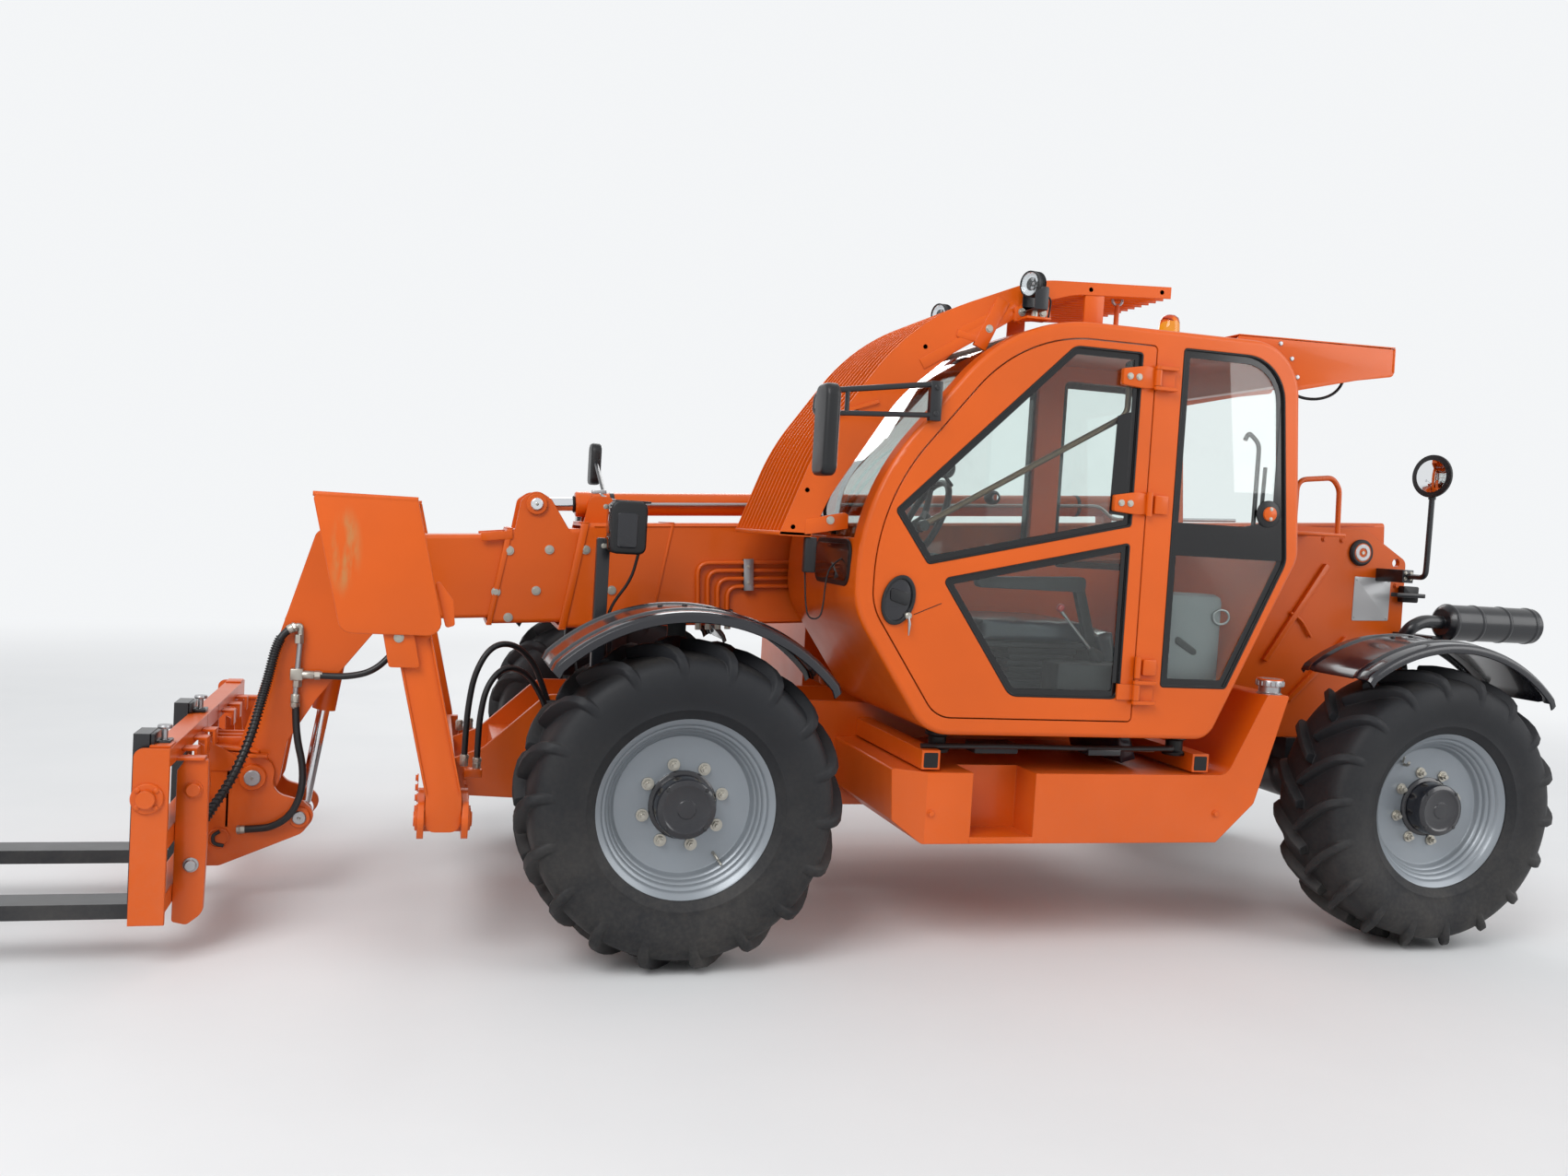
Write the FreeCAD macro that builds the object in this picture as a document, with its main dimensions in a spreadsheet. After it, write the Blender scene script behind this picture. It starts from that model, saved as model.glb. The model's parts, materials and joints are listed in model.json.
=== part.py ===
import FreeCAD, Part
import math
import os

# Driving sizes, in millimetres and degrees. Lengthways sizes whose names end in _x are measured
# forward from the front axle, heights from the ground, and sideways sizes from the centre line,
# positive to the left.
SIZES = (
    # alias, value, meaning
    ("front_axle_x", 560, "front axle ahead of the origin"),
    ("wheelbase", 3145, "front axle to rear axle"),
    ("wheel_centre_y", 950, "middle of a tyre from the centre line"),
    ("kingpin_y", 690, "steering axis from the centre line"),
    ("tyre_radius", 585, "tyre radius at the lug tips, also the axle height"),
    ("tyre_width", 405, "tyre section width"),
    ("lug_depth", 44, "height of the tyre lugs"),
    ("lug_thick", 42, "thickness of a tyre lug across its length"),
    ("lug_slant", 38, "angle of the lugs from straight across the tread"),
    ("tyre_bead_radius", 318, "radius where the tyre sits on its rim"),
    ("rim_flange_radius", 333, "outer radius of the rim flange"),
    ("rim_width", 330, "rim width over the flanges"),
    ("rim_wall", 10, "thickness of the rim"),
    ("rim_disc_inset", 95, "wheel disc inboard of the outer flange"),
    ("hub_radius", 110, "hub cap radius"),
    ("hub_height", 92, "hub cap height over the wheel disc"),
    ("spindle_radius", 60, "wheel spindle radius"),
    ("running_fit", 0.05, "radial clearance of a turning fit"),
    ("seat_gap", 0.3, "clearance of a piece in its seat"),
    ("guard_radius", 692, "mudguard outer radius about the wheel"),
    ("guard_wall", 8, "mudguard thickness"),
    ("guard_inner_y", 722, "inboard edge of a mudguard"),
    ("guard_outer_y", 1150, "outboard edge of a mudguard"),
    ("rail_y", 235, "inner face of a frame side plate"),
    ("rail_wall", 25, "thickness of a frame side plate"),
    ("frame_bottom_z", 420, "underside of the frame"),
    ("frame_top_z", 860, "top edge of the frame side plates"),
    ("axle_radius", 95, "axle tube radius"),
    ("tank_left_y", 1050, "outer face of a side tank"),
    ("tank_bottom_z", 445, "underside of a side tank"),
    ("tank_top_z", 712, "top of a side tank"),
    ("tank_front_x", -795, "front of a side tank"),
    ("tank_corner", 95, "width of the side tanks' cut front corners"),
    ("tank_rear_x", -2230, "rear of the low part of a side tank"),
    ("cab_left_y", 1120, "outer face of the cab"),
    ("cab_right_y", 205, "face of the cab beside the boom"),
    ("cab_wall", 42, "thickness of the cab walls and of the door"),
    ("cab_bottom_z", 862, "underside of the cab"),
    ("cab_roof_z", 2405, "top of the cab roof"),
    ("cab_front_x", -562, "front-most point of the cab"),
    ("cab_rear_x", -2372, "rear-most point of the cab"),
    ("door_rear_x", -1690, "rear edge of the door"),
    ("door_border", 62, "cab frame left in front of and round the door"),
    ("door_gap", 5, "gap round the door"),
    ("pane", 6, "glass thickness"),
    ("boom_pivot_x", -3345, "boom pivot"),
    ("boom_pivot_z", 1628, "boom pivot height"),
    ("boom_droop", 3.4, "nose-down angle of the lowered boom"),
    ("boom_pin_radius", 45, "boom pivot pin"),
    ("boom_half", 165, "half the width of the outer boom section"),
    ("boom_wall", 10, "boom plate thickness"),
    ("boom_top", 138, "outer section top above the pivot line"),
    ("boom_depth", 426, "depth of the outer boom section"),
    ("boom_step", 22, "a section's outer face inside the next one's outer face"),
    ("outer_front", 3700, "front of the outer section ahead of the pivot, at mid depth"),
    ("mid_front", 3990, "front of the middle section ahead of the pivot, at mid depth"),
    ("front_slant", 13, "slant of the sections' front edges"),
    ("ear_u", 3829, "extension pin ahead of the boom pivot"),
    ("ear_w", 216, "extension pin above the pivot line"),
    ("head_half", 118, "half the width over the head side plates"),
    ("head_wall", 20, "head side plate thickness"),
    ("tilt_pivot_x", 1517, "carriage pivot"),
    ("tilt_pivot_z", 496, "carriage pivot height"),
    ("tilt_pin_radius", 30, "carriage pivot pin"),
    ("tilt_eye_x", 1341, "tilt cylinder rod pin"),
    ("tilt_eye_z", 340, "tilt cylinder rod pin height"),
    ("tilt_base_x", 1212, "tilt cylinder barrel pin"),
    ("tilt_base_z", 1180, "tilt cylinder barrel pin height"),
    ("tilt_bore", 45, "tilt cylinder barrel radius"),
    ("tilt_rod_shown", 410, "length of the lowered tilt rod outside its barrel, to the pin"),
    ("tilt_travel_in", 275, "how far the tilt rod can still move into its barrel"),
    ("lift_base_x", -2850, "lift cylinder barrel pin"),
    ("lift_base_z", 700, "lift cylinder barrel pin height"),
    ("lift_eye_x", -1350, "lift cylinder rod pin"),
    ("lift_eye_z", 1000, "lift cylinder rod pin height"),
    ("lift_bore", 62, "lift cylinder barrel radius"),
    ("lift_rod_shown", 200, "length of the lowered lift rod outside its barrel, to the pin"),
    ("lift_travel_in", 0, "how far the lift rod can still move into its barrel"),
    ("carriage_half", 880, "half the width of the fork carriage"),
    ("carriage_rear_x", 1688, "rear face of the fork carriage"),
    ("carriage_depth", 68, "depth of the carriage rails"),
    ("carriage_end_depth", 110, "depth of the carriage end plates"),
    ("carriage_bottom_z", 150, "lowest edge of the fork carriage ends"),
    ("carriage_top_z", 737, "top of the fork carriage rail"),
    ("fork_left_y", 800, "middle of the left fork"),
    ("fork_right_y", 90, "middle of the right fork"),
    ("fork_width", 130, "fork width"),
    ("fork_thick", 50, "fork thickness"),
    ("fork_reach", 1200, "fork length ahead of its shank"),
    ("fork_top_z", 780, "top of the fork shanks"),
    ("fork_blade_z", 215, "top face of the fork blades"),
    ("leg_pivot_x", 815, "stabiliser pivot, middle of its width"),
    ("leg_pivot_y", 960, "stabiliser pivot from the centre line"),
    ("leg_pivot_z", 520, "stabiliser pivot height"),
    ("leg_width", 120, "stabiliser leg width"),
    ("leg_lean", 13, "forward lean of the stowed stabiliser leg"),
    ("foot_width", 330, "stabiliser foot width"),
    ("foot_length", 450, "stabiliser foot length"),
)

doc = FreeCAD.newDocument("Telehandler")
sheet = doc.addObject("Spreadsheet::Sheet", "Dims")
for row, (alias, value, meaning) in enumerate(SIZES, start=1):
    sheet.set(f"A{row}", meaning)
    sheet.set(f"B{row}", str(value))
    sheet.setAlias(f"B{row}", alias)
doc.recompute()


class Sizes:
    """The driving sizes as plain numbers, read back from the sheet."""

    def __init__(self):
        for alias, _value, _meaning in SIZES:
            setattr(self, alias, float(sheet.get(alias)))


d = Sizes()
SIDES = (("left", 1), ("right", -1))
PARTS = []


# Helpers that draw and extrude
def register(feature, label):
    """Name a finished sub-part; its label is its node's name."""
    feature.Label = label
    PARTS.append(feature)
    return feature


def new_body(label):
    """A body whose sketches measure X forward from the front axle."""
    body = doc.addObject("PartDesign::Body", label)
    body.setExpression("Placement.Base.x", "Dims.front_axle_x")
    return register(body, label)


def boom_body(label):
    """A body whose sketches measure X along the lowered boom and Z square to it, from its pivot."""
    body = doc.addObject("PartDesign::Body", label)
    body.Placement.Rotation = FreeCAD.Rotation(FreeCAD.Vector(0, 1, 0), 1)
    body.setExpression("Placement.Base.x", "Dims.front_axle_x + Dims.boom_pivot_x")
    body.setExpression("Placement.Base.z", "Dims.boom_pivot_z")
    body.setExpression("Placement.Rotation.Angle", "Dims.boom_droop")
    return register(body, label)


def turn(ahead, behind):
    """The angle by which a path turns at a corner, signed."""
    cross = behind[0] * ahead[1] - behind[1] * ahead[0]
    dot = behind[0] * ahead[0] + behind[1] * ahead[1]
    return math.atan2(cross, dot)


def corner(before, point, after, radius):
    """Start, middle and end of the arc that rounds a corner."""
    arms = []
    for other in (before, after):
        span = math.dist(other[:2], point[:2])
        arms.append(((other[0] - point[0]) / span, (other[1] - point[1]) / span))
    half = math.acos(max(-1, min(1, arms[0][0] * arms[1][0] + arms[0][1] * arms[1][1]))) / 2
    reach = radius / math.tan(half)
    bisector = (arms[0][0] + arms[1][0], arms[0][1] + arms[1][1])
    length = math.hypot(*bisector)
    depth = radius / math.sin(half) - radius
    start = (point[0] + arms[0][0] * reach, point[1] + arms[0][1] * reach)
    end = (point[0] + arms[1][0] * reach, point[1] + arms[1][1] * reach)
    middle = (point[0] + bisector[0] / length * depth, point[1] + bisector[1] / length * depth)
    return start, middle, end


def flat(point):
    return FreeCAD.Vector(point[0], point[1], 0)


def edges_of(loop):
    """Lines and arcs of one closed loop of corners (u, v) or (u, v, radius), or of one circle."""
    if loop[0] == "circle":
        _kind, u, v, radius = loop
        return [Part.Circle(FreeCAD.Vector(u, v, 0), FreeCAD.Vector(0, 0, 1), radius)]
    curves = []
    pieces = []
    count = len(loop)
    for index, point in enumerate(loop):
        if len(point) > 2 and point[2] > 0:
            pieces.append(corner(loop[index - 1], point, loop[(index + 1) % count], point[2]))
        else:
            pieces.append((point[:2], None, point[:2]))
    for index, (start, middle, end) in enumerate(pieces):
        if middle:
            curves.append(Part.Arc(flat(start), flat(middle), flat(end)))
        following = pieces[(index + 1) % count][0]
        if math.dist(end, following) > 0.001:
            curves.append(Part.LineSegment(flat(end), flat(following)))
    return curves


def sketch(body, role, loops, start):
    """A sketch on one of the body's own planes, moved along that plane's axis to start."""
    drawing = body.newObject("Sketcher::SketchObject", "Outline")
    drawing.AttachmentSupport = [(f, "") for f in body.Origin.OriginFeatures if f.Role == role]
    drawing.MapMode = "FlatFace"
    for loop in loops:
        for curve in edges_of(loop):
            drawing.addGeometry(curve, False)
    sign = "-1 * " if role == "XZ_Plane" else ""
    drawing.setExpression("AttachmentOffset.Base.z", f"{sign}({start})")
    return drawing


def extrude(body, kind, role, loops, start, length):
    """Add (Pad) or cut (Pocket) a prism that runs from start in the plane's positive direction."""
    drawing = sketch(body, role, loops, start)
    feature = body.newObject(f"PartDesign::{kind}", kind)
    feature.Profile = drawing
    feature.Type = 0
    feature.Reversed = (kind == "Pad") == (role == "XZ_Plane")
    feature.setExpression("Length", length)
    return feature


def side_pad(body, loops, start, length):
    return extrude(body, "Pad", "XZ_Plane", loops, start, length)


def side_cut(body, loops, start, length):
    return extrude(body, "Pocket", "XZ_Plane", loops, start, length)


def floor_pad(body, loops, start, length):
    return extrude(body, "Pad", "XY_Plane", loops, start, length)


def cross_pad(body, loops, start, length):
    return extrude(body, "Pad", "YZ_Plane", loops, start, length)


def revolve(body, loops, centre_x, centre_y, centre_z):
    """Turn a section (sideways, radius) about the crossways line through the given centre."""
    drawing = sketch(body, "YZ_Plane", loops, centre_x)
    drawing.setExpression("AttachmentOffset.Base.x", centre_y)
    drawing.setExpression("AttachmentOffset.Base.y", centre_z)
    feature = body.newObject("PartDesign::Revolution", "Revolution")
    feature.Profile = drawing
    feature.ReferenceAxis = (drawing, ["H_Axis"])
    feature.Angle = 360
    return feature


def box_loop(u_low, u_high, v_low, v_high, radius=0):
    return [(u_low, v_low, radius), (u_high, v_low, radius),
            (u_high, v_high, radius), (u_low, v_high, radius)]


def inset(loop, distance):
    """The loop moved inwards by a distance, corner radii reduced to stay parallel."""
    area = sum(a[0] * b[1] - b[0] * a[1] for a, b in zip(loop, loop[1:] + loop[:1]))
    sense = 1 if area > 0 else -1
    moved = []
    count = len(loop)
    for index, point in enumerate(loop):
        before, after = loop[index - 1], loop[(index + 1) % count]
        back = unit(before, point)
        ahead = unit(point, after)
        angle = turn(ahead, back)
        normal_back = (-back[1] * sense, back[0] * sense)
        normal_ahead = (-ahead[1] * sense, ahead[0] * sense)
        scale = distance / (1 + math.cos(angle))
        radius = point[2] if len(point) > 2 else 0
        if radius > 0:
            radius = max(radius - distance * (1 if angle * sense > 0 else -1), 1)
        moved.append((point[0] + (normal_back[0] + normal_ahead[0]) * scale,
                      point[1] + (normal_back[1] + normal_ahead[1]) * scale, radius))
    return moved


def unit(start, end):
    span = math.dist(start[:2], end[:2])
    return ((end[0] - start[0]) / span, (end[1] - start[1]) / span)


def bar_loop(start, end, half, radius=0):
    """A straight bar's outline between two points."""
    along = unit(start, end)
    across = (-along[1] * half, along[0] * half)
    return [(start[0] + across[0], start[1] + across[1], radius),
            (start[0] - across[0], start[1] - across[1], radius),
            (end[0] - across[0], end[1] - across[1], radius),
            (end[0] + across[0], end[1] + across[1], radius)]


def along(start, end, distance):
    """The point that lies a distance from start towards end."""
    way = unit(start, end)
    return (start[0] + way[0] * distance, start[1] + way[1] * distance)


# Frame: two side plates that rise into the boom tower
TOWER_TOP = (
    # x, z, corner radius, from the frame top up over the tower to the rear
    (-2420, 862, 60), (-2905, 1736, 40), (-3370, 1736, 30), (-3605, 1600, 40), (-3615, 760, 30),
)
rear_x = -d.wheelbase
ARCH_HALF = 330
ARCH_Z = 745
TOWER_EYE = ("circle", -3550, 1589, 20)
NOSE_X = (765, 865)
NOSE_Z = (d.frame_bottom_z + 35, 600)
RAIL_LOOP = (
    [(NOSE_X[0], NOSE_Z[0], 0), (NOSE_X[0], NOSE_Z[1], 0), (660, 640, 60), (420, d.frame_top_z, 80)]
    + list(TOWER_TOP)
    + [(rear_x - ARCH_HALF, ARCH_Z, 0), (rear_x + ARCH_HALF, ARCH_Z, 60),
       (rear_x + ARCH_HALF + 140, d.frame_bottom_z, 60), (-ARCH_HALF - 140, d.frame_bottom_z, 60),
       (-ARCH_HALF, ARCH_Z, 60), (ARCH_HALF, ARCH_Z, 60), (ARCH_HALF + 140, d.frame_bottom_z + 20, 40)]
)
BOOM_PIN_HOLE = ("circle", d.boom_pivot_x, d.boom_pivot_z, d.boom_pin_radius + d.running_fit)
frame = new_body("chassis_frame")
side_pad(frame, [RAIL_LOOP, TOWER_EYE, BOOM_PIN_HOLE], "Dims.rail_y", "Dims.rail_wall")
side_pad(frame, [RAIL_LOOP, TOWER_EYE, BOOM_PIN_HOLE], "-Dims.rail_y - Dims.rail_wall", "Dims.rail_wall")

# Boxes, pins and outriggers that join the two plates
members = new_body("frame_cross_members")
CROSS_MEMBERS = (
    # x, z, width, height of a crossways box between the side plates
    (520, 560, 200, 200), (-600, 520, 120, 160), (-1500, 500, 120, 140), (-2500, 560, 120, 220),
    (-3560, 900, 60, 260), (-3180, 900, 260, 30), (0, 800, 420, 60),
)
for x, z, wide, tall in CROSS_MEMBERS:
    side_pad(members, [box_loop(x - wide / 2, x + wide / 2, z - tall / 2, z + tall / 2)],
             "-Dims.rail_y", "2 * Dims.rail_y")
side_pad(members, [("circle", d.boom_pivot_x, d.boom_pivot_z, d.boom_pin_radius)],
         "-Dims.rail_y - Dims.rail_wall - 20", "2 * (Dims.rail_y + Dims.rail_wall + 20)")
LIFT_PIN_RADIUS = 35
side_pad(members, [("circle", d.lift_base_x, d.lift_base_z, LIFT_PIN_RADIUS)],
         "-Dims.rail_y", "2 * Dims.rail_y")
OUTRIGGER = 72
HOOD_LOW_Z = 800
DECK_WALL = 8
deck_low = HOOD_LOW_Z - d.seat_gap - DECK_WALL
outrigger_top = deck_low - d.seat_gap
for x in (-925, -2060):
    beam = box_loop(x - OUTRIGGER / 2, x + OUTRIGGER / 2, outrigger_top - OUTRIGGER, outrigger_top)
    for start in ("Dims.rail_y + Dims.rail_wall", "-Dims.tank_left_y + 20"):
        side_pad(members, [beam], start, "Dims.tank_left_y - 20 - Dims.rail_y - Dims.rail_wall")
# Nose beam across the plates' front edges, with the ears and pins of the stabilisers
LEG_EAR = 22
EAR_INNER = 130
LEG_PIN = 25
nose = new_body("nose_beam")
side_pad(nose, [box_loop(*NOSE_X, *NOSE_Z)], "-Dims.leg_pivot_y + 100", "2 * Dims.leg_pivot_y - 200")
ear_low = d.leg_pivot_x - d.leg_width / 2 - LEG_EAR - 2
ear_high = d.leg_pivot_x + d.leg_width / 2 + 2
for _name, side in SIDES:
    for x in (ear_low, ear_high):
        ear = [(side * (d.leg_pivot_y - EAR_INNER), NOSE_Z[0]), (side * (d.leg_pivot_y + 30), NOSE_Z[0], 25),
               (side * (d.leg_pivot_y + 60), d.leg_pivot_z, 40),
               (side * (d.leg_pivot_y + 20), d.leg_pivot_z + 60, 30),
               (side * (d.leg_pivot_y - EAR_INNER), NOSE_Z[1])]
        cross_pad(nose, [ear], f"{x}", f"{LEG_EAR}")
    end_low = min(side * (d.leg_pivot_y - EAR_INNER), side * (d.leg_pivot_y - EAR_INNER + 40))
    side_pad(nose, [box_loop(ear_low, ear_high + LEG_EAR, *NOSE_Z)], f"{end_low}", "40")
    cross_pad(nose, [("circle", side * d.leg_pivot_y, d.leg_pivot_z, LEG_PIN)],
              f"{ear_low}", f"{ear_high + LEG_EAR - ear_low}")


KINGPIN_RADIUS = 20
KNUCKLE_HALF = 88


# Axles with a drive housing in the middle and a steering yoke at each end
def axle(label, centre_x):
    body = new_body(label)
    section = [(-d.kingpin_y + 60, 0), (-d.kingpin_y + 60, d.axle_radius - 15, 10),
               (-260, d.axle_radius, 30), (-190, 150, 40), (190, 150, 40), (260, d.axle_radius, 30),
               (d.kingpin_y - 60, d.axle_radius - 15, 10), (d.kingpin_y - 60, 0)]
    revolve(body, [section], centre_x, "0", "Dims.tyre_radius")
    for _name, side in SIDES:
        for low in (d.tyre_radius - 130, d.tyre_radius + 90):
            inner = side * (d.kingpin_y - 110)
            outer = side * (d.kingpin_y + 25)
            side_edges = sorted((inner, outer))
            plate = [(-60, side_edges[0], 20), (60, side_edges[0], 20),
                     (60, side_edges[1], 30), (-60, side_edges[1], 30)]
            moved = [(eval_x(centre_x) + u, v, r) for u, v, r in plate]
            hole = ("circle", eval_x(centre_x), side * d.kingpin_y, KINGPIN_RADIUS + d.running_fit)
            floor_pad(body, [moved, hole], f"{low}", "40")
        web = box_loop(eval_x(centre_x) - 60, eval_x(centre_x) + 60,
                       d.tyre_radius - 130, d.tyre_radius + 130, 10)
        side_pad(body, [web], f"{min(side * (d.kingpin_y - 110), side * (d.kingpin_y - 70))}", "40")
    pad_top = box_loop(eval_x(centre_x) - 150, eval_x(centre_x) + 150, d.tyre_radius + 60, ARCH_Z)
    for _name, side in SIDES:
        side_pad(body, [pad_top], f"{min(side * 200, side * 290)}", "90")
    return body


def eval_x(expression):
    """The X of an axle given as an expression."""
    return 0.0 if expression == "0" else -d.wheelbase


front_axle = axle("front_axle", "0")
rear_axle = axle("rear_axle", "-Dims.wheelbase")


DRUM_RADIUS = 120
GUARD_LIP = 38


# Wheels, knuckles and mudguards, one set at each corner
def wheel_set(corner_name, centre_x, side):
    x = eval_x(centre_x)
    disc_y = d.rim_width / 2 - d.rim_disc_inset

    knuckle = new_body(f"knuckle_{corner_name}")
    hub_low = d.tyre_radius - KNUCKLE_HALF
    floor_pad(knuckle, [("circle", x, side * d.kingpin_y, 48)], f"{hub_low}", f"{2 * KNUCKLE_HALF}")
    floor_pad(knuckle, [("circle", x, side * d.kingpin_y, KINGPIN_RADIUS)], f"{hub_low - 42}", "260")
    spindle = [(0, 0), (0, 78), (side * 66, 78), (side * 66, DRUM_RADIUS, 10), (side * 92, DRUM_RADIUS, 10),
               (side * 92, d.spindle_radius),
               (side * (d.wheel_centre_y + disc_y - 2 - d.kingpin_y), d.spindle_radius),
               (side * (d.wheel_centre_y + disc_y - 2 - d.kingpin_y), 0)]
    if side < 0:
        spindle = spindle[::-1]
    revolve(knuckle, [spindle], centre_x, f"{side} * Dims.kingpin_y", "Dims.tyre_radius")

    rim = new_body(f"rim_{corner_name}")
    half = d.rim_width / 2
    wall = d.rim_wall
    flange = d.rim_flange_radius
    bead = d.tyre_bead_radius
    rim_section = [
        (-half, bead - wall), (-half, flange), (-half + wall, flange), (-half + wall, bead, 0),
        (-half + 60, bead - 8), (-half + 80, bead - 45), (half - 120, bead - 45),
        (half - 90, bead - 22), (half - 50, bead - 8), (half - wall, bead),
        (half - wall, flange), (half, flange), (half, bead - wall), (half - 48, bead - 18),
        (half - 88, bead - 32), (disc_y, bead - 55),
        (disc_y, d.spindle_radius + d.running_fit), (disc_y - wall * 1.6, d.spindle_radius + d.running_fit),
        (disc_y - wall * 1.6, bead - 55), (-half + 73, bead - 55), (-half + 52, bead - 18),
    ]
    revolve(rim, [[(side * u, *rest) for u, *rest in rim_section]],
            centre_x, f"{side} * Dims.wheel_centre_y", "Dims.tyre_radius")
    cap = [(disc_y, 0), (disc_y, d.hub_radius), (disc_y + d.hub_height - 8, d.hub_radius),
           (disc_y + d.hub_height, d.hub_radius - 8), (disc_y + d.hub_height, 0)]
    revolve(rim, [[(side * u, *rest) for u, *rest in cap]],
            centre_x, f"{side} * Dims.wheel_centre_y", "Dims.tyre_radius")

    guard = new_body(f"mudguard_{corner_name}")
    first, last = (44, 141) if corner_name.startswith("front") else (51, 138)
    arch = arc_band(x, d.tyre_radius, d.guard_radius, d.guard_wall, first, last)
    low_y = min(side * d.guard_inner_y, side * d.guard_outer_y)
    side_pad(guard, [arch], f"{low_y}", "Dims.guard_outer_y - Dims.guard_inner_y")
    lip = arc_band(x, d.tyre_radius, d.guard_radius - 1, GUARD_LIP, first, last)
    lip_y = min(side * d.guard_outer_y, side * (d.guard_outer_y - d.guard_wall))
    side_pad(guard, [lip], f"{lip_y}", "Dims.guard_wall")
    foot_y = d.kingpin_y + 66
    bracket = [(foot_y, DRUM_RADIUS + d.seat_gap), (foot_y + 10, DRUM_RADIUS + d.seat_gap),
               (foot_y + 10, 190), (d.guard_inner_y + 10, 262), (d.guard_inner_y + 10, d.guard_radius - 2),
               (d.guard_inner_y, d.guard_radius - 2), (d.guard_inner_y, 258), (foot_y, 186)]
    cross_pad(guard, [[(side * y, d.tyre_radius + up) for y, up in bracket]], f"{x - 35}", "70")


def arc_band(x, z, radius, wall, first, last):
    """A curved strip about (x, z) between two angles measured up from straight ahead."""
    steps = 12
    outer = []
    inner = []
    for step in range(steps + 1):
        angle = math.radians(first + (last - first) * step / steps)
        outer.append((x + radius * math.cos(angle), z + radius * math.sin(angle)))
        inner.append((x + (radius - wall) * math.cos(angle), z + (radius - wall) * math.sin(angle)))
    return outer + inner[::-1]


for end, centre_x in (("front", "0"), ("rear", "-Dims.wheelbase")):
    for name, side in SIDES:
        wheel_set(f"{end}_{name}", centre_x, side)

# Tyres: a many-sided carcass with bevelled shoulders and two rows of slanted lugs
LUGS = 18
LUG_PITCH = 360 / LUGS
carcass = d.tyre_radius - d.lug_depth
seat_radius = (d.tyre_bead_radius + d.seat_gap) / math.cos(math.pi / LUGS)
tyre_half = d.tyre_width / 2
BEVELS = (
    # name, radius of the bevelled edges, first and second cut
    ("Shoulder", carcass, 24, 120), ("Sidewall", seat_radius, 86.4, 57.6),
)
LUG_SECTION = (
    # sideways from the middle of the tread, height above the carcass
    (-6, -12), (-6, d.lug_depth - 3.2), (tyre_half - 58, d.lug_depth - 14), (tyre_half - 14, d.lug_depth - 86),
    (tyre_half - 50, -66),
)
LUG_ROWS = (
    # side of the tread, half pitches ahead
    (1, 0), (-1, 1),
)


def many_sided(radius, count):
    return [(radius * math.sin(2 * math.pi * step / count), radius * math.cos(2 * math.pi * step / count))
            for step in range(count)]


def bevel(body, name, radius, first, second):
    """Bevel the edges of the tyre's two flat ends that lie at a radius."""
    before = body.Tip
    edges = []
    for index, edge in enumerate(before.Shape.Edges, start=1):
        ends = edge.Vertexes
        flat_end = abs(ends[0].Y - ends[-1].Y) < 0.01 and abs(abs(ends[0].Y) - tyre_half) < 0.01
        if flat_end and all(abs(math.hypot(end.X, end.Z) - radius) < 1.5 for end in ends):
            edges.append(f"Edge{index}")
    chamfer = body.newObject("PartDesign::Chamfer", name)
    chamfer.Base = (before, edges)
    chamfer.ChamferType = "Two distances"
    chamfer.Size = first
    chamfer.Size2 = second
    body.Tip = chamfer
    doc.recompute()


tyre = doc.addObject("PartDesign::Body", "Tyre")
tyre.setExpression("Placement.Base.x", "Dims.front_axle_x")
tyre.setExpression("Placement.Base.y", "Dims.wheel_centre_y")
tyre.setExpression("Placement.Base.z", "Dims.tyre_radius")
register(tyre, "tyre_front_left")
side_pad(tyre, [many_sided(carcass, 2 * LUGS), many_sided(seat_radius, LUGS)], "-Dims.tyre_width / 2",
         "Dims.tyre_width")
doc.recompute()
for bevel_row in BEVELS:
    bevel(tyre, *bevel_row)
tyre_axis = [(f, "") for f in tyre.Origin.OriginFeatures if f.Role == "Y_Axis"][0]
for row_side, ahead in LUG_ROWS:
    stretch = row_side / math.cos(math.radians(d.lug_slant))
    outline = sketch(tyre, "YZ_Plane", [[(y * stretch, carcass + up) for y, up in LUG_SECTION]], "0")
    tilt = FreeCAD.Rotation(FreeCAD.Vector(1, 0, 0), ahead * LUG_PITCH / 2)
    slant_turn = FreeCAD.Rotation(FreeCAD.Vector(0, 1, 0), row_side * d.lug_slant)
    outline.setExpression("AttachmentOffset.Base.z", None)
    outline.AttachmentOffset = FreeCAD.Placement(FreeCAD.Vector(), tilt.multiply(slant_turn))
    lug = tyre.newObject("PartDesign::Pad", "Lug")
    lug.Profile = outline
    lug.Midplane = True
    lug.setExpression("Length", "Dims.lug_thick")
    lug_row = tyre.newObject("PartDesign::PolarPattern", "LugRow")
    lug_row.Originals = [lug]
    lug_row.Axis = tyre_axis
    lug_row.Angle = 360
    lug_row.Occurrences = LUGS
    tyre.Tip = lug_row
for corner_name, shift_x, shift_y in (("front_right", "0", "-2 * Dims.wheel_centre_y"),
                                      ("rear_left", "-Dims.wheelbase", "0"),
                                      ("rear_right", "-Dims.wheelbase", "-2 * Dims.wheel_centre_y")):
    same_tyre = doc.addObject("Part::Compound", f"Tyre_{corner_name}")
    same_tyre.Links = [tyre]
    same_tyre.setExpression("Placement.Base.x", shift_x)
    same_tyre.setExpression("Placement.Base.y", shift_y)
    register(same_tyre, f"tyre_{corner_name}")


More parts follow.
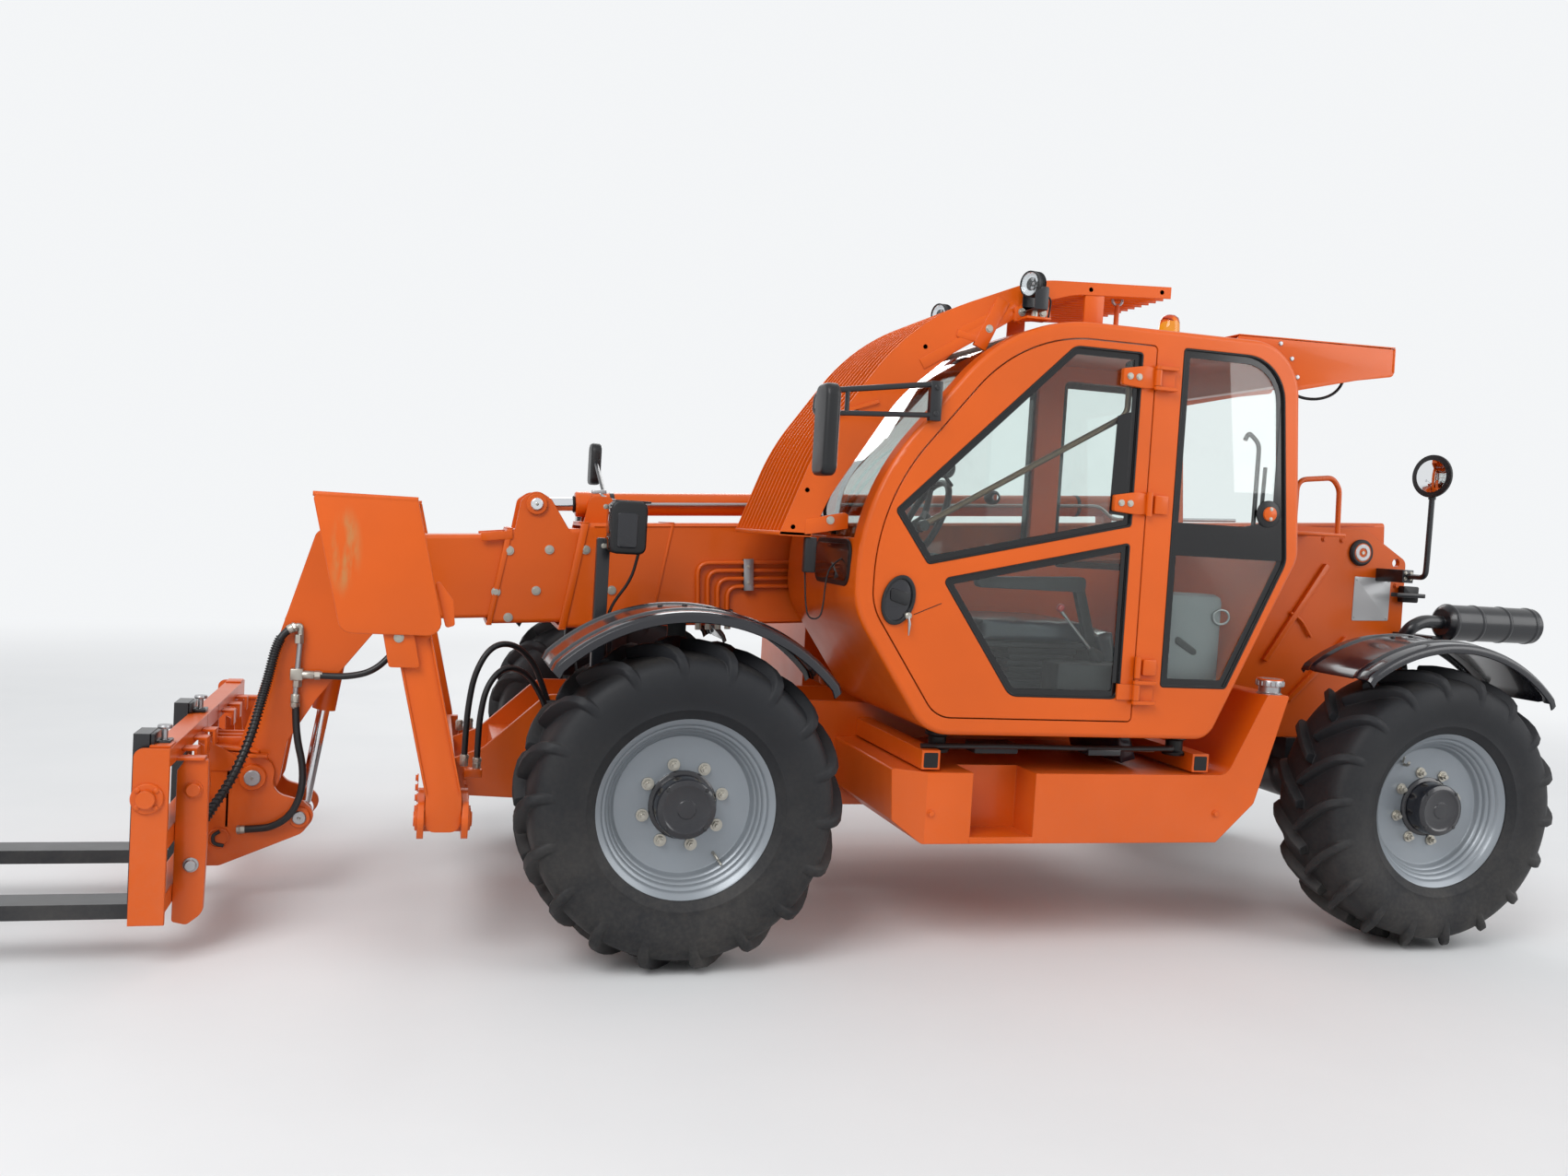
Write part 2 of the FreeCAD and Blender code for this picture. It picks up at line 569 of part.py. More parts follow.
# Side tanks: a low box with a step, and a raised rear end
TANK_LOOP = [
    (d.tank_front_x, d.tank_top_z, 10), (d.tank_front_x - 10, 517, 10),
    (d.tank_front_x - 105, d.tank_bottom_z, 10), (d.tank_rear_x + 90, d.tank_bottom_z, 10),
    (d.tank_rear_x - 70, 600, 30), (-2429, 1034, 10), (-2330, 1034, 20), (-2170, d.tank_top_z, 60),
]
tank = new_body("side_tanks")
for _name, side in SIDES:
    low = "Dims.rail_y + Dims.rail_wall" if side > 0 else "-Dims.tank_left_y"
    side_pad(tank, [TANK_LOOP], low, "Dims.tank_left_y - Dims.rail_y - Dims.rail_wall")
    step_low = "Dims.tank_left_y - 170" if side > 0 else "-Dims.tank_left_y"
    side_cut(tank, [box_loop(-1347, -1091, d.tank_bottom_z + 25, d.tank_top_z + 5)], step_low, "170")
    wall_y = side * d.tank_left_y
    corner_cut = [(d.tank_front_x + 20, wall_y + side), (d.tank_front_x + 20, wall_y - side * d.tank_corner),
                  (d.tank_front_x - 20 - d.tank_corner, wall_y + side)]
    extrude(tank, "Pocket", "XY_Plane", [corner_cut], f"{d.tank_bottom_z - 5}",
            f"{d.tank_top_z - d.tank_bottom_z + 10}")
FILLER_PLACE = (-2380, 985)
FILLER_STEPS = (
    # radius, bottom, height of the neck and of its cap
    (42, 1030, 36), (52, 1064, 30),
)
for radius, low, tall in FILLER_STEPS:
    floor_pad(tank, [("circle", *FILLER_PLACE, radius)], f"{low}", f"{tall}")


# Cab: a hollow body with its door and window openings cut
CAB_LOOP = [
    # x, z, corner radius, clockwise from the bottom front
    (-860, d.cab_bottom_z, 180), (d.cab_front_x, 1300, 260), (d.cab_front_x, 1720, 840),
    (-1120, d.cab_roof_z, 640), (-2305, d.cab_roof_z, 210), (d.cab_rear_x, 1580, 120),
    (-2030, d.cab_bottom_z, 90),
]
CAB_INNER = inset(CAB_LOOP, d.cab_wall)
DOOR_HOLE = [
    point for point in inset(CAB_LOOP, d.door_border)
]
door_top_z = DOOR_HOLE[3][1]
door_bottom_z = DOOR_HOLE[0][1]
DOOR_HOLE = DOOR_HOLE[:4] + [(d.door_rear_x, door_top_z, 20), (d.door_rear_x, door_bottom_z, 20)]
DOOR_LOOP = inset(DOOR_HOLE, d.door_gap)
HINGE_HEIGHTS = (1010, 2190)
HINGE_Y = d.cab_left_y + 17
HINGE_TALL = 60
HINGE_LUG = 14
HINGE_PIN = 7
HINGE_BARREL = 14
REAR_SIDE_WINDOW = [
    (-1800, 2345, 15), (-2240, 2345, 180), (-2315, 1560, 100), (-2085, 1060, 20), (-1800, 1060, 15),
]
SCREEN_Z = (1560, 2330)
CAB_EDGE = 20
cab = new_body("cab_shell")
cab_block = side_pad(cab, [CAB_LOOP], "Dims.cab_right_y", "Dims.cab_left_y - Dims.cab_right_y")
doc.recompute()
cab_edges = []
for index, edge in enumerate(cab_block.Shape.Edges, start=1):
    box = edge.BoundBox
    if box.YLength < 0.01 and abs(box.YMin - d.cab_left_y) < 0.01:
        cab_edges.append(f"Edge{index}")
rounding = cab.newObject("PartDesign::Fillet", "CabEdge")
rounding.Base = (cab_block, cab_edges)
rounding.Radius = CAB_EDGE
side_cut(cab, [CAB_INNER], "Dims.cab_right_y + Dims.cab_wall",
         "Dims.cab_left_y - Dims.cab_right_y - 2 * Dims.cab_wall")
side_cut(cab, [DOOR_HOLE], "Dims.cab_left_y - Dims.cab_wall - 1", "Dims.cab_wall + 2")
side_cut(cab, [REAR_SIDE_WINDOW], "Dims.cab_left_y - Dims.cab_wall - 1", "Dims.cab_wall + 2")
RIGHT_WINDOW = [
    (-1640, 2300, 30), (-1180, 2300, 200), (-760, 1800, 300), (-720, 1480, 60), (-1640, 1480, 30),
]
side_cut(cab, [RIGHT_WINDOW], "Dims.cab_right_y - 1", "Dims.cab_wall + 2")
RIGHT_REAR_WINDOW = [
    (-1760, 2300, 30), (-2200, 2300, 160), (-2290, 1600, 60), (-2270, 1480, 30), (-1760, 1480, 30),
]
side_cut(cab, [RIGHT_REAR_WINDOW], "Dims.cab_right_y - 1", "Dims.cab_wall + 2")
SCREEN_MARGIN = 95
SCREEN_CUT = [(d.cab_front_x + 60, SCREEN_Z[0]), (d.cab_front_x + 60, SCREEN_Z[1]),
              (-1180, SCREEN_Z[1]), (-1180, SCREEN_Z[1] - 260), (-760, SCREEN_Z[0])]
side_cut(cab, [SCREEN_CUT], f"Dims.cab_right_y + {SCREEN_MARGIN}",
         f"Dims.cab_left_y - Dims.cab_right_y - {2 * SCREEN_MARGIN}")
REAR_CUT = [(d.cab_rear_x - 40, 1660), (-2250, 1660), (-2200, 2250), (d.cab_rear_x - 40, 2250)]
side_cut(cab, [REAR_CUT], f"Dims.cab_right_y + {SCREEN_MARGIN}",
         f"Dims.cab_left_y - Dims.cab_right_y - {2 * SCREEN_MARGIN}")

# Door hinges: lugs and a pin on the cab, a barrel and a leaf on the door
for z in HINGE_HEIGHTS:
    for low in (z - HINGE_LUG - 1, z + HINGE_TALL + 1):
        nose_y = (HINGE_Y - HINGE_BARREL, HINGE_Y + HINGE_BARREL)
        lug = [(d.door_rear_x - 78, d.cab_left_y - 1), (d.door_rear_x - 22, d.cab_left_y - 1),
               (d.door_rear_x - HINGE_BARREL, nose_y[0]),
               (d.door_rear_x + HINGE_BARREL, nose_y[0], HINGE_BARREL - 0.1),
               (d.door_rear_x + HINGE_BARREL, nose_y[1], HINGE_BARREL - 0.1), (d.door_rear_x - 78, nose_y[1])]
        floor_pad(cab, [lug], f"{low}", f"{HINGE_LUG}")
    floor_pad(cab, [box_loop(d.door_rear_x - 78, d.door_rear_x - 20, d.cab_left_y - 1, d.cab_left_y + 8)],
              f"{z - HINGE_LUG - 1}", f"{HINGE_TALL + 2 * HINGE_LUG + 2}")
    floor_pad(cab, [("circle", d.door_rear_x, HINGE_Y, HINGE_PIN)], f"{z - HINGE_LUG - 6}",
              f"{HINGE_TALL + 2 * HINGE_LUG + 12}")

# Cab glass: panes set in the openings, and the curved windscreen
glass = new_body("cab_glass")
PANE_DEPTH = 12
side_pad(glass, [inset(REAR_SIDE_WINDOW, d.seat_gap)], f"Dims.cab_left_y - {PANE_DEPTH} - Dims.pane", "Dims.pane")
side_pad(glass, [inset(RIGHT_WINDOW, d.seat_gap)], f"Dims.cab_right_y + {PANE_DEPTH}", "Dims.pane")
side_pad(glass, [inset(RIGHT_REAR_WINDOW, d.seat_gap)], f"Dims.cab_right_y + {PANE_DEPTH}", "Dims.pane")
SCREEN_OUTER = inset(CAB_LOOP, PANE_DEPTH)
SCREEN_INNER = inset(CAB_LOOP, PANE_DEPTH + d.pane)

screen = doc.addObject("PartDesign::Body", "Windscreen")
side_pad(screen, [SCREEN_OUTER, SCREEN_INNER], f"Dims.cab_right_y + {SCREEN_MARGIN} + Dims.seat_gap",
         f"Dims.cab_left_y - Dims.cab_right_y - {2 * SCREEN_MARGIN} - 2 * Dims.seat_gap")
BEYOND = 400
side_cut(screen, [[(0, SCREEN_Z[0] + d.seat_gap), (-760, SCREEN_Z[0] + d.seat_gap),
                   (-1180, SCREEN_Z[1] - 260), (-1180, SCREEN_Z[1] - d.seat_gap),
                   (0, SCREEN_Z[1] - d.seat_gap), (0, d.cab_roof_z + BEYOND),
                   (d.cab_rear_x - BEYOND, d.cab_roof_z + BEYOND), (d.cab_rear_x - BEYOND, 0), (0, 0)]],
         "Dims.cab_right_y", "Dims.cab_left_y - Dims.cab_right_y")
panes_and_screen = glass.newObject("PartDesign::Boolean", "AddWindscreen")
panes_and_screen.Type = 0
panes_and_screen.addObject(screen)

# Door with its two windows
door = new_body("cab_door")
side_pad(door, [DOOR_LOOP], "Dims.cab_left_y - Dims.cab_wall", "Dims.cab_wall")
UPPER_WINDOW = [(-1632, 2312, 15), (-1350, 2312, 60), (-690, 1668, 20), (-828, 1478, 20), (-1632, 1662, 15)]
LOWER_WINDOW = [(-1632, 1602, 15), (-885, 1432, 20), (-1180, 1010, 60), (-1632, 1010, 40)]
for window in (UPPER_WINDOW, LOWER_WINDOW):
    side_cut(door, [window], "Dims.cab_left_y - Dims.cab_wall - 1", "Dims.cab_wall + 2")
for z in HINGE_HEIGHTS:
    hinge_hole = ("circle", d.door_rear_x, HINGE_Y, HINGE_PIN + d.running_fit)
    floor_pad(door, [("circle", d.door_rear_x, HINGE_Y, HINGE_BARREL), hinge_hole], f"{z}", f"{HINGE_TALL}")
    floor_pad(door, [box_loop(d.door_rear_x + 11, d.door_rear_x + 75, d.cab_left_y - 1, d.cab_left_y + 9)],
              f"{z}", f"{HINGE_TALL}")
door_glass = new_body("door_glass")
for window in (UPPER_WINDOW, LOWER_WINDOW):
    side_pad(door_glass, [inset(window, d.seat_gap)], f"Dims.cab_left_y - {PANE_DEPTH} - Dims.pane",
             "Dims.pane")

# Curved slatted guard in front of the windscreen
GUARD_NEAR_Y = 1000
GUARD_FAR_Y = 300
SLATS = 12
SLAT_WALL = 6
guard = new_body("windscreen_guard")
GUARD_LOOP = [
    (-300, 1555), (-430, 1900, 900), (-760, 2360, 800), (-1240, 2560, 500), (-1800, 2590),
    (-1800, 2545), (-1400, 2520, 300), (-1130, 2440, 500), (-720, 2080, 600), (-480, 1700, 600), (-420, 1555),
]
slat_pitch = (GUARD_NEAR_Y - GUARD_FAR_Y - SLAT_WALL) / (SLATS - 1)
for index in range(SLATS):
    side_pad(guard, [GUARD_LOOP], f"{GUARD_FAR_Y + index * slat_pitch}", f"{SLAT_WALL}")
GUARD_FOOT_X = (-1520, -1440)
GUARD_BAR_X = (GUARD_FOOT_X[1] - 20)
for x, z in ((-400, 1585), (GUARD_BAR_X, 2545)):
    side_pad(guard, [box_loop(x - 25, x + 25, z - 8, z + 8)], f"{GUARD_FAR_Y}", f"{GUARD_NEAR_Y - GUARD_FAR_Y}")
for y in (GUARD_FAR_Y, GUARD_NEAR_Y - SLAT_WALL):
    side_pad(guard, [box_loop(d.cab_front_x + d.seat_gap, -395, 1577, 1593)], f"{y}", f"{SLAT_WALL}")
    side_pad(guard, [box_loop(*GUARD_FOOT_X, d.cab_roof_z + d.seat_gap, 2545)], f"{y}", f"{SLAT_WALL}")


# Boom sections, each a rectangular tube that slides in the one outside it
def section_loops(width_half, top, bottom, wall):
    outer = box_loop(-width_half, width_half, bottom, top, 18)
    inner = box_loop(-width_half + wall, width_half - wall, bottom + wall, top - wall, 10)
    return [outer, inner]


boom_bottom = d.boom_top - d.boom_depth
slant = math.tan(math.radians(d.front_slant)) * d.boom_depth
PAD_SPACE = 12
outer_boom = boom_body("boom_outer")
OUTER_REAR = -210
outer_rear = OUTER_REAR


def trim_front(body, front, top, bottom, width_half):
    """Cut a section's front end to a slant that leads at the bottom."""
    lean = math.tan(math.radians(d.front_slant)) * (top - bottom)
    wedge = [(front + lean / 2, bottom - 5), (front - lean / 2, top + 5), (front + 300, top + 5),
             (front + 300, bottom - 5)]
    side_cut(body, [wedge], f"{-width_half - 1}", f"{2 * width_half + 2}")


cross_pad(outer_boom, section_loops(d.boom_half, d.boom_top, boom_bottom, d.boom_wall),
          f"{outer_rear}", f"Dims.outer_front + 60 - {outer_rear}")
trim_front(outer_boom, d.outer_front, d.boom_top, boom_bottom, d.boom_half)


def wear_pads(body, front, width_half, top, bottom, clearance):
    """Pads inside a section's front end that guide the next section."""
    thick = clearance - d.seat_gap
    for low in (-width_half + d.boom_wall, width_half - d.boom_wall - thick):
        side_pad(body, [box_loop(front - 420, front - 260, bottom + 60, top - 60)], f"{low}", f"{thick}")
    for low in (bottom + d.boom_wall, top - d.boom_wall - thick):
        side_pad(body, [box_loop(front - 420, front - 260, low, low + thick)], f"{-width_half + 60}",
                 f"{2 * width_half - 120}")


wear_pads(outer_boom, d.outer_front, d.boom_half, d.boom_top, boom_bottom, PAD_SPACE)
BOOM_HUB = 78
side_pad(outer_boom, [("circle", 0, 0, BOOM_HUB)], "-Dims.rail_y + 2", "2 * Dims.rail_y - 4")
side_cut(outer_boom, [("circle", 0, 0, d.boom_pin_radius + d.running_fit)],
         "-Dims.rail_y", "2 * Dims.rail_y")


def boom_point(x, z):
    """A point of the lowered boom given in the frame's own X and Z."""
    lean = math.radians(d.boom_droop)
    ahead = x - d.boom_pivot_x
    up = z - d.boom_pivot_z
    return (ahead * math.cos(lean) - up * math.sin(lean), ahead * math.sin(lean) + up * math.cos(lean))


lift_eye = boom_point(d.lift_eye_x, d.lift_eye_z)
EAR_PLATE = 20
EYE_HALF = 35
for _name, side in SIDES:
    ear = [(lift_eye[0] - 180, boom_bottom + 4), (lift_eye[0] - 55, lift_eye[1] - 50, 40),
           (lift_eye[0] + 55, lift_eye[1] - 50, 40), (lift_eye[0] + 180, boom_bottom + 4)]
    low = EYE_HALF + 3 if side > 0 else -EYE_HALF - 3 - EAR_PLATE
    side_pad(outer_boom, [ear], f"{low}", f"{EAR_PLATE}")

BARREL_EAR = (d.ear_u - 270, 52)
for side_of_ear in (BARREL_EAR[1], -BARREL_EAR[1] - 14):
    ear = [(BARREL_EAR[0] - 75, d.boom_top - 4), (BARREL_EAR[0] - 45, d.ear_w + 32, 25),
           (BARREL_EAR[0] + 45, d.ear_w + 32, 25), (BARREL_EAR[0] + 75, d.boom_top - 4)]
    side_pad(outer_boom, [ear], f"{side_of_ear}", "14")

mid_half = d.boom_half - d.boom_step
mid_top = d.boom_top - d.boom_step
mid_bottom = boom_bottom + d.boom_step
mid_boom = boom_body("boom_middle")
MID_REAR = 900
cross_pad(mid_boom, section_loops(mid_half, mid_top, mid_bottom, d.boom_wall),
          f"{MID_REAR}", f"Dims.mid_front + 60 - {MID_REAR}")
trim_front(mid_boom, d.mid_front, mid_top, mid_bottom, mid_half)
wear_pads(mid_boom, d.mid_front, mid_half, mid_top, mid_bottom, PAD_SPACE)
EXTEND_PIN = 24
for _name, side in SIDES:
    cheek = [(d.ear_u - 150, mid_top - 40), (d.ear_u - 60, d.ear_w + 20, 30), (d.ear_u, d.ear_w + 60, 50),
             (d.ear_u + 60, d.ear_w + 20, 30), (d.ear_u + 95, mid_top - 40)]
    low = mid_half - 14 if side > 0 else -mid_half
    side_pad(mid_boom, [cheek], f"{low}", "14")
side_pad(mid_boom, [("circle", d.ear_u, d.ear_w, EXTEND_PIN)], f"{-mid_half - 8}", f"{2 * mid_half + 16}")

inner_half = mid_half - d.boom_step
inner_top = mid_top - d.boom_step
inner_bottom = mid_bottom + d.boom_step
inner_boom = boom_body("boom_inner")
INNER_REAR = 1100
head_top = boom_point(1323, 1468)
head_front = boom_point(1435, 1085)
tilt_pivot = boom_point(d.tilt_pivot_x, d.tilt_pivot_z)
tilt_base = boom_point(d.tilt_base_x, d.tilt_base_z)
INNER_FRONT = boom_point(960, 1300)[0]
cross_pad(inner_boom, section_loops(inner_half, inner_top, inner_bottom, d.boom_wall),
          f"{INNER_REAR}", f"{INNER_FRONT - INNER_REAR}")
HEAD_LOOP = [
    (INNER_FRONT - 120, inner_top - d.boom_wall, 0), (head_top[0], head_top[1], 40),
    (head_front[0], head_front[1], 60), (tilt_pivot[0] + 85, tilt_pivot[1] + 30, 60),
    (tilt_pivot[0] + 60, tilt_pivot[1] - 85, 60), (tilt_pivot[0] - 85, tilt_pivot[1] - 60, 60),
    (tilt_pivot[0] - 125, tilt_pivot[1] + 130, 60), (*boom_point(1300, 800), 80),
    (*boom_point(1000, inner_bottom + 1440), 60), (INNER_FRONT - 120, inner_bottom + d.boom_wall, 0),
]
for _name, side in SIDES:
    low = d.head_half - d.head_wall if side > 0 else -d.head_half
    side_pad(inner_boom, [HEAD_LOOP], f"{low}", "Dims.head_wall")
NOSE_PLATE = bar_loop((head_top[0] - 14, head_top[1] - 30), (head_front[0] - 14, head_front[1] + 20), 8)
side_pad(inner_boom, [NOSE_PLATE], "-Dims.head_half + 5", "2 * Dims.head_half - 10")
side_pad(inner_boom, [("circle", *tilt_pivot, d.tilt_pin_radius)], "-Dims.head_half - 45",
         "2 * Dims.head_half + 90")
TILT_BASE_PIN = 22
side_pad(inner_boom, [("circle", *tilt_base, TILT_BASE_PIN)], "-Dims.head_half", "2 * Dims.head_half")

# Extension cylinder along the top of the boom
BARREL_RADIUS = 48
EXTEND_ROD = 28
extend_barrel = boom_body("extension_barrel")
EXTEND_START = 1180
cross_pad(extend_barrel, [("circle", 0, d.ear_w, BARREL_RADIUS), ("circle", 0, d.ear_w, EXTEND_ROD + d.running_fit)],
          f"{EXTEND_START}", f"Dims.ear_u - 170 - {EXTEND_START}")
for u in (EXTEND_START + 30, d.ear_u - 300):
    side_pad(extend_barrel, [box_loop(u - 20, u + 20, d.boom_top, d.ear_w - BARREL_RADIUS + 6)], "-40", "80")
extend_rod = boom_body("extension_rod")
cross_pad(extend_rod, [("circle", 0, d.ear_w, EXTEND_ROD)], f"{EXTEND_START + 120}",
          f"Dims.ear_u - {EXTEND_START + 120}")
side_pad(extend_rod, [("circle", d.ear_u, d.ear_w, 44)], "-32", "64")
side_cut(extend_rod, [("circle", d.ear_u, d.ear_w, EXTEND_PIN + d.running_fit)], "-33", "66")


# Steel pipes along the boom's left side: they bend down in turn at the front, held by clamps
PIPE_RADIUS = 9
PIPE_BEND = 40
PIPE_START = 620
PIPE_LOW = -300
PIPES = (
    # height of the row, place of its bend
    (-27, 3174), (-60, 3132), (-94, 3090), (-127, 3049),
)
pipes = boom_body("boom_pipes")
clamp_y = d.boom_half + d.seat_gap
pipe_y = clamp_y + 16


def bent_pipe(body, row, bend_at):
    """A round pipe that runs along the boom and then turns down over one bend."""
    start, middle, end = corner((PIPE_START, row), (bend_at, row), (bend_at, PIPE_LOW), PIPE_BEND)
    route = body.newObject("Sketcher::SketchObject", "Route")
    route.AttachmentSupport = [(f, "") for f in body.Origin.OriginFeatures if f.Role == "XZ_Plane"]
    route.MapMode = "FlatFace"
    route.addGeometry(Part.LineSegment(flat((PIPE_START, row)), flat(start)), False)
    route.addGeometry(Part.Arc(flat(start), flat(middle), flat(end)), False)
    route.addGeometry(Part.LineSegment(flat(end), flat((bend_at, PIPE_LOW))), False)
    route.setExpression("AttachmentOffset.Base.z", f"-1 * ({pipe_y})")
    pipe = body.newObject("PartDesign::AdditivePipe", "Pipe")
    pipe.Profile = sketch(body, "YZ_Plane", [("circle", pipe_y, row, PIPE_RADIUS)], f"{PIPE_START}")
    pipe.Spine = route


for pipe_row, bend_at in PIPES:
    bent_pipe(pipes, pipe_row, bend_at)
for u in (720, 1520, 2320, 2960):
    side_pad(pipes, [box_loop(u - 22, u + 22, PIPES[-1][0] - 16, PIPES[0][0] + 16, 4)], f"{clamp_y}", "30")
side_pad(pipes, [box_loop(PIPES[-1][1] - 22, PIPES[0][1] + 22, -262, -222, 4)], f"{clamp_y}", "30")

# Lift and tilt cylinders, barrel and rod apart
BORE_FLOOR = 20
ROD_END_GAP = 8


def ram(name, base, eye, rod_shown, travel_in, bore, rod_radius, base_pin, eye_radius, half_width, pin_half):
    """A hydraulic cylinder between two pins: a barrel on its base pin and a rod with its eye."""
    lean = math.degrees(math.atan2(eye[1] - base[1], eye[0] - base[0]))
    length = math.dist(base, eye)
    barrel_length = length - rod_shown
    pieces = []
    for label in (f"{name}_barrel", f"{name}_rod"):
        body = doc.addObject("PartDesign::Body", label)
        body.Placement = FreeCAD.Placement(
            FreeCAD.Vector(d.front_axle_x + base[0], 0, base[1]),
            FreeCAD.Rotation(FreeCAD.Vector(0, 1, 0), -lean))
        pieces.append(register(body, label))
    barrel, rod = pieces
    tube = [("circle", 0, 0, bore)]
    cross_pad(barrel, tube, f"{base_pin + 10}", f"{barrel_length - base_pin - 10}")
    side_pad(barrel, [("circle", 0, 0, base_pin * 1.7)], f"{-half_width}", f"{2 * half_width}")
    side_cut(barrel, [("circle", 0, 0, base_pin + d.running_fit)], f"{-half_width - 1}", f"{2 * half_width + 2}")
    bore_start = base_pin * 1.7 + BORE_FLOOR
    body_cut_axial(barrel, rod_radius + d.running_fit, bore_start, barrel_length)
    rod_start = bore_start + ROD_END_GAP + travel_in
    cross_pad(rod, [("circle", 0, 0, rod_radius)], f"{rod_start}", f"{length - rod_start}")
    side_pad(rod, [("circle", length, 0, eye_radius)], f"{-half_width}", f"{2 * half_width}")
    if pin_half > half_width:
        side_pad(rod, [("circle", length, 0, rod_radius)], f"{-pin_half}", f"{2 * pin_half}")


def body_cut_axial(body, radius, start, end):
    return extrude(body, "Pocket", "YZ_Plane", [("circle", 0, 0, radius)], f"{start}", f"{end - start + 1}")


ram("lift", (d.lift_base_x, d.lift_base_z), (d.lift_eye_x, d.lift_eye_z), d.lift_rod_shown,
    d.lift_travel_in, d.lift_bore, 38, LIFT_PIN_RADIUS, 55, EYE_HALF, EYE_HALF)
ram("tilt", (d.tilt_base_x, d.tilt_base_z), (d.tilt_eye_x, d.tilt_eye_z), d.tilt_rod_shown,
    d.tilt_travel_in, d.tilt_bore, 24, TILT_BASE_PIN, 38, 28, d.head_half)

# Fork carriage: coupler plates on the pivot, cross rails, end plates
carriage = new_body("fork_carriage")
px, pz = d.tilt_pivot_x, d.tilt_pivot_z
ex, ez = d.tilt_eye_x, d.tilt_eye_z
rear = d.carriage_rear_x
front = rear + d.carriage_depth
COUPLER_LOOP = [
    (px + 10, pz + 88, 80), (px - 80, pz + 60, 60), (px - 70, pz - 60, 60), (ex - 10, ez + 62, 50),
    (ex - 66, ez + 10, 50), (ex - 10, ez - 66, 60), (px + 110, 150, 40), (rear, 150), (rear, 600),
    (px + 60, 590, 40),
]
COUPLER_WALL = 22
COUPLER_GAP = 5
for _name, side in SIDES:
    low = d.head_half + COUPLER_GAP if side > 0 else -d.head_half - COUPLER_GAP - COUPLER_WALL
    side_pad(carriage, [COUPLER_LOOP], f"{low}", f"{COUPLER_WALL}")
    side_cut(carriage, [("circle", px, pz, d.tilt_pin_radius + d.running_fit)], f"{low - 1}", f"{COUPLER_WALL + 2}")
for z_low, z_high in ((carriage_z, carriage_z + 62) for carriage_z in (d.carriage_top_z - 62, 400, 190)):
    side_pad(carriage, [box_loop(rear, front, z_low, z_high)], "-Dims.carriage_half",
             "2 * Dims.carriage_half")
for _name, side in SIDES:
    low = d.carriage_half if side > 0 else -d.carriage_half - 16
    end_front = rear + d.carriage_end_depth
    end_plate = [(rear, d.carriage_bottom_z), (end_front, d.carriage_bottom_z),
                 (end_front, d.carriage_top_z, 30), (rear, d.carriage_top_z)]
    side_pad(carriage, [end_plate], f"{low}", "16")
    boss_low = side * (d.carriage_half + 15)
    side_pad(carriage, [("circle", rear + 66, 572, 30)], f"{min(boss_low, boss_low + side * 26)}", "26")
    strap_low = d.head_half + COUPLER_GAP if side > 0 else -d.head_half - COUPLER_GAP - COUPLER_WALL
    side_pad(carriage, [box_loop(rear - 1, rear + 30, 150, d.carriage_top_z)], f"{strap_low}", f"{COUPLER_WALL}")


forks = new_body("forks")


def fork(middle):
    """A fork: its shank against the carriage rails and its blade running forward."""
    shank = front + d.seat_gap
    heel = d.fork_blade_z - d.fork_thick
    loop = [(shank, heel, 0), (shank, d.fork_top_z), (shank + d.fork_thick, d.fork_top_z),
            (shank + d.fork_thick, d.fork_blade_z), (shank + d.fork_thick + d.fork_reach, d.fork_blade_z),
            (shank + d.fork_thick + d.fork_reach, d.fork_blade_z - 15),
            (shank + d.fork_thick + d.fork_reach * 0.55, heel)]
    side_pad(forks, [loop], f"Dims.{middle} - Dims.fork_width / 2", "Dims.fork_width")


fork("fork_left_y")
fork("fork_right_y")

# Stabilisers: a leg that stands stowed with its foot's sole facing out
for name, side in SIDES:
    leg = new_body(f"stabiliser_{name}")
    lean = math.tan(math.radians(d.leg_lean))
    ankle_z = d.leg_pivot_z + 640
    half = d.leg_width / 2
    upright_z = NOSE_Z[1]
    leg_loop = [(d.leg_pivot_x - half, d.leg_pivot_z - 40, 35), (d.leg_pivot_x + half, d.leg_pivot_z - 40, 35),
                (d.leg_pivot_x + half, upright_z), (d.leg_pivot_x + half + lean * 640, ankle_z),
                (d.leg_pivot_x - half + lean * 640, ankle_z), (d.leg_pivot_x - half, upright_z)]
    side_pad(leg, [leg_loop], f"{min(side * (d.leg_pivot_y - 35), side * (d.leg_pivot_y + 35))}", "70")
    extrude(leg, "Pocket", "YZ_Plane", [("circle", side * d.leg_pivot_y, d.leg_pivot_z, LEG_PIN + d.running_fit)],
            f"{d.leg_pivot_x - half - 1}", f"{d.leg_width + 2}")
    foot_low_x = 835 + 4
    foot_loop = [(foot_low_x, 1150), (foot_low_x + d.foot_width, 1150),
                 (foot_low_x + d.foot_width + lean * d.foot_length, 1150 + d.foot_length),
                 (foot_low_x + lean * d.foot_length, 1150 + d.foot_length)]
    plate_low = side * (d.leg_pivot_y + 60)
    side_pad(leg, [foot_loop], f"{min(plate_low, plate_low + side * 14)}", "14")
    ankle = [(d.leg_pivot_x + lean * 640 - 50, ankle_z - 120), (d.leg_pivot_x + lean * 640 + 50, ankle_z - 120),
             (d.leg_pivot_x + lean * 860 + 50, ankle_z + 120), (d.leg_pivot_x + lean * 860 - 50, ankle_z + 120)]
    side_pad(leg, [ankle], f"{min(side * (d.leg_pivot_y - 35), plate_low + side * 1)}", "96")

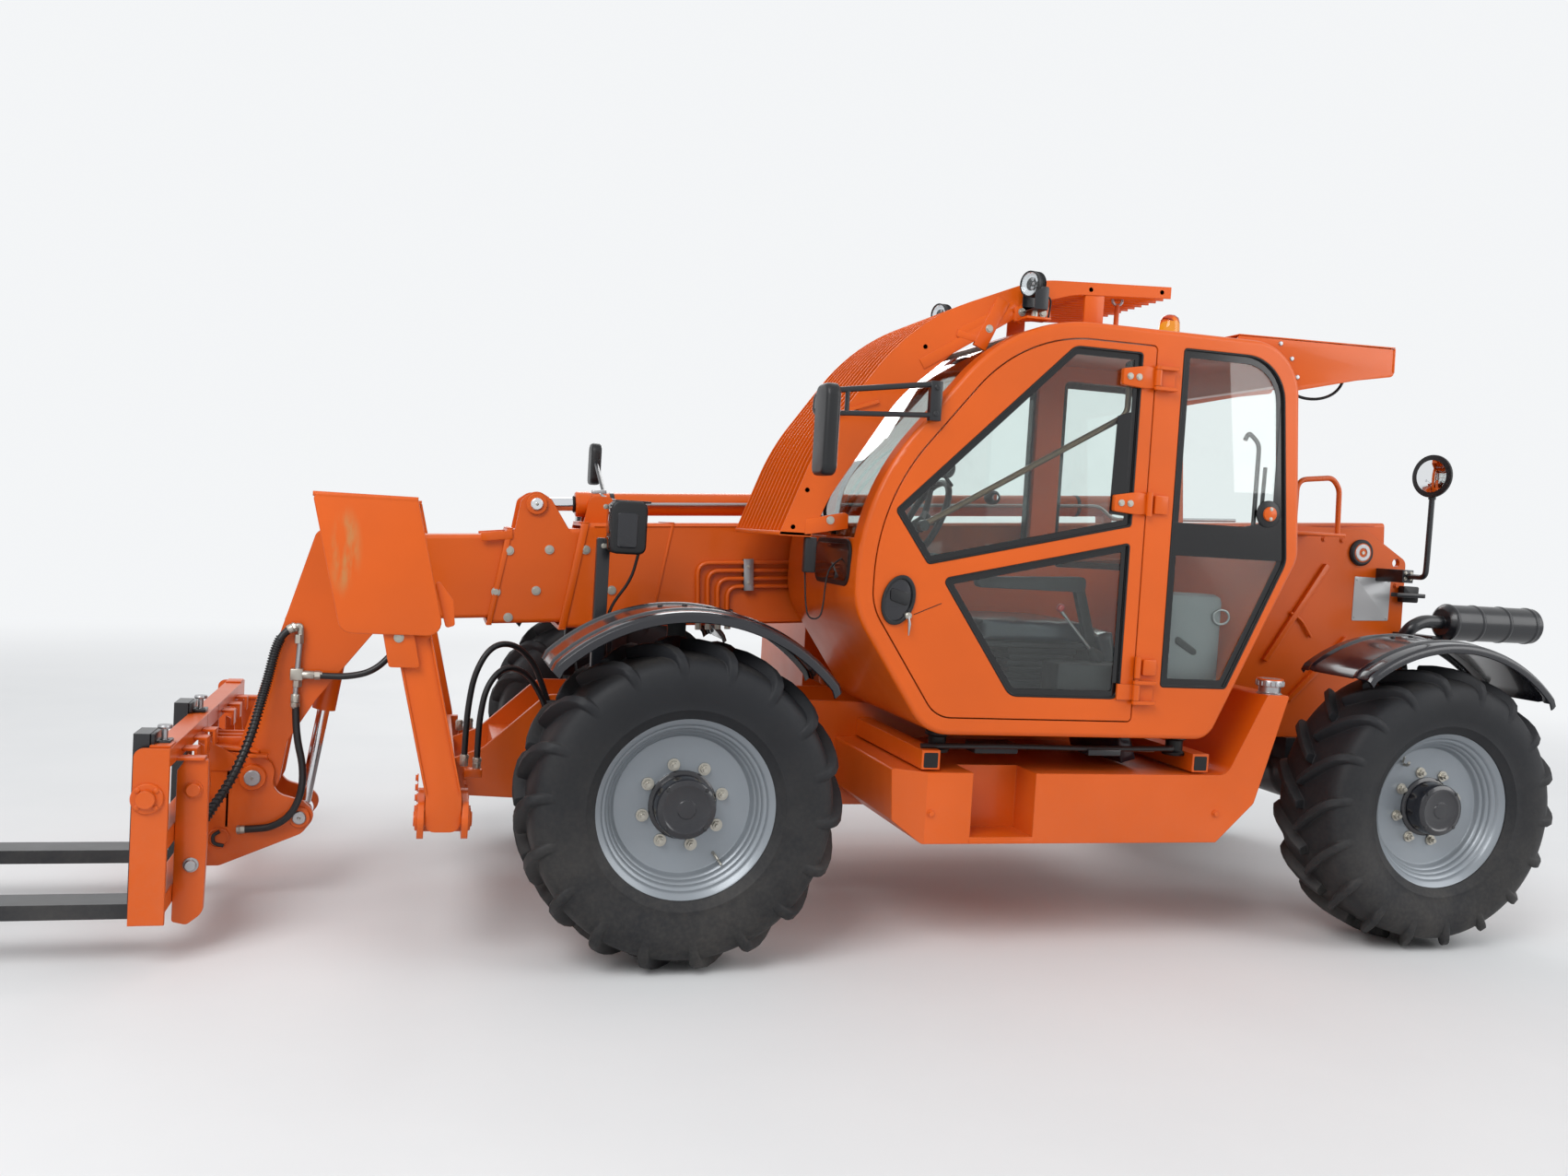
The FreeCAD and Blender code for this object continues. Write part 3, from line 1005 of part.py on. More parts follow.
# Engine under a hood on the right
HOOD_FRONT_X = -800
HOOD_REAR_X = -2140
HOOD_INNER_Y = -300
HOOD_OUTER_Y = -1085
HOOD_TOP_Z = 1420
HOOD_WALL = 12
engine = new_body("engine_block")
side_pad(engine, [box_loop(-1900, -1150, HOOD_LOW_Z, 1290)], "-900", "520")
hood = new_body("engine_hood")
HOOD_LOOP = [(HOOD_INNER_Y, HOOD_LOW_Z), (HOOD_OUTER_Y, HOOD_LOW_Z), (HOOD_OUTER_Y, HOOD_TOP_Z, 160),
             (HOOD_INNER_Y, HOOD_TOP_Z)]
cross_pad(hood, [HOOD_LOOP], f"{HOOD_REAR_X}", f"{HOOD_FRONT_X - HOOD_REAR_X}")
HOOD_HOLE = [(HOOD_INNER_Y + 5, HOOD_LOW_Z - 5), (HOOD_OUTER_Y + HOOD_WALL, HOOD_LOW_Z - 5),
             (HOOD_OUTER_Y + HOOD_WALL, HOOD_TOP_Z - HOOD_WALL, 148), (HOOD_INNER_Y + 5, HOOD_TOP_Z - HOOD_WALL)]
extrude(hood, "Pocket", "YZ_Plane", [HOOD_HOLE], f"{HOOD_REAR_X + HOOD_WALL}",
        f"{HOOD_FRONT_X - HOOD_REAR_X - 2 * HOOD_WALL}")
LOUVRES = [box_loop(-2020, -1560, z, z + 14) for z in range(900, 1160, 32)]
LOUVRES += [box_loop(-1440, -980, z, z + 14) for z in range(900, 1160, 32)]
side_cut(hood, LOUVRES, f"{HOOD_OUTER_Y - 1}", f"{HOOD_WALL + 2}")
deck = new_body("engine_deck")
floor_pad(deck, [box_loop(HOOD_REAR_X, HOOD_FRONT_X, HOOD_OUTER_Y, -d.rail_y - d.rail_wall)],
          f"{deck_low}", f"{DECK_WALL}")
side_pad(deck, [box_loop(HOOD_REAR_X, HOOD_FRONT_X, deck_low, HOOD_TOP_Z - 5)],
         f"{HOOD_INNER_Y + d.seat_gap}", f"{DECK_WALL}")
HOOD_HINGE_Y = HOOD_INNER_Y + 10
HOOD_HINGE_Z = HOOD_TOP_Z + 14
HOOD_BARREL = 12
HOOD_PIN = 6
HOOD_HINGE_LONG = 90
for x in (HOOD_REAR_X + 180, HOOD_FRONT_X - 180 - HOOD_HINGE_LONG):
    cross_pad(hood, [("circle", HOOD_HINGE_Y, HOOD_HINGE_Z, HOOD_BARREL),
                     ("circle", HOOD_HINGE_Y, HOOD_HINGE_Z, HOOD_PIN + d.running_fit)], f"{x}", f"{HOOD_HINGE_LONG}")
    cross_pad(hood, [box_loop(HOOD_INNER_Y - 50, HOOD_HINGE_Y - HOOD_PIN - 2, HOOD_TOP_Z - 1, HOOD_TOP_Z + 6)],
              f"{x}", f"{HOOD_HINGE_LONG}")
    cross_pad(deck, [("circle", HOOD_HINGE_Y, HOOD_HINGE_Z, HOOD_PIN)], f"{x - 16}", f"{HOOD_HINGE_LONG + 32}")
    for low in (x - 13, x + HOOD_HINGE_LONG + 1):
        lug = [(HOOD_INNER_Y + 0.5, HOOD_TOP_Z - 20), (HOOD_INNER_Y + 22, HOOD_TOP_Z - 20),
               (HOOD_INNER_Y + 22, HOOD_HINGE_Z + HOOD_BARREL, 10),
               (HOOD_INNER_Y + 0.5, HOOD_HINGE_Z + HOOD_BARREL, 8)]
        cross_pad(deck, [lug], f"{low}", "12")

# Exhaust: a lying muffler on a bent pipe
MUFFLER_X = (-4120, -3600)
MUFFLER_Y = 520
MUFFLER_Z = 1330
exhaust = new_body("exhaust")
cross_pad(exhaust, [("circle", MUFFLER_Y, MUFFLER_Z, 82)], f"{MUFFLER_X[0]}", f"{MUFFLER_X[1] - MUFFLER_X[0]}")
cross_pad(exhaust, [("circle", MUFFLER_Y, MUFFLER_Z, 30)], f"{MUFFLER_X[1] - 1}", "180")
side_pad(exhaust, [box_loop(-3640, -3560, 1240, 1262)], "Dims.rail_y + Dims.rail_wall + Dims.seat_gap", "260")

# Seat and controls seen through the glass
driver_seat = new_body("driver_seat")
SEAT_LOOP = [(-1480, 1180, 20), (-1000, 1200, 60), (-990, 1290, 40), (-1440, 1290, 60), (-1640, 1940, 50),
             (-1760, 1930, 50), (-1560, 1180, 60)]
side_pad(driver_seat, [[(x - 150, z) for x, z, _r in SEAT_LOOP]], "420", "480")
side_pad(driver_seat, [box_loop(-1650, -1250, d.cab_bottom_z + d.cab_wall + d.seat_gap, 1185)], "480", "360")
console = new_body("steering_console")
floor_z = d.cab_bottom_z + d.cab_wall + d.seat_gap
side_pad(console, [[(-965, floor_z), (-1085, floor_z), (-910, 1560), (-800, 1600)]], "520", "280")
COLUMN_TOP = (-975, 1640)
side_pad(console, [bar_loop((-860, 1560), COLUMN_TOP, 25)], "635", "50")
WHEEL_LOW = (-905, 1480)
WHEEL_HIGH = (-1045, 1790)
WHEEL_TILT = math.degrees(math.atan2(WHEEL_HIGH[1] - WHEEL_LOW[1], WHEEL_LOW[0] - WHEEL_HIGH[0]))
WHEEL_Y = 660
WHEEL_RADIUS = 190
wheel_middle = ((WHEEL_LOW[0] + WHEEL_HIGH[0]) / 2, (WHEEL_LOW[1] + WHEEL_HIGH[1]) / 2)
ring = sketch(console, "XY_Plane", [("circle", 0, 0, WHEEL_RADIUS), ("circle", 0, 0, WHEEL_RADIUS - 28)], "0")
ring.setExpression("AttachmentOffset.Base.z", None)
ring.AttachmentOffset = FreeCAD.Placement(
    FreeCAD.Vector(wheel_middle[0], WHEEL_Y, wheel_middle[1]), FreeCAD.Rotation(FreeCAD.Vector(0, 1, 0), WHEEL_TILT))
wheel = console.newObject("PartDesign::Pad", "SteeringWheel")
wheel.Profile = ring
wheel.Midplane = True
wheel.Length = 28
side_pad(console, [bar_loop(WHEEL_LOW, WHEEL_HIGH, 9)], f"{WHEEL_Y - 18}", "36")

# Rear visor, lamps, mirrors, posts
visor = new_body("roof_visor")
VISOR_LOOP = [(-2060, 2405.3), (-2305.3, 2405.3, 210), (-2318.7, 2240), (-2345, 2236, 15), (-2620, 2300),
              (-2795, 2330, 20), (-2790, 2440, 20), (-2075, 2428)]
side_pad(visor, [VISOR_LOOP], "Dims.cab_left_y - 70", "6")
side_pad(visor, [VISOR_LOOP], "Dims.cab_right_y + 60", "6")
side_pad(visor, [bar_loop((-2070, 2424), (-2790, 2438), 4)], "Dims.cab_right_y + 60",
         "Dims.cab_left_y - Dims.cab_right_y - 130")

lights = new_body("lamps")
def roof_height(x):
    """Height of the cab roof where its front end curves down."""
    point = CAB_LOOP[3]
    start, middle, end = corner(CAB_LOOP[2], point, CAB_LOOP[4], point[2])
    circle = Part.Arc(flat(start), flat(middle), flat(end)).toShape().Curve
    centre = circle.Center
    return centre.y + math.sqrt(circle.Radius ** 2 - (x - centre.x) ** 2)


for y, x in ((1062, -1220), (250, -1190)):
    cross_pad(lights, [("circle", y, 2525, 48)], f"{x}", "60")
    foot_z = roof_height(x + 3) + d.seat_gap
    floor_pad(lights, [("circle", x + 15, y, 12)], f"{foot_z}", f"{2490 - foot_z}")

BEACON_PLACE = (-1862, 900)
floor_pad(lights, [("circle", *BEACON_PLACE, 46)], f"{d.cab_roof_z + d.seat_gap}", "22")
floor_pad(lights, [("circle", *BEACON_PLACE, 38)], f"{d.cab_roof_z + 21}", "82")

for name, side in SIDES:
    y = side * 500
    side_pad(lights, [box_loop(235, 285, 800, 1500, 8)], f"{y - 20}", "40")
    side_pad(lights, [box_loop(90, 250, 1440, 1650, 20)], f"{side * 560 - 65}", "130")
    arm_low = d.rail_y + d.rail_wall + d.seat_gap
    side_pad(lights, [box_loop(235, 285, 800, 850)], f"{min(side * arm_low, side * 520)}", f"{520 - arm_low}")

mirrors = new_body("mirrors")
MIRROR_Y = 1245
side_pad(mirrors, [box_loop(-405, -345, 1760, 2080, 25)], f"{MIRROR_Y - 75}", "150")
ARM_Y = 1150
for arm_front_z, arm_rear_z in ((2060, 2120), (1985, 2010)):
    side_pad(mirrors, [bar_loop((-375, arm_front_z), (-800, arm_rear_z), 10)], f"{ARM_Y - 20}", "20")
    side_pad(mirrors, [box_loop(-385, -365, arm_front_z - 10, arm_front_z + 10)], f"{ARM_Y - 20}", "60")
side_pad(mirrors, [bar_loop((-480, 1992), (-480, 2075), 9)], f"{ARM_Y - 19}", "18")
side_pad(mirrors, [box_loop(-830, -790, 1990, 2130)], "Dims.cab_left_y + Dims.seat_gap",
         f"{ARM_Y} - Dims.cab_left_y - Dims.seat_gap")
side_pad(mirrors, [box_loop(70, 130, 1740, 1960, 25)], f"{-MIRROR_Y - 75}", "150")
cross_pad(mirrors, [bar_loop((-629.6, 1600), (-1190, 1860), 10)], "92", "20")
side_pad(mirrors, [box_loop(-3500, -3440, 1500, 1560)], "Dims.rail_y + Dims.rail_wall + Dims.seat_gap", "300")
side_pad(mirrors, [bar_loop((-3470, 1540), (-3470, 1900), 10)], "540", "20")
cross_pad(mirrors, [("circle", 550, 1990, 95)], "-3485", "40")

doc.recompute()
os.makedirs("parts", exist_ok=True)
faults = []
for item in doc.Objects:
    if any(word in item.State for word in ("Invalid", "Error")):
        faults.append(f"{item.Label} ({item.Name}): {item.State}")
for part in PARTS:
    if part.Shape.isNull() or not part.Shape.isValid():
        faults.append(f"{part.Label}: no valid shape")
if faults:
    raise SystemExit("\n".join(faults))
for part in PARTS:
    part.Shape.exportStep(f"parts/{part.Label}.step")
print(len(PARTS), "sub-parts")
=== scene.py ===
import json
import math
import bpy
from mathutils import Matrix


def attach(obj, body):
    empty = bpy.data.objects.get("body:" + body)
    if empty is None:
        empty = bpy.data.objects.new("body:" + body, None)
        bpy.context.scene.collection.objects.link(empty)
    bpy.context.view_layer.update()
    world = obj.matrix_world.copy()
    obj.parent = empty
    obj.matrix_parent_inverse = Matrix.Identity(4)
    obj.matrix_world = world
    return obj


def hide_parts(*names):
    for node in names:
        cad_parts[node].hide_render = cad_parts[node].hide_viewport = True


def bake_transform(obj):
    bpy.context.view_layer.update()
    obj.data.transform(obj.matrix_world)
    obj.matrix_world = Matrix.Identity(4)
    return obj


bl_info = {
    "name": "Telescopic handler dressing",
    "version": (1, 0, 0),
    "blender": (4, 5, 0),
    "location": "3D View > Sidebar > Handler",
    "description": "Finishes and fittings for a telescopic handler on its packed frame",
    "category": "Object",
}

import bmesh
import bpy
from bpy.props import FloatProperty, FloatVectorProperty, IntProperty, PointerProperty
from mathutils import Matrix, Vector

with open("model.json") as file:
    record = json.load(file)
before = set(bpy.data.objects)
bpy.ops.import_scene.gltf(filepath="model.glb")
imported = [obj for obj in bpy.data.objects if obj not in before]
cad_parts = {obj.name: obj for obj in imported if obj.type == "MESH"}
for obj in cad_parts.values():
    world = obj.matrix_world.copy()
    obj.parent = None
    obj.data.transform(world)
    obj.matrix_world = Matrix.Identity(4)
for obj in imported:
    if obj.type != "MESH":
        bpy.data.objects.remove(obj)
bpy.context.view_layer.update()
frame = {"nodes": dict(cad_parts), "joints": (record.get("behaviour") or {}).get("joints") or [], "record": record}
NODES = frame["nodes"]
JOINTS = {joint["name"]: joint for joint in frame["joints"]}
CORNERS = [(f"{end}_{name}", side) for end in ("front", "rear") for name, side in (("left", 1), ("right", -1))]
AXLE_X = JOINTS["steer_front_left"]["pos_m"][0]
REAR_AXLE = JOINTS["steer_rear_left"]["pos_m"][0] - AXLE_X
AXLE_Z = JOINTS["wheel_spin_front_left"]["pos_m"][2]
BOOM_PIVOT = Vector(JOINTS["boom_lift"]["pos_m"])
BOOM_WAY = Vector(JOINTS["boom_extend"]["axis"]).normalized()
BOOM_UP = Vector((-BOOM_WAY.z, 0, BOOM_WAY.x))


def at(x, y, z):
    """A point given from the front axle, the centre line and the ground."""
    return Vector((AXLE_X + x, y, z))


# Sizes and colours that a user would change
class HandlerSizes(bpy.types.PropertyGroup):
    lug_count: IntProperty(name="Lugs", description="Lugs in each row of a tyre", default=18, min=6)
    nut_circle: FloatProperty(name="Nut circle", description="Radius of the wheel nuts", default=0.146, unit="LENGTH")


class HandlerColours(bpy.types.PropertyGroup):
    paint: FloatVectorProperty(name="Paint", description="Body paint", subtype="COLOR",
                               default=(0.66, 0.100, 0.0025), min=0, max=1)
    rim: FloatVectorProperty(name="Rims", description="Rim paint", subtype="COLOR",
                             default=(0.235, 0.262, 0.290), min=0, max=1)
    dust: FloatVectorProperty(name="Dust", description="Settled dust", subtype="COLOR",
                              default=(0.34, 0.30, 0.25), min=0, max=1)


# Shader node groups that several materials use
def group_tree(name, inputs, outputs):
    """An empty shader group with named sockets, and its input and output nodes."""
    tree = bpy.data.node_groups.new(name, "ShaderNodeTree")
    for label, kind, value in inputs:
        socket = tree.interface.new_socket(label, in_out="INPUT", socket_type=kind)
        socket.default_value = value
    for label, kind in outputs:
        tree.interface.new_socket(label, in_out="OUTPUT", socket_type=kind)
    return tree, tree.nodes.new("NodeGroupInput"), tree.nodes.new("NodeGroupOutput")


def node(tree, kind, links=(), **values):
    """A node with its properties and its named inputs set."""
    made = tree.nodes.new(kind)
    for key, value in values.items():
        if hasattr(made, key):
            setattr(made, key, value)
        else:
            made.inputs[key.replace("_", " ").title()].default_value = value
    for target, source in links:
        tree.links.new(source, made.inputs[target])
    return made


def object_point(tree):
    return tree.nodes.new("ShaderNodeTexCoord").outputs["Object"]


def ramp(tree, source, low, high):
    """A smooth step of a value from 0 at low to 1 at high."""
    made = node(tree, "ShaderNodeMapRange", [("Value", source)], interpolation_type="SMOOTHSTEP", clamp=True)
    made.inputs["From Min"].default_value = low
    made.inputs["From Max"].default_value = high
    return made.outputs["Result"]


def times(tree, first, second):
    made = node(tree, "ShaderNodeMath", operation="MULTIPLY")
    for index, value in enumerate((first, second)):
        if isinstance(value, (int, float)):
            made.inputs[index].default_value = value
        else:
            tree.links.new(value, made.inputs[index])
    return made.outputs[0]


def noise(tree, point, scale, detail=4.0, roughness=0.55):
    made = node(tree, "ShaderNodeTexNoise", [("Vector", point)])
    made.inputs["Scale"].default_value = scale
    made.inputs["Detail"].default_value = detail
    made.inputs["Roughness"].default_value = roughness
    return made.outputs["Fac"]


def blend_colour(tree, factor, first, second):
    """Mixes two colours, each a socket or a plain colour."""
    made = node(tree, "ShaderNodeMix", data_type="RGBA")
    tree.links.new(factor, made.inputs["Factor"])
    for label, value in ((6, first), (7, second)):
        if hasattr(value, "links"):
            tree.links.new(value, made.inputs[label])
        else:
            made.inputs[label].default_value = (*value[:3], 1)
    return made.outputs[2]


def make_settled_dust():
    """Mask of dust: thick near the ground and on faces that look up, broken by noise."""
    tree, entry, exit_node = group_tree(
        "SettledDust",
        [("Amount", "NodeSocketFloat", 0.5), ("Height", "NodeSocketFloat", 0.9)],
        [("Mask", "NodeSocketFloat")])
    point = object_point(tree)
    place = node(tree, "ShaderNodeSeparateXYZ", [("Vector", point)])
    low = node(tree, "ShaderNodeMapRange", [("Value", place.outputs["Z"]), ("From Min", entry.outputs["Height"])])
    low.inputs["From Max"].default_value = 0.0
    facing = node(tree, "ShaderNodeSeparateXYZ", [("Vector", tree.nodes.new("ShaderNodeNewGeometry").outputs["Normal"])])
    top = ramp(tree, facing.outputs["Z"], 0.55, 1.0)
    where = node(tree, "ShaderNodeMath", operation="MAXIMUM")
    tree.links.new(times(tree, low.outputs["Result"], 0.8), where.inputs[0])
    tree.links.new(times(tree, top, 0.55), where.inputs[1])
    patches = ramp(tree, noise(tree, point, 3.5, 8.0, 0.62), 0.32, 0.74)
    speck = ramp(tree, noise(tree, point, 60.0, 3.0), 0.30, 0.80)
    broken = node(tree, "ShaderNodeMath", operation="ADD")
    tree.links.new(times(tree, patches, 0.75), broken.inputs[0])
    tree.links.new(times(tree, speck, 0.35), broken.inputs[1])
    mask = times(tree, times(tree, where.outputs[0], broken.outputs[0]), entry.outputs["Amount"])
    limit = node(tree, "ShaderNodeClamp", [("Value", mask)])
    tree.links.new(limit.outputs[0], exit_node.inputs["Mask"])
    return tree


def make_edge_wear():
    """Mask of worn edges, from how far a softened normal leaves the true one."""
    tree, entry, exit_node = group_tree(
        "EdgeWear",
        [("Width", "NodeSocketFloat", 0.004), ("Amount", "NodeSocketFloat", 0.5)],
        [("Mask", "NodeSocketFloat"), ("Normal", "NodeSocketVector")])
    soft = node(tree, "ShaderNodeBevel", [("Radius", entry.outputs["Width"])], samples=4)
    true = tree.nodes.new("ShaderNodeNewGeometry").outputs["Normal"]
    match = node(tree, "ShaderNodeVectorMath", [(0, soft.outputs[0]), (1, true)], operation="DOT_PRODUCT")
    turned = ramp(tree, match.outputs["Value"], 0.995, 0.80)
    chips = ramp(tree, noise(tree, object_point(tree), 38.0, 6.0, 0.7), 0.48, 0.66)
    mask = times(tree, times(tree, turned, chips), entry.outputs["Amount"])
    tree.links.new(mask, exit_node.inputs["Mask"])
    tree.links.new(soft.outputs[0], exit_node.inputs["Normal"])
    return tree


def make_fine_grain():
    """Height of a cast or moulded surface's grain, with a slow unevenness under it."""
    tree, entry, exit_node = group_tree(
        "FineGrain",
        [("Scale", "NodeSocketFloat", 300.0), ("Waves", "NodeSocketFloat", 6.0)],
        [("Height", "NodeSocketFloat")])
    point = object_point(tree)
    grain = node(tree, "ShaderNodeTexNoise", [("Vector", point), ("Scale", entry.outputs["Scale"])])
    waves = node(tree, "ShaderNodeTexNoise", [("Vector", point), ("Scale", entry.outputs["Waves"])])
    total = node(tree, "ShaderNodeMath", operation="ADD")
    tree.links.new(times(tree, grain.outputs["Fac"], 0.3), total.inputs[0])
    tree.links.new(waves.outputs["Fac"], total.inputs[1])
    tree.links.new(total.outputs[0], exit_node.inputs["Height"])
    return tree


GROUPS = {}
FINISHES = {}


def use_group(tree, name, **values):
    made = node(tree, "ShaderNodeGroup", node_tree=GROUPS[name])
    for key, value in values.items():
        made.inputs[key.title()].default_value = value
    return made


def finish(name, colour, roughness, metallic=0.0, dust=0.0, dust_height=0.9, wear=0.0, wear_colour=(0.16, 0.15, 0.14),
           edge=0.003, grain=300.0, bump=0.05, coat=0.0, shade=0.06, gloss=0.5):
    """A hard surface: base colour varied slowly, dust, chipped edges, softened edges and fine grain."""
    material = bpy.data.materials.new(name)
    material.use_nodes = True
    tree = material.node_tree
    shader = tree.nodes["Principled BSDF"]
    point = object_point(tree)
    darker = tuple(channel * (1 - shade * 2.2) for channel in colour)
    base = blend_colour(tree, ramp(tree, noise(tree, point, 1.7, 3.0), 0.25, 0.75), darker, colour)
    edges = use_group(tree, "EdgeWear", width=edge, amount=wear)
    if wear > 0:
        base = blend_colour(tree, edges.outputs["Mask"], base, wear_colour)
    rough = node(tree, "ShaderNodeMapRange", [("Value", noise(tree, point, 9.0, 5.0))])
    rough.inputs["To Min"].default_value = roughness * 0.82
    rough.inputs["To Max"].default_value = min(1.0, roughness * 1.22)
    rough_out = rough.outputs["Result"]
    if dust > 0:
        film = use_group(tree, "SettledDust", amount=dust, height=dust_height)
        colours = bpy.context.scene.handler_colours
        base = blend_colour(tree, film.outputs["Mask"], base, tuple(colours.dust))
        rougher = node(tree, "ShaderNodeMix", [("Factor", film.outputs["Mask"]), (2, rough_out)])
        rougher.inputs[3].default_value = 0.85
        rough_out = rougher.outputs[0]
    tree.links.new(base, shader.inputs["Base Color"])
    tree.links.new(rough_out, shader.inputs["Roughness"])
    shader.inputs["Metallic"].default_value = metallic
    shader.inputs["Coat Weight"].default_value = coat
    shader.inputs["Specular IOR Level"].default_value = gloss
    shader.inputs["Coat Roughness"].default_value = 0.08
    texture = use_group(tree, "FineGrain", scale=grain)
    raised = node(tree, "ShaderNodeBump", [("Height", texture.outputs["Height"]),
                                           ("Normal", edges.outputs["Normal"])])
    raised.inputs["Strength"].default_value = bump
    raised.inputs["Distance"].default_value = 0.004
    tree.links.new(raised.outputs["Normal"], shader.inputs["Normal"])
    FINISHES[name] = material
    return material


def pane(name, colour, roughness=0.01):
    """Clear or tinted glass with faint smears."""
    material = bpy.data.materials.new(name)
    material.use_nodes = True
    tree = material.node_tree
    shader = tree.nodes["Principled BSDF"]
    point = object_point(tree)
    smear = ramp(tree, noise(tree, point, 4.0, 6.0, 0.7), 0.45, 0.9)
    rough = node(tree, "ShaderNodeMapRange", [("Value", smear)])
    rough.inputs["To Min"].default_value = roughness
    rough.inputs["To Max"].default_value = roughness + 0.03
    tint = blend_colour(tree, smear, colour, tuple(channel * 0.93 for channel in colour))
    tree.links.new(tint, shader.inputs["Base Color"])
    tree.links.new(rough.outputs["Result"], shader.inputs["Roughness"])
    shader.inputs["Transmission Weight"].default_value = 1.0
    shader.inputs["IOR"].default_value = 1.45
    FINISHES[name] = material
    return material


def add_stain(name, centre, reach, colour):
    """A pale streaked smudge on one place of a finish."""
    tree = FINISHES[name].node_tree
    shader = tree.nodes["Principled BSDF"]
    base = shader.inputs["Base Color"].links[0].from_socket
    point = object_point(tree)
    away = node(tree, "ShaderNodeVectorMath", [(0, point)], operation="SUBTRACT")
    away.inputs[1].default_value = centre
    scaled = node(tree, "ShaderNodeVectorMath", [(0, away.outputs[0])], operation="DIVIDE")
    scaled.inputs[1].default_value = reach
    far = node(tree, "ShaderNodeVectorMath", [(0, scaled.outputs[0])], operation="LENGTH")
    streak = node(tree, "ShaderNodeVectorMath", [(0, point)], operation="MULTIPLY")
    streak.inputs[1].default_value = (1.0, 0.3, 0.22)
    mask = times(tree, ramp(tree, far.outputs["Value"], 1.0, 0.35), ramp(tree, noise(tree, streak.outputs[0], 26.0, 4.0), 0.40, 0.66))
    tree.links.new(blend_colour(tree, times(tree, mask, 0.85), base, colour), shader.inputs["Base Color"])


def make_finishes():
    """Every material of the machine."""
    colours = bpy.context.scene.handler_colours
    GROUPS["SettledDust"] = make_settled_dust()
    GROUPS["EdgeWear"] = make_edge_wear()
    GROUPS["FineGrain"] = make_fine_grain()
    GROUPS["FastenerRows"] = make_fastener_rows()
    GROUPS["RepeatAboutAxle"] = make_repeat_about_axle()
    GROUPS["RepeatInRow"] = make_repeat_in_row()
    paint = tuple(colours.paint)
    finish("orange_paint", paint, 0.34, dust=0.14, wear=0.35, wear_colour=(0.30, 0.055, 0.012), edge=0.006, coat=0.12, bump=0.05, gloss=0.32)
    finish("orange_plain", paint, 0.34, dust=0.10, edge=0.002, coat=0.12, gloss=0.32)
    finish("faded_orange", (0.58, 0.105, 0.018), 0.42, dust=0.25, wear=0.4, edge=0.006, coat=0.1, gloss=0.3)
    finish("black_paint", (0.008, 0.009, 0.012), 0.32, dust=0.12, wear=0.30, wear_colour=(0.10, 0.10, 0.105), coat=0.15, gloss=0.45)
    finish("grey_paint", (0.25, 0.26, 0.27), 0.45, dust=0.4)
    finish("silver_rim", tuple(colours.rim), 0.36, metallic=0.35, dust=0.12, dust_height=1.3, edge=0.003, coat=0.2)
    finish("bare_steel", (0.42, 0.42, 0.43), 0.34, metallic=0.9, dust=0.2)
    finish("zinc_bolt", (0.45, 0.43, 0.38), 0.36, metallic=0.85, dust=0.15, edge=0.0015)
    finish("rod_chrome", (0.72, 0.73, 0.75), 0.12, metallic=1.0, shade=0.02)
    finish("cast", (0.014, 0.015, 0.018), 0.50, metallic=0.1, dust=0.14, bump=0.22, grain=140.0, gloss=0.4)
    # the faint blue in the tyre's near-black base colour is a painted sky reflection
    finish("tyre_rubber", (0.0085, 0.0095, 0.0125), 0.60, dust=0.16, dust_height=0.95, edge=0.006, bump=0.22, grain=120.0,
           shade=0.15, gloss=0.35)
    finish("black_plastic", (0.008, 0.0085, 0.010), 0.42, dust=0.08, bump=0.15, grain=260.0, gloss=0.4)
    finish("guard_plastic", (0.005, 0.0055, 0.010), 0.20, dust=0.06, edge=0.004, coat=0.45, dust_height=1.5, gloss=0.45)
    finish("seat_trim", (0.022, 0.023, 0.026), 0.55, bump=0.35, grain=180.0, dust=0.1)
    finish("rubber_seal", (0.005, 0.005, 0.006), 0.5, bump=0.1, gloss=0.35)
    finish("pane_border", (0.004, 0.004, 0.005), 0.14, coat=0.2, bump=0.01, gloss=0.4)
    finish("hose_rubber", (0.007, 0.0075, 0.009), 0.38, dust=0.06, bump=0.2, grain=500.0, gloss=0.45)
    finish("mirror_face", (0.80, 0.81, 0.82), 0.03, metallic=1.0, shade=0.01, bump=0.004)
    finish("bronze_bar", (0.16, 0.105, 0.060), 0.38, metallic=0.6, dust=0.1)
    finish("blank_plate", (0.50, 0.51, 0.52), 0.40, metallic=0.3, dust=0.15)
    finish("seat_cover", (0.020, 0.030, 0.048), 0.32, bump=0.35, grain=90.0, coat=0.5, shade=0.2)
    finish("red_knob", (0.55, 0.020, 0.012), 0.30, coat=0.4)
    finish("stained_orange", paint, 0.36, dust=0.14, wear=0.35, wear_colour=(0.30, 0.055, 0.012), edge=0.006, coat=0.1,
           gloss=0.32)
    add_stain("stained_orange", at(1.165, 1.03, 1.415), (0.060, 0.5, 0.165), (0.40, 0.22, 0.075))
    pane("clear_glass", (0.86, 0.93, 0.91))
    pane("lamp_lens", (0.93, 0.95, 0.96), 0.03)
    pane("amber_lens", (0.95, 0.33, 0.02), 0.06)


NODE_FINISH = {"side_tanks": "orange_paint", "roof_visor": "orange_paint", "forks": "black_paint"}


def finish_frame_nodes():
    """Gives each carried-over node the finish of its slot in the record."""
    slots = {part["node"]: part["material_slot"] for part in frame["record"]["subparts"]}
    for name, thing in NODES.items():
        thing.data.materials.clear()
        thing.data.materials.append(FINISHES[NODE_FINISH.get(name, slots[name])])


# Mesh building: the ground frame has X from the front axle, the boom frame lies along the lowered boom
GROUND = Matrix.Translation((AXLE_X, 0, 0))
BOOM_FRAME = Matrix.Translation(BOOM_PIVOT) @ Matrix((BOOM_WAY, Vector((0, 1, 0)), BOOM_UP)).transposed().to_4x4()
AXES = {"x": (1, 2, 0), "y": (0, 2, 1), "z": (0, 1, 2)}


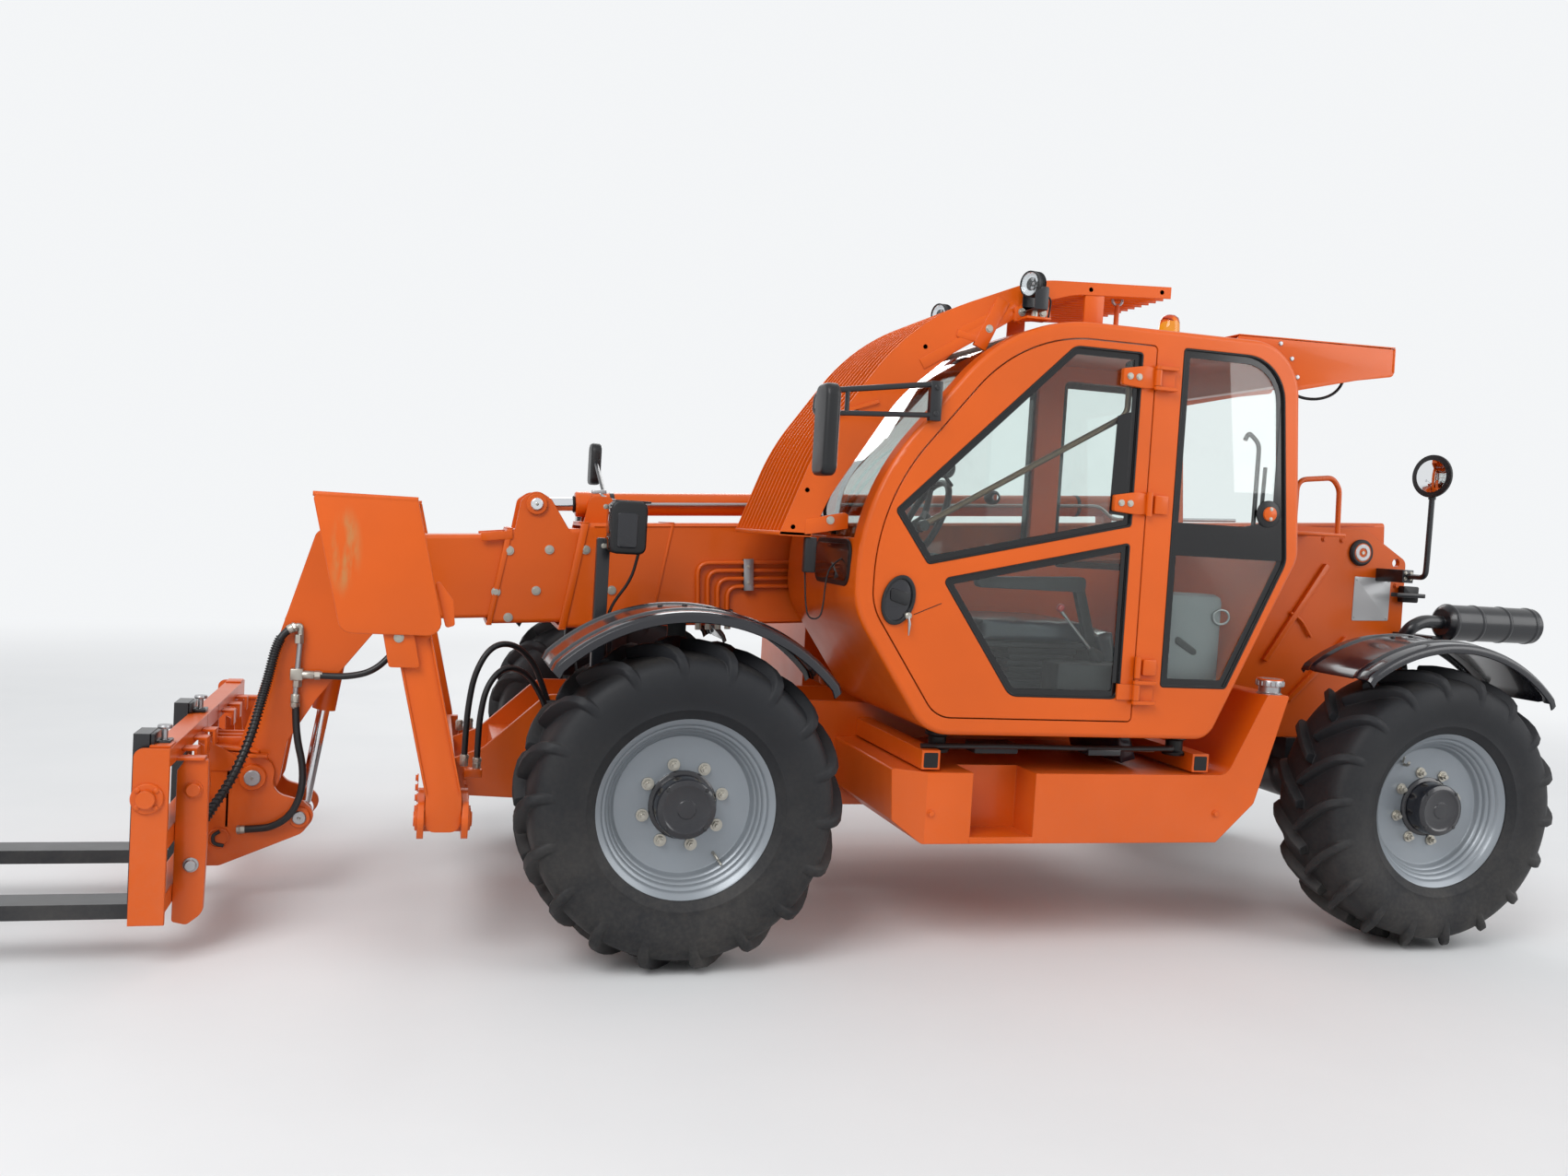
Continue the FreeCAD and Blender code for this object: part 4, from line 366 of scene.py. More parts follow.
def lay(u, v, depth, along):
    """A point drawn at (u, v) and set along an axis."""
    place = [0.0, 0.0, 0.0]
    for axis, value in zip(AXES[along], (u, v, depth)):
        place[axis] = value
    return Vector(place)


def rounded(loop, steps=8):
    """The points of a closed loop of corners (u, v) or (u, v, radius)."""
    points = []
    for index, corner in enumerate(loop):
        here = Vector(corner[:2])
        radius = corner[2] if len(corner) > 2 else 0
        if radius <= 0:
            points.append(here)
            continue
        arms = [(Vector(loop[other][:2]) - here).normalized() for other in (index - 1, (index + 1) % len(loop))]
        half = math.acos(max(-1, min(1, arms[0].dot(arms[1])))) / 2
        centre = here + (arms[0] + arms[1]).normalized() * (radius / math.sin(half))
        start, end = (here + arm * (radius / math.tan(half)) - centre for arm in arms)
        first = math.atan2(start.y, start.x)
        sweep = (math.atan2(end.y, end.x) - first + math.pi) % (2 * math.pi) - math.pi
        for step in range(steps + 1):
            angle = first + sweep * step / steps
            points.append(centre + Vector((math.cos(angle), math.sin(angle))) * radius)
    return points


def mm(loop):
    """A loop given in millimetres."""
    return [tuple(value / 1000 for value in corner) for corner in loop]


def grown(points, distance):
    """A closed outline moved outwards, or inwards where the distance is negative."""
    area = sum(a[0] * b[1] - b[0] * a[1] for a, b in zip(points, points[1:] + points[:1]))
    side = 1 if area > 0 else -1
    moved = []
    for index, point in enumerate(points):
        before, after = Vector(points[index - 1]), Vector(points[(index + 1) % len(points)])
        here = Vector(point)
        first, second = (here - before).normalized(), (after - here).normalized()
        outward = Vector((first.y + second.y, -first.x - second.x)) * side
        square = outward.length_squared
        moved.append(here + outward * (2 * distance / square) if square > 0.2 else here)
    return moved


def circle(u, v, radius, count=24):
    return [Vector((u + radius * math.cos(2 * math.pi * step / count),
                    v + radius * math.sin(2 * math.pi * step / count))) for step in range(count)]


def bent(points, bend, steps=6):
    """A path through points in space with its corners rounded."""
    points = [Vector(point) for point in points]
    path = [points[0]]
    for before, here, after in zip(points, points[1:], points[2:]):
        arms = [(other - here) for other in (before, after)]
        reach = min(bend, 0.45 * arms[0].length, 0.45 * arms[1].length)
        start, end = (here + arm.normalized() * reach for arm in arms)
        for step in range(steps + 1):
            t = step / steps
            path.append(start * (1 - t) ** 2 + here * (2 * t * (1 - t)) + end * t ** 2)
    return path + [points[-1]]


class Piece:
    """One named piece in the making, drawn in its own frame and made up of parts in several finishes."""

    def __init__(self, name, body, frame_of_piece=GROUND):
        self.name = name
        self.body = body
        self.frame = frame_of_piece
        self.store = bmesh.new()
        self.finishes = []

    def keep(self, part, finish_name):
        """Adds a part with its faces turned outwards and in one finish."""
        if finish_name not in self.finishes:
            self.finishes.append(finish_name)
        bmesh.ops.recalc_face_normals(part, faces=part.faces)
        for face in part.faces:
            face.material_index = self.finishes.index(finish_name)
        scrap = bpy.data.meshes.new("scrap")
        part.to_mesh(scrap)
        part.free()
        self.store.from_mesh(scrap)
        bpy.data.meshes.remove(scrap)

    def prism(self, outline, low, high, finish_name, along="y", bevel=0.002, hole=None, segments=2):
        """An outline drawn square to an axis and given a thickness, with its edges rounded."""
        part = bmesh.new()
        loops = [outline, hole] if hole else [outline]
        rings = [[[part.verts.new(lay(point[0], point[1], depth, along)) for point in loop]
                  for depth in (low, high)] for loop in loops]
        for near, far in rings:
            for index in range(len(near)):
                part.faces.new((near[index - 1], near[index], far[index], far[index - 1]))
        for level in (0, 1):
            if hole:
                outer, inner = rings[0][level], rings[1][level]
                for index in range(len(outer)):
                    part.faces.new((outer[index - 1], outer[index], inner[index], inner[index - 1]))
            else:
                part.faces.new(rings[0][level])
        if bevel > 0:
            bmesh.ops.recalc_face_normals(part, faces=part.faces)
            sharp = [edge for edge in part.edges if edge.calc_face_angle(0) > math.radians(32)]
            bmesh.ops.bevel(part, geom=sharp, offset=bevel, segments=segments, profile=0.5, affect="EDGES",
                            clamp_overlap=True)
        self.keep(part, finish_name)

    def box(self, low, high, finish_name, bevel=0.002, segments=2):
        corners = [(low[0], low[2]), (high[0], low[2]), (high[0], high[2]), (low[0], high[2])]
        self.prism(corners, low[1], high[1], finish_name, bevel=bevel, segments=segments)

    def bar(self, start, end, half, low, high, finish_name, along="y", bevel=0.002):
        """A straight bar between two points of a plane."""
        start, end = Vector(start), Vector(end)
        side = (end - start).normalized().orthogonal() * half
        self.prism([start - side, end - side, end + side, start + side], low, high, finish_name, along, bevel)

    def tube(self, points, radius, finish_name, sides=12, bend=0.0):
        """A round bar or pipe along a path; the radius may be one number or one for each point."""
        path = bent(points, bend) if bend else [Vector(point) for point in points]
        radii = radius if isinstance(radius, (list, tuple)) else [radius] * len(path)
        part = bmesh.new()
        ahead = (path[1] - path[0]).normalized()
        side = ahead.orthogonal().normalized()
        rings = []
        for index, point in enumerate(path):
            first, last = path[max(0, index - 1)], path[min(len(path) - 1, index + 1)]
            ahead = (last - first).normalized()
            side = (side - ahead * side.dot(ahead)).normalized()
            across = ahead.cross(side)
            rings.append([part.verts.new(point + (side * math.cos(turn) + across * math.sin(turn)) * radii[index])
                          for turn in (2 * math.pi * step / sides for step in range(sides))])
        for near, far in zip(rings, rings[1:]):
            for index in range(sides):
                part.faces.new((near[index - 1], near[index], far[index], far[index - 1]))
        part.faces.new(rings[0])
        part.faces.new(rings[-1])
        self.keep(part, finish_name)
        return path

    def turned(self, profile, centre, finish_name, axis=(0, 1, 0), sides=48, closed=False):
        """A turned shape from its profile of (place along the axis, radius)."""
        part = bmesh.new()
        ahead = Vector(axis).normalized()
        side = ahead.orthogonal().normalized()
        across = ahead.cross(side)
        centre = Vector(centre)
        rings = []
        for along, radius in profile:
            if radius <= 0:
                rings.append([part.verts.new(centre + ahead * along)])
                continue
            rings.append([part.verts.new(centre + ahead * along
                                         + (side * math.cos(turn) + across * math.sin(turn)) * radius)
                          for turn in (2 * math.pi * step / sides for step in range(sides))])
        pairs = list(zip(rings, rings[1:])) + ([(rings[-1], rings[0])] if closed else [])
        for near, far in pairs:
            for index in range(sides):
                corners = [near[index - 1] if len(near) > 1 else near[0], near[index] if len(near) > 1 else None,
                           far[index] if len(far) > 1 else far[0], far[index - 1] if len(far) > 1 else None]
                part.faces.new([corner for corner in corners if corner])
        if not closed:
            for ring in (rings[0], rings[-1]):
                if len(ring) > 1:
                    part.faces.new(ring)
        self.keep(part, finish_name)

    def done(self, *replaced, sharp=34.0, subdivide=0, between=None):
        """Makes the object, sets its shading, and says what it rides on or replaces; a piece given bodies to lie
        between is only left in place, unparented.
        """
        self.store.transform(self.frame)
        for face in self.store.faces:
            face.smooth = True
        for edge in self.store.edges:
            if edge.calc_face_angle(0) > math.radians(sharp):
                edge.smooth = False
        mesh = bpy.data.meshes.new(self.name)
        self.store.to_mesh(mesh)
        self.store.free()
        thing = bpy.data.objects.new(self.name, mesh)
        bpy.context.scene.collection.objects.link(thing)
        for finish_name in self.finishes:
            mesh.materials.append(FINISHES[finish_name])
        if subdivide:
            smoother = thing.modifiers.new("Smoother", "SUBSURF")
            smoother.levels = smoother.render_levels = subdivide
        if between:
            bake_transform(thing)
        else:
            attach(thing, self.body)
        if replaced:
            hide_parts(*replaced)
        return thing


# Geometry Nodes that repeat small shapes
def geometry_tree(name, inputs):
    """An empty geometry tree with a mesh input and output and named inputs for its sizes."""
    tree = bpy.data.node_groups.new(name, "GeometryNodeTree")
    tree.interface.new_socket("Geometry", in_out="INPUT", socket_type="NodeSocketGeometry")
    for label, kind, value in inputs:
        socket = tree.interface.new_socket(label, in_out="INPUT", socket_type=kind)
        if value is not None:
            socket.default_value = value
    tree.interface.new_socket("Geometry", in_out="OUTPUT", socket_type="NodeSocketGeometry")
    return tree, tree.nodes.new("NodeGroupInput"), tree.nodes.new("NodeGroupOutput")


def chain(tree, kind, links=(), **values):
    """A geometry node with its properties, its links and its plain input values set."""
    made = tree.nodes.new(kind)
    for key, value in values.items():
        setattr(made, key, value)
    for target, source in links:
        if hasattr(source, "links"):
            tree.links.new(source, made.inputs[target])
        else:
            made.inputs[target].default_value = source
    return made


def finish_tree(tree, entry, exit_node, instances):
    """Realizes the instances and sets their material."""
    real = chain(tree, "GeometryNodeRealizeInstances", [("Geometry", instances)])
    painted = chain(tree, "GeometryNodeSetMaterial",
                    [("Geometry", real.outputs[0]), ("Material", entry.outputs["Material"])])
    tree.links.new(painted.outputs[0], exit_node.inputs[0])


def make_fastener_rows():
    """A washer, a head and a stud's end on every point, turned to face the way the point says."""
    tree, entry, exit_node = geometry_tree("FastenerRows", [
        ("Head Sides", "NodeSocketInt", 6), ("Head Height", "NodeSocketFloat", 0.8),
        ("Stud Height", "NodeSocketFloat", 1.0), ("Washer Radius", "NodeSocketFloat", 1.45),
        ("Material", "NodeSocketMaterial", None)])
    washer = chain(tree, "GeometryNodeMeshCylinder", [("Vertices", 18), ("Radius", entry.outputs["Washer Radius"]),
                                                      ("Depth", 0.36)])
    head = chain(tree, "GeometryNodeMeshCylinder", [("Vertices", entry.outputs["Head Sides"]), ("Radius", 1.0),
                                                    ("Depth", entry.outputs["Head Height"])])
    stud = chain(tree, "GeometryNodeMeshCylinder", [("Vertices", 10), ("Radius", 0.52),
                                                    ("Depth", entry.outputs["Stud Height"])])
    joined = chain(tree, "GeometryNodeJoinGeometry")
    for shape, size in ((washer, 0.36), (head, "Head Height"), (stud, "Stud Height")):
        half = chain(tree, "ShaderNodeMath", [(0, entry.outputs[size] if isinstance(size, str) else size), (1, 0.5)],
                     operation="MULTIPLY")
        lift = chain(tree, "ShaderNodeCombineXYZ", [("Z", half.outputs[0])])
        raised = chain(tree, "GeometryNodeTransform", [("Geometry", shape.outputs["Mesh"]),
                                                       ("Translation", lift.outputs[0])])
        tree.links.new(raised.outputs[0], joined.inputs[0])
    facing = chain(tree, "GeometryNodeInputNamedAttribute", [("Name", "facing")], data_type="FLOAT_VECTOR")
    size = chain(tree, "GeometryNodeInputNamedAttribute", [("Name", "size")], data_type="FLOAT")
    turned = chain(tree, "FunctionNodeAlignRotationToVector", [("Vector", facing.outputs["Attribute"])], axis="Z")
    placed = chain(tree, "GeometryNodeInstanceOnPoints", [
        ("Points", entry.outputs["Geometry"]), ("Instance", joined.outputs[0]),
        ("Rotation", turned.outputs[0]), ("Scale", size.outputs["Attribute"])])
    finish_tree(tree, entry, exit_node, placed.outputs[0])
    return tree


def make_repeat_about_axle():
    """Repeats the mesh about an axle that lies across the machine."""
    tree, entry, exit_node = geometry_tree("RepeatAboutAxle", [
        ("Count", "NodeSocketInt", 18), ("Centre", "NodeSocketVector", (0, 0, 0)),
        ("Material", "NodeSocketMaterial", None)])
    spots = chain(tree, "GeometryNodeMeshLine", [("Count", entry.outputs["Count"]), ("Offset", (0, 0, 0))])
    index = chain(tree, "GeometryNodeInputIndex")
    share = chain(tree, "ShaderNodeMath", [(0, index.outputs[0]), (1, entry.outputs["Count"])], operation="DIVIDE")
    angle = chain(tree, "ShaderNodeMath", [(0, share.outputs[0]), (1, 2 * math.pi)], operation="MULTIPLY")
    turned = chain(tree, "ShaderNodeCombineXYZ", [("Y", angle.outputs[0])])
    placed = chain(tree, "GeometryNodeInstanceOnPoints", [
        ("Points", spots.outputs["Mesh"]), ("Instance", entry.outputs["Geometry"]), ("Rotation", turned.outputs[0])])
    moved = chain(tree, "GeometryNodeTransform", [("Geometry", placed.outputs[0]),
                                                  ("Translation", entry.outputs["Centre"])])
    finish_tree(tree, entry, exit_node, moved.outputs[0])
    return tree


def make_repeat_in_row():
    """Repeats the mesh in a straight row."""
    tree, entry, exit_node = geometry_tree("RepeatInRow", [
        ("Count", "NodeSocketInt", 10), ("Step", "NodeSocketVector", (0, 0.05, 0)),
        ("Material", "NodeSocketMaterial", None)])
    spots = chain(tree, "GeometryNodeMeshLine", [("Count", entry.outputs["Count"]), ("Offset", entry.outputs["Step"])])
    placed = chain(tree, "GeometryNodeInstanceOnPoints", [
        ("Points", spots.outputs["Mesh"]), ("Instance", entry.outputs["Geometry"])])
    finish_tree(tree, entry, exit_node, placed.outputs[0])
    return tree


def run_tree(mesh, tree_name, finish_name, **values):
    """Runs a geometry tree on a mesh and gives back the plain mesh that comes out."""
    thing = bpy.data.objects.new("seed", mesh)
    bpy.context.scene.collection.objects.link(thing)
    tree = GROUPS[tree_name]
    modifier = thing.modifiers.new("Repeat", "NODES")
    modifier.node_group = tree
    for socket in tree.interface.items_tree:
        if socket.in_out == "INPUT" and socket.socket_type != "NodeSocketGeometry":
            key = socket.name.lower().replace(" ", "_")
            if key == "material":
                modifier[socket.identifier] = FINISHES[finish_name]
            elif key in values:
                modifier[socket.identifier] = values[key]
    made = bpy.data.meshes.new_from_object(thing.evaluated_get(bpy.context.evaluated_depsgraph_get()))
    bpy.data.objects.remove(thing)
    return made


def link_mesh(name, mesh, body, finish_name, *replaced, sharp=34.0):
    """Links a plain mesh as a piece of a body."""
    store = bmesh.new()
    store.from_mesh(mesh)
    for face in store.faces:
        face.smooth = True
        face.material_index = 0
    for edge in store.edges:
        edge.smooth = edge.calc_face_angle(0) < math.radians(sharp)
    store.to_mesh(mesh)
    store.free()
    mesh.name = name
    mesh.materials.clear()
    mesh.materials.append(FINISHES[finish_name])
    thing = bpy.data.objects.new(name, mesh)
    bpy.context.scene.collection.objects.link(thing)
    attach(thing, body)
    if replaced:
        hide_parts(*replaced)
    return thing


BOLTS = {}


def bolt(body, place, facing, radius=0.014, kind="hex", frame_of_piece=GROUND):
    """Notes a bolt to be made with the others of its body."""
    matrix = frame_of_piece
    BOLTS.setdefault((body, kind), []).append(
        (matrix @ Vector(place), (matrix.to_3x3() @ Vector(facing)).normalized(), radius))


BOLT_KINDS = {
    # kind: head sides, head height, stud height, washer radius, finish
    "hex": (6, 0.95, 0.5, 1.4, "zinc_bolt"),
    "nut": (6, 1.15, 1.9, 1.45, "zinc_bolt"),
    "round": (16, 0.75, 0.4, 1.5, "zinc_bolt"),
    "painted": (6, 0.95, 0.5, 1.4, "orange_plain"),
    "black": (14, 0.7, 0.4, 1.3, "black_paint"),
}


def make_bolts():
    """Turns every noted bolt into one mesh for each body and kind."""
    for (body, kind), rows in BOLTS.items():
        points = bpy.data.meshes.new("points")
        points.from_pydata([place for place, _facing, _radius in rows], [], [])
        points.attributes.new("facing", "FLOAT_VECTOR", "POINT")
        points.attributes.new("size", "FLOAT", "POINT")
        for index, (_place, way, radius) in enumerate(rows):
            points.attributes["facing"].data[index].vector = way
            points.attributes["size"].data[index].value = radius
        sides, head, stud, washer, finish_name = BOLT_KINDS[kind]
        made = run_tree(points, "FastenerRows", finish_name, head_sides=sides, head_height=head,
                        stud_height=stud, washer_radius=washer)
        link_mesh(f"{kind}_bolts_{body}", made, body, finish_name)


def nurbs_path(name, points):
    """The points of a smooth NURBS line whose control points are given, and its length."""
    line = bpy.data.curves.new(name, "CURVE")
    line.dimensions = "3D"
    line.resolution_u = 10
    spline = line.splines.new("NURBS")
    spline.points.add(len(points) - 1)
    for spot, point in zip(spline.points, points):
        spot.co = (*point, 1)
    spline.order_u = 3
    spline.use_endpoint_u = True
    holder = bpy.data.objects.new(name, line)
    bpy.context.scene.collection.objects.link(holder)
    flat = bpy.data.meshes.new_from_object(holder.evaluated_get(bpy.context.evaluated_depsgraph_get()))
    path = [vertex.co.copy() for vertex in flat.vertices]
    bpy.data.objects.remove(holder)
    bpy.data.meshes.remove(flat)
    return path, sum((b - a).length for a, b in zip(path, path[1:]))


# Camera, lights and floor
PHOTO_FOCUS = 1418.0
PHOTO_WIDTH = 1702.0
SENSOR = 36.0
CAMERA_PLACE = (0.908, 5.511, 1.572)
CAMERA_TURN = (15.35, -2.54, 3.44)


def make_camera():
    """The photograph's view: yaw from the side view, slight fall and roll."""
    yaw, pitch, roll = (math.radians(angle) for angle in CAMERA_TURN)
    ahead = Vector((-math.sin(yaw) * math.cos(pitch), -math.cos(yaw) * math.cos(pitch), math.sin(pitch)))
    right = ahead.cross(Vector((0, 0, 1))).normalized()
    up = right.cross(ahead)
    turned_right = right * math.cos(roll) + up * math.sin(roll)
    turned_up = up * math.cos(roll) - right * math.sin(roll)
    data = bpy.data.cameras.new("PhotoCamera")
    data.sensor_width = SENSOR
    data.lens = PHOTO_FOCUS / PHOTO_WIDTH * SENSOR
    camera = bpy.data.objects.new("PhotoCamera", data)
    axes = Matrix((turned_right, turned_up, -ahead)).transposed().to_4x4()
    camera.matrix_world = Matrix.Translation(at(*CAMERA_PLACE)) @ axes
    bpy.context.scene.collection.objects.link(camera)
    bpy.context.scene.camera = camera


LAMPS = (
    # name, place, target, size, watts
    ("KeyLight", (6.0, 7.5, 8.5), (-1.0, 0.0, 1.0), 6.0, 820),
    ("FillLight", (-8.0, 6.0, 5.0), (-1.5, 0.0, 1.0), 6.0, 320),
    ("BackLight", (-2.0, -9.0, 7.0), (-1.0, 0.0, 1.2), 6.0, 380),
)
FLOOR_HALF = 60.0
FLOOR_FADE = (5.5, 13.0)
WORLD_LIGHT = 0.62
WORLD_SHOWN = 0.93
WORLD_COLOUR = (0.97, 0.985, 1.0, 1)


def shows_white(tree):
    """A value that is 1 for rays from the camera, gloss or glass."""
    path = tree.nodes.new("ShaderNodeLightPath")
    first = node(tree, "ShaderNodeMath", operation="MAXIMUM")
    tree.links.new(path.outputs["Is Camera Ray"], first.inputs[0])
    tree.links.new(path.outputs["Is Glossy Ray"], first.inputs[1])
    second = node(tree, "ShaderNodeMath", operation="MAXIMUM")
    tree.links.new(first.outputs[0], second.inputs[0])
    tree.links.new(path.outputs["Is Transmission Ray"], second.inputs[1])
    return second.outputs[0]


def make_world():
    world = bpy.data.worlds.new("Studio")
    bpy.context.scene.world = world
    world.use_nodes = True
    tree = world.node_tree
    strength = node(tree, "ShaderNodeMapRange", [("Value", shows_white(tree))])
    strength.inputs["To Min"].default_value = WORLD_LIGHT
    strength.inputs["To Max"].default_value = WORLD_SHOWN
    background = tree.nodes["Background"]
    background.inputs["Color"].default_value = WORLD_COLOUR
    tree.links.new(strength.outputs["Result"], background.inputs["Strength"])


def make_lights():
    for name, place, target, size, watts in LAMPS:
        data = bpy.data.lights.new(name, "AREA")
        data.size = size
        data.energy = watts
        lamp = bpy.data.objects.new(name, data)
        lamp.location = place
        lamp.rotation_euler = (Vector(target) - Vector(place)).to_track_quat("-Z", "Y").to_euler()
        bpy.context.scene.collection.objects.link(lamp)


def make_floor():
    mesh = bpy.data.meshes.new("Floor")
    half = FLOOR_HALF
    mesh.from_pydata([(-half, -half, 0), (half, -half, 0), (half, half, 0), (-half, half, 0)], [], [(0, 1, 2, 3)])
    floor = bpy.data.objects.new("Floor", mesh)
    bpy.context.scene.collection.objects.link(floor)
    material = bpy.data.materials.new("FloorFinish")
    material.use_nodes = True
    tree = material.node_tree
    shader = tree.nodes["Principled BSDF"]
    point = object_point(tree)
    tone = blend_colour(tree, noise(tree, point, 1.3, 6.0), (0.70, 0.71, 0.72), (0.76, 0.765, 0.77))
    tree.links.new(tone, shader.inputs["Base Color"])
    shader.inputs["Roughness"].default_value = 0.75
    far = node(tree, "ShaderNodeVectorMath", [(0, point)], operation="LENGTH")
    away = ramp(tree, far.outputs["Value"], *FLOOR_FADE)
    glow = node(tree, "ShaderNodeEmission")
    glow.inputs["Color"].default_value = WORLD_COLOUR
    glow.inputs["Strength"].default_value = WORLD_SHOWN
    fade = node(tree, "ShaderNodeMixShader", [(0, times(tree, away, shows_white(tree))), (1, shader.outputs[0]),
                                              (2, glow.outputs[0])])
    tree.links.new(fade.outputs[0], tree.nodes["Material Output"].inputs["Surface"])
    mesh.materials.append(material)


class HANDLER_OT_stage(bpy.types.Operator):
    """Makes the camera, the studio lights, the world and the floor"""
    bl_idname = "handler.stage"
    bl_label = "Stage"

    def execute(self, context):
        context.scene.view_settings.view_transform = "Standard"
        make_camera()
        make_world()
        make_lights()
        make_floor()
        return {"FINISHED"}


class HANDLER_OT_frame_finishes(bpy.types.Operator):
    """Makes the materials and gives each carried-over node its own"""
    bl_idname = "handler.frame_finishes"
    bl_label = "Frame finishes"

    def execute(self, context):
        make_finishes()
        finish_frame_nodes()
        return {"FINISHED"}


# Wheels: rubber with slanted lugs, a rolled rim, a hub cap and its nuts
TYRE_Y = 0.950
DISC_Y = 0.070
HALF_TYRE = (
    # across from the middle of the tread, radius
    (0.168, 0.318), (0.176, 0.330), (0.183, 0.345), (0.189, 0.352), (0.188, 0.358), (0.195, 0.385),
    (0.2005, 0.425), (0.2015, 0.452), (0.199, 0.470), (0.193, 0.494), (0.182, 0.515), (0.163, 0.529),
    (0.130, 0.537), (0.070, 0.541), (0.0, 0.542),
)
LUG_STATIONS = (
    # top: across and radius; foot: across and radius; half widths of the top and the foot; lead of the slant
    (-0.010, 0.580, -0.010, 0.534, 0.014, 0.022, -0.008), (0.030, 0.585, 0.030, 0.534, 0.016, 0.024, 0.024),
    (0.080, 0.584, 0.080, 0.533, 0.017, 0.025, 0.064), (0.125, 0.577, 0.120, 0.528, 0.018, 0.026, 0.099),
    (0.160, 0.564, 0.145, 0.520, 0.019, 0.027, 0.122), (0.184, 0.545, 0.160, 0.507, 0.019, 0.027, 0.136),
    (0.197, 0.518, 0.172, 0.492, 0.018, 0.026, 0.144), (0.2010, 0.488, 0.183, 0.474, 0.016, 0.023, 0.147),
    (0.1990, 0.458, 0.192, 0.452, 0.012, 0.018, 0.148),
)
RIM_SECTION = (
    # across from the middle of the wheel, radius
    (0.070, 0.058), (0.070, 0.236), (0.072, 0.244), (0.078, 0.249), (0.088, 0.252), (0.094, 0.256),
    (0.098, 0.262), (0.108, 0.265), (0.114, 0.269), (0.118, 0.275), (0.127, 0.278), (0.133, 0.283),
    (0.137, 0.291), (0.145, 0.295), (0.151, 0.300), (0.155, 0.308), (0.160, 0.313), (0.1635, 0.320),
    (0.165, 0.328), (0.163, 0.333), (0.158, 0.333), (0.155, 0.326), (0.150, 0.3195), (0.138, 0.3175),
    (0.118, 0.312), (0.100, 0.298), (0.075, 0.285), (0.045, 0.274), (-0.085, 0.274), (-0.105, 0.306),
    (-0.152, 0.3175), (-0.156, 0.326), (-0.158, 0.333), (-0.165, 0.331), (-0.165, 0.316), (-0.118, 0.298),
    (-0.090, 0.262), (0.040, 0.262), (0.054, 0.250), (0.054, 0.058),
)
HUB_SECTION = (
    (0.068, 0.122), (0.078, 0.122), (0.081, 0.117), (0.083, 0.108), (0.148, 0.107), (0.156, 0.103),
    (0.1605, 0.094), (0.162, 0.085), (0.160, 0.081), (0.158, 0.076), (0.158, 0.034), (0.161, 0.031), (0.162, 0.0),
)
NUTS = 8


def lug_mesh(side, ahead):
    """One lug about its wheel's centre, from the middle of the tread over the shoulder."""
    part = bmesh.new()
    rows = []
    for top_y, top_r, foot_y, foot_r, top_half, foot_half, lead in LUG_STATIONS:
        row = []
        for share, half in ((0.0, -foot_half), (0.82, -top_half - 0.002), (1.0, -top_half + 0.005),
                            (1.0, top_half - 0.005), (0.82, top_half + 0.002), (0.0, foot_half)):
            radius = foot_r + (top_r - foot_r) * share
            across = foot_y + (top_y - foot_y) * share
            angle = math.pi / 2 + ahead + (lead + half) / 0.56
            row.append(part.verts.new((radius * math.cos(angle), side * across, radius * math.sin(angle))))
        rows.append(row)
    for near, far in zip(rows, rows[1:]):
        for index in range(len(near)):
            part.faces.new((near[index - 1], near[index], far[index], far[index - 1]))
    part.faces.new(rows[0])
    part.faces.new(rows[-1])
    bmesh.ops.recalc_face_normals(part, faces=part.faces)
    return part


def make_tyre(corner, end_x, side, sizes):
    """A tyre: its carcass turned, its two rows of lugs repeated about the axle."""
    centre = Vector((end_x, side * TYRE_Y, AXLE_Z))
    piece = Piece(f"tyre_rubber_{corner}", f"wheel_{corner}")
    profile = list(HALF_TYRE) + [(-across, radius) for across, radius in HALF_TYRE[-2::-1]]
    piece.turned(profile, centre, "tyre_rubber", sides=96, closed=True)
    pitch = 2 * math.pi / sizes.lug_count
    for row_side, ahead in ((1, 0.0), (-1, pitch / 2)):
        seed = bpy.data.meshes.new("lug")
        part = lug_mesh(row_side, ahead)
        part.to_mesh(seed)
        part.free()
        row = run_tree(seed, "RepeatAboutAxle", "tyre_rubber", count=sizes.lug_count, centre=centre)
        lugs = bmesh.new()
        lugs.from_mesh(row)
        piece.keep(lugs, "tyre_rubber")
    piece.done(f"tyre_{corner}", sharp=40)


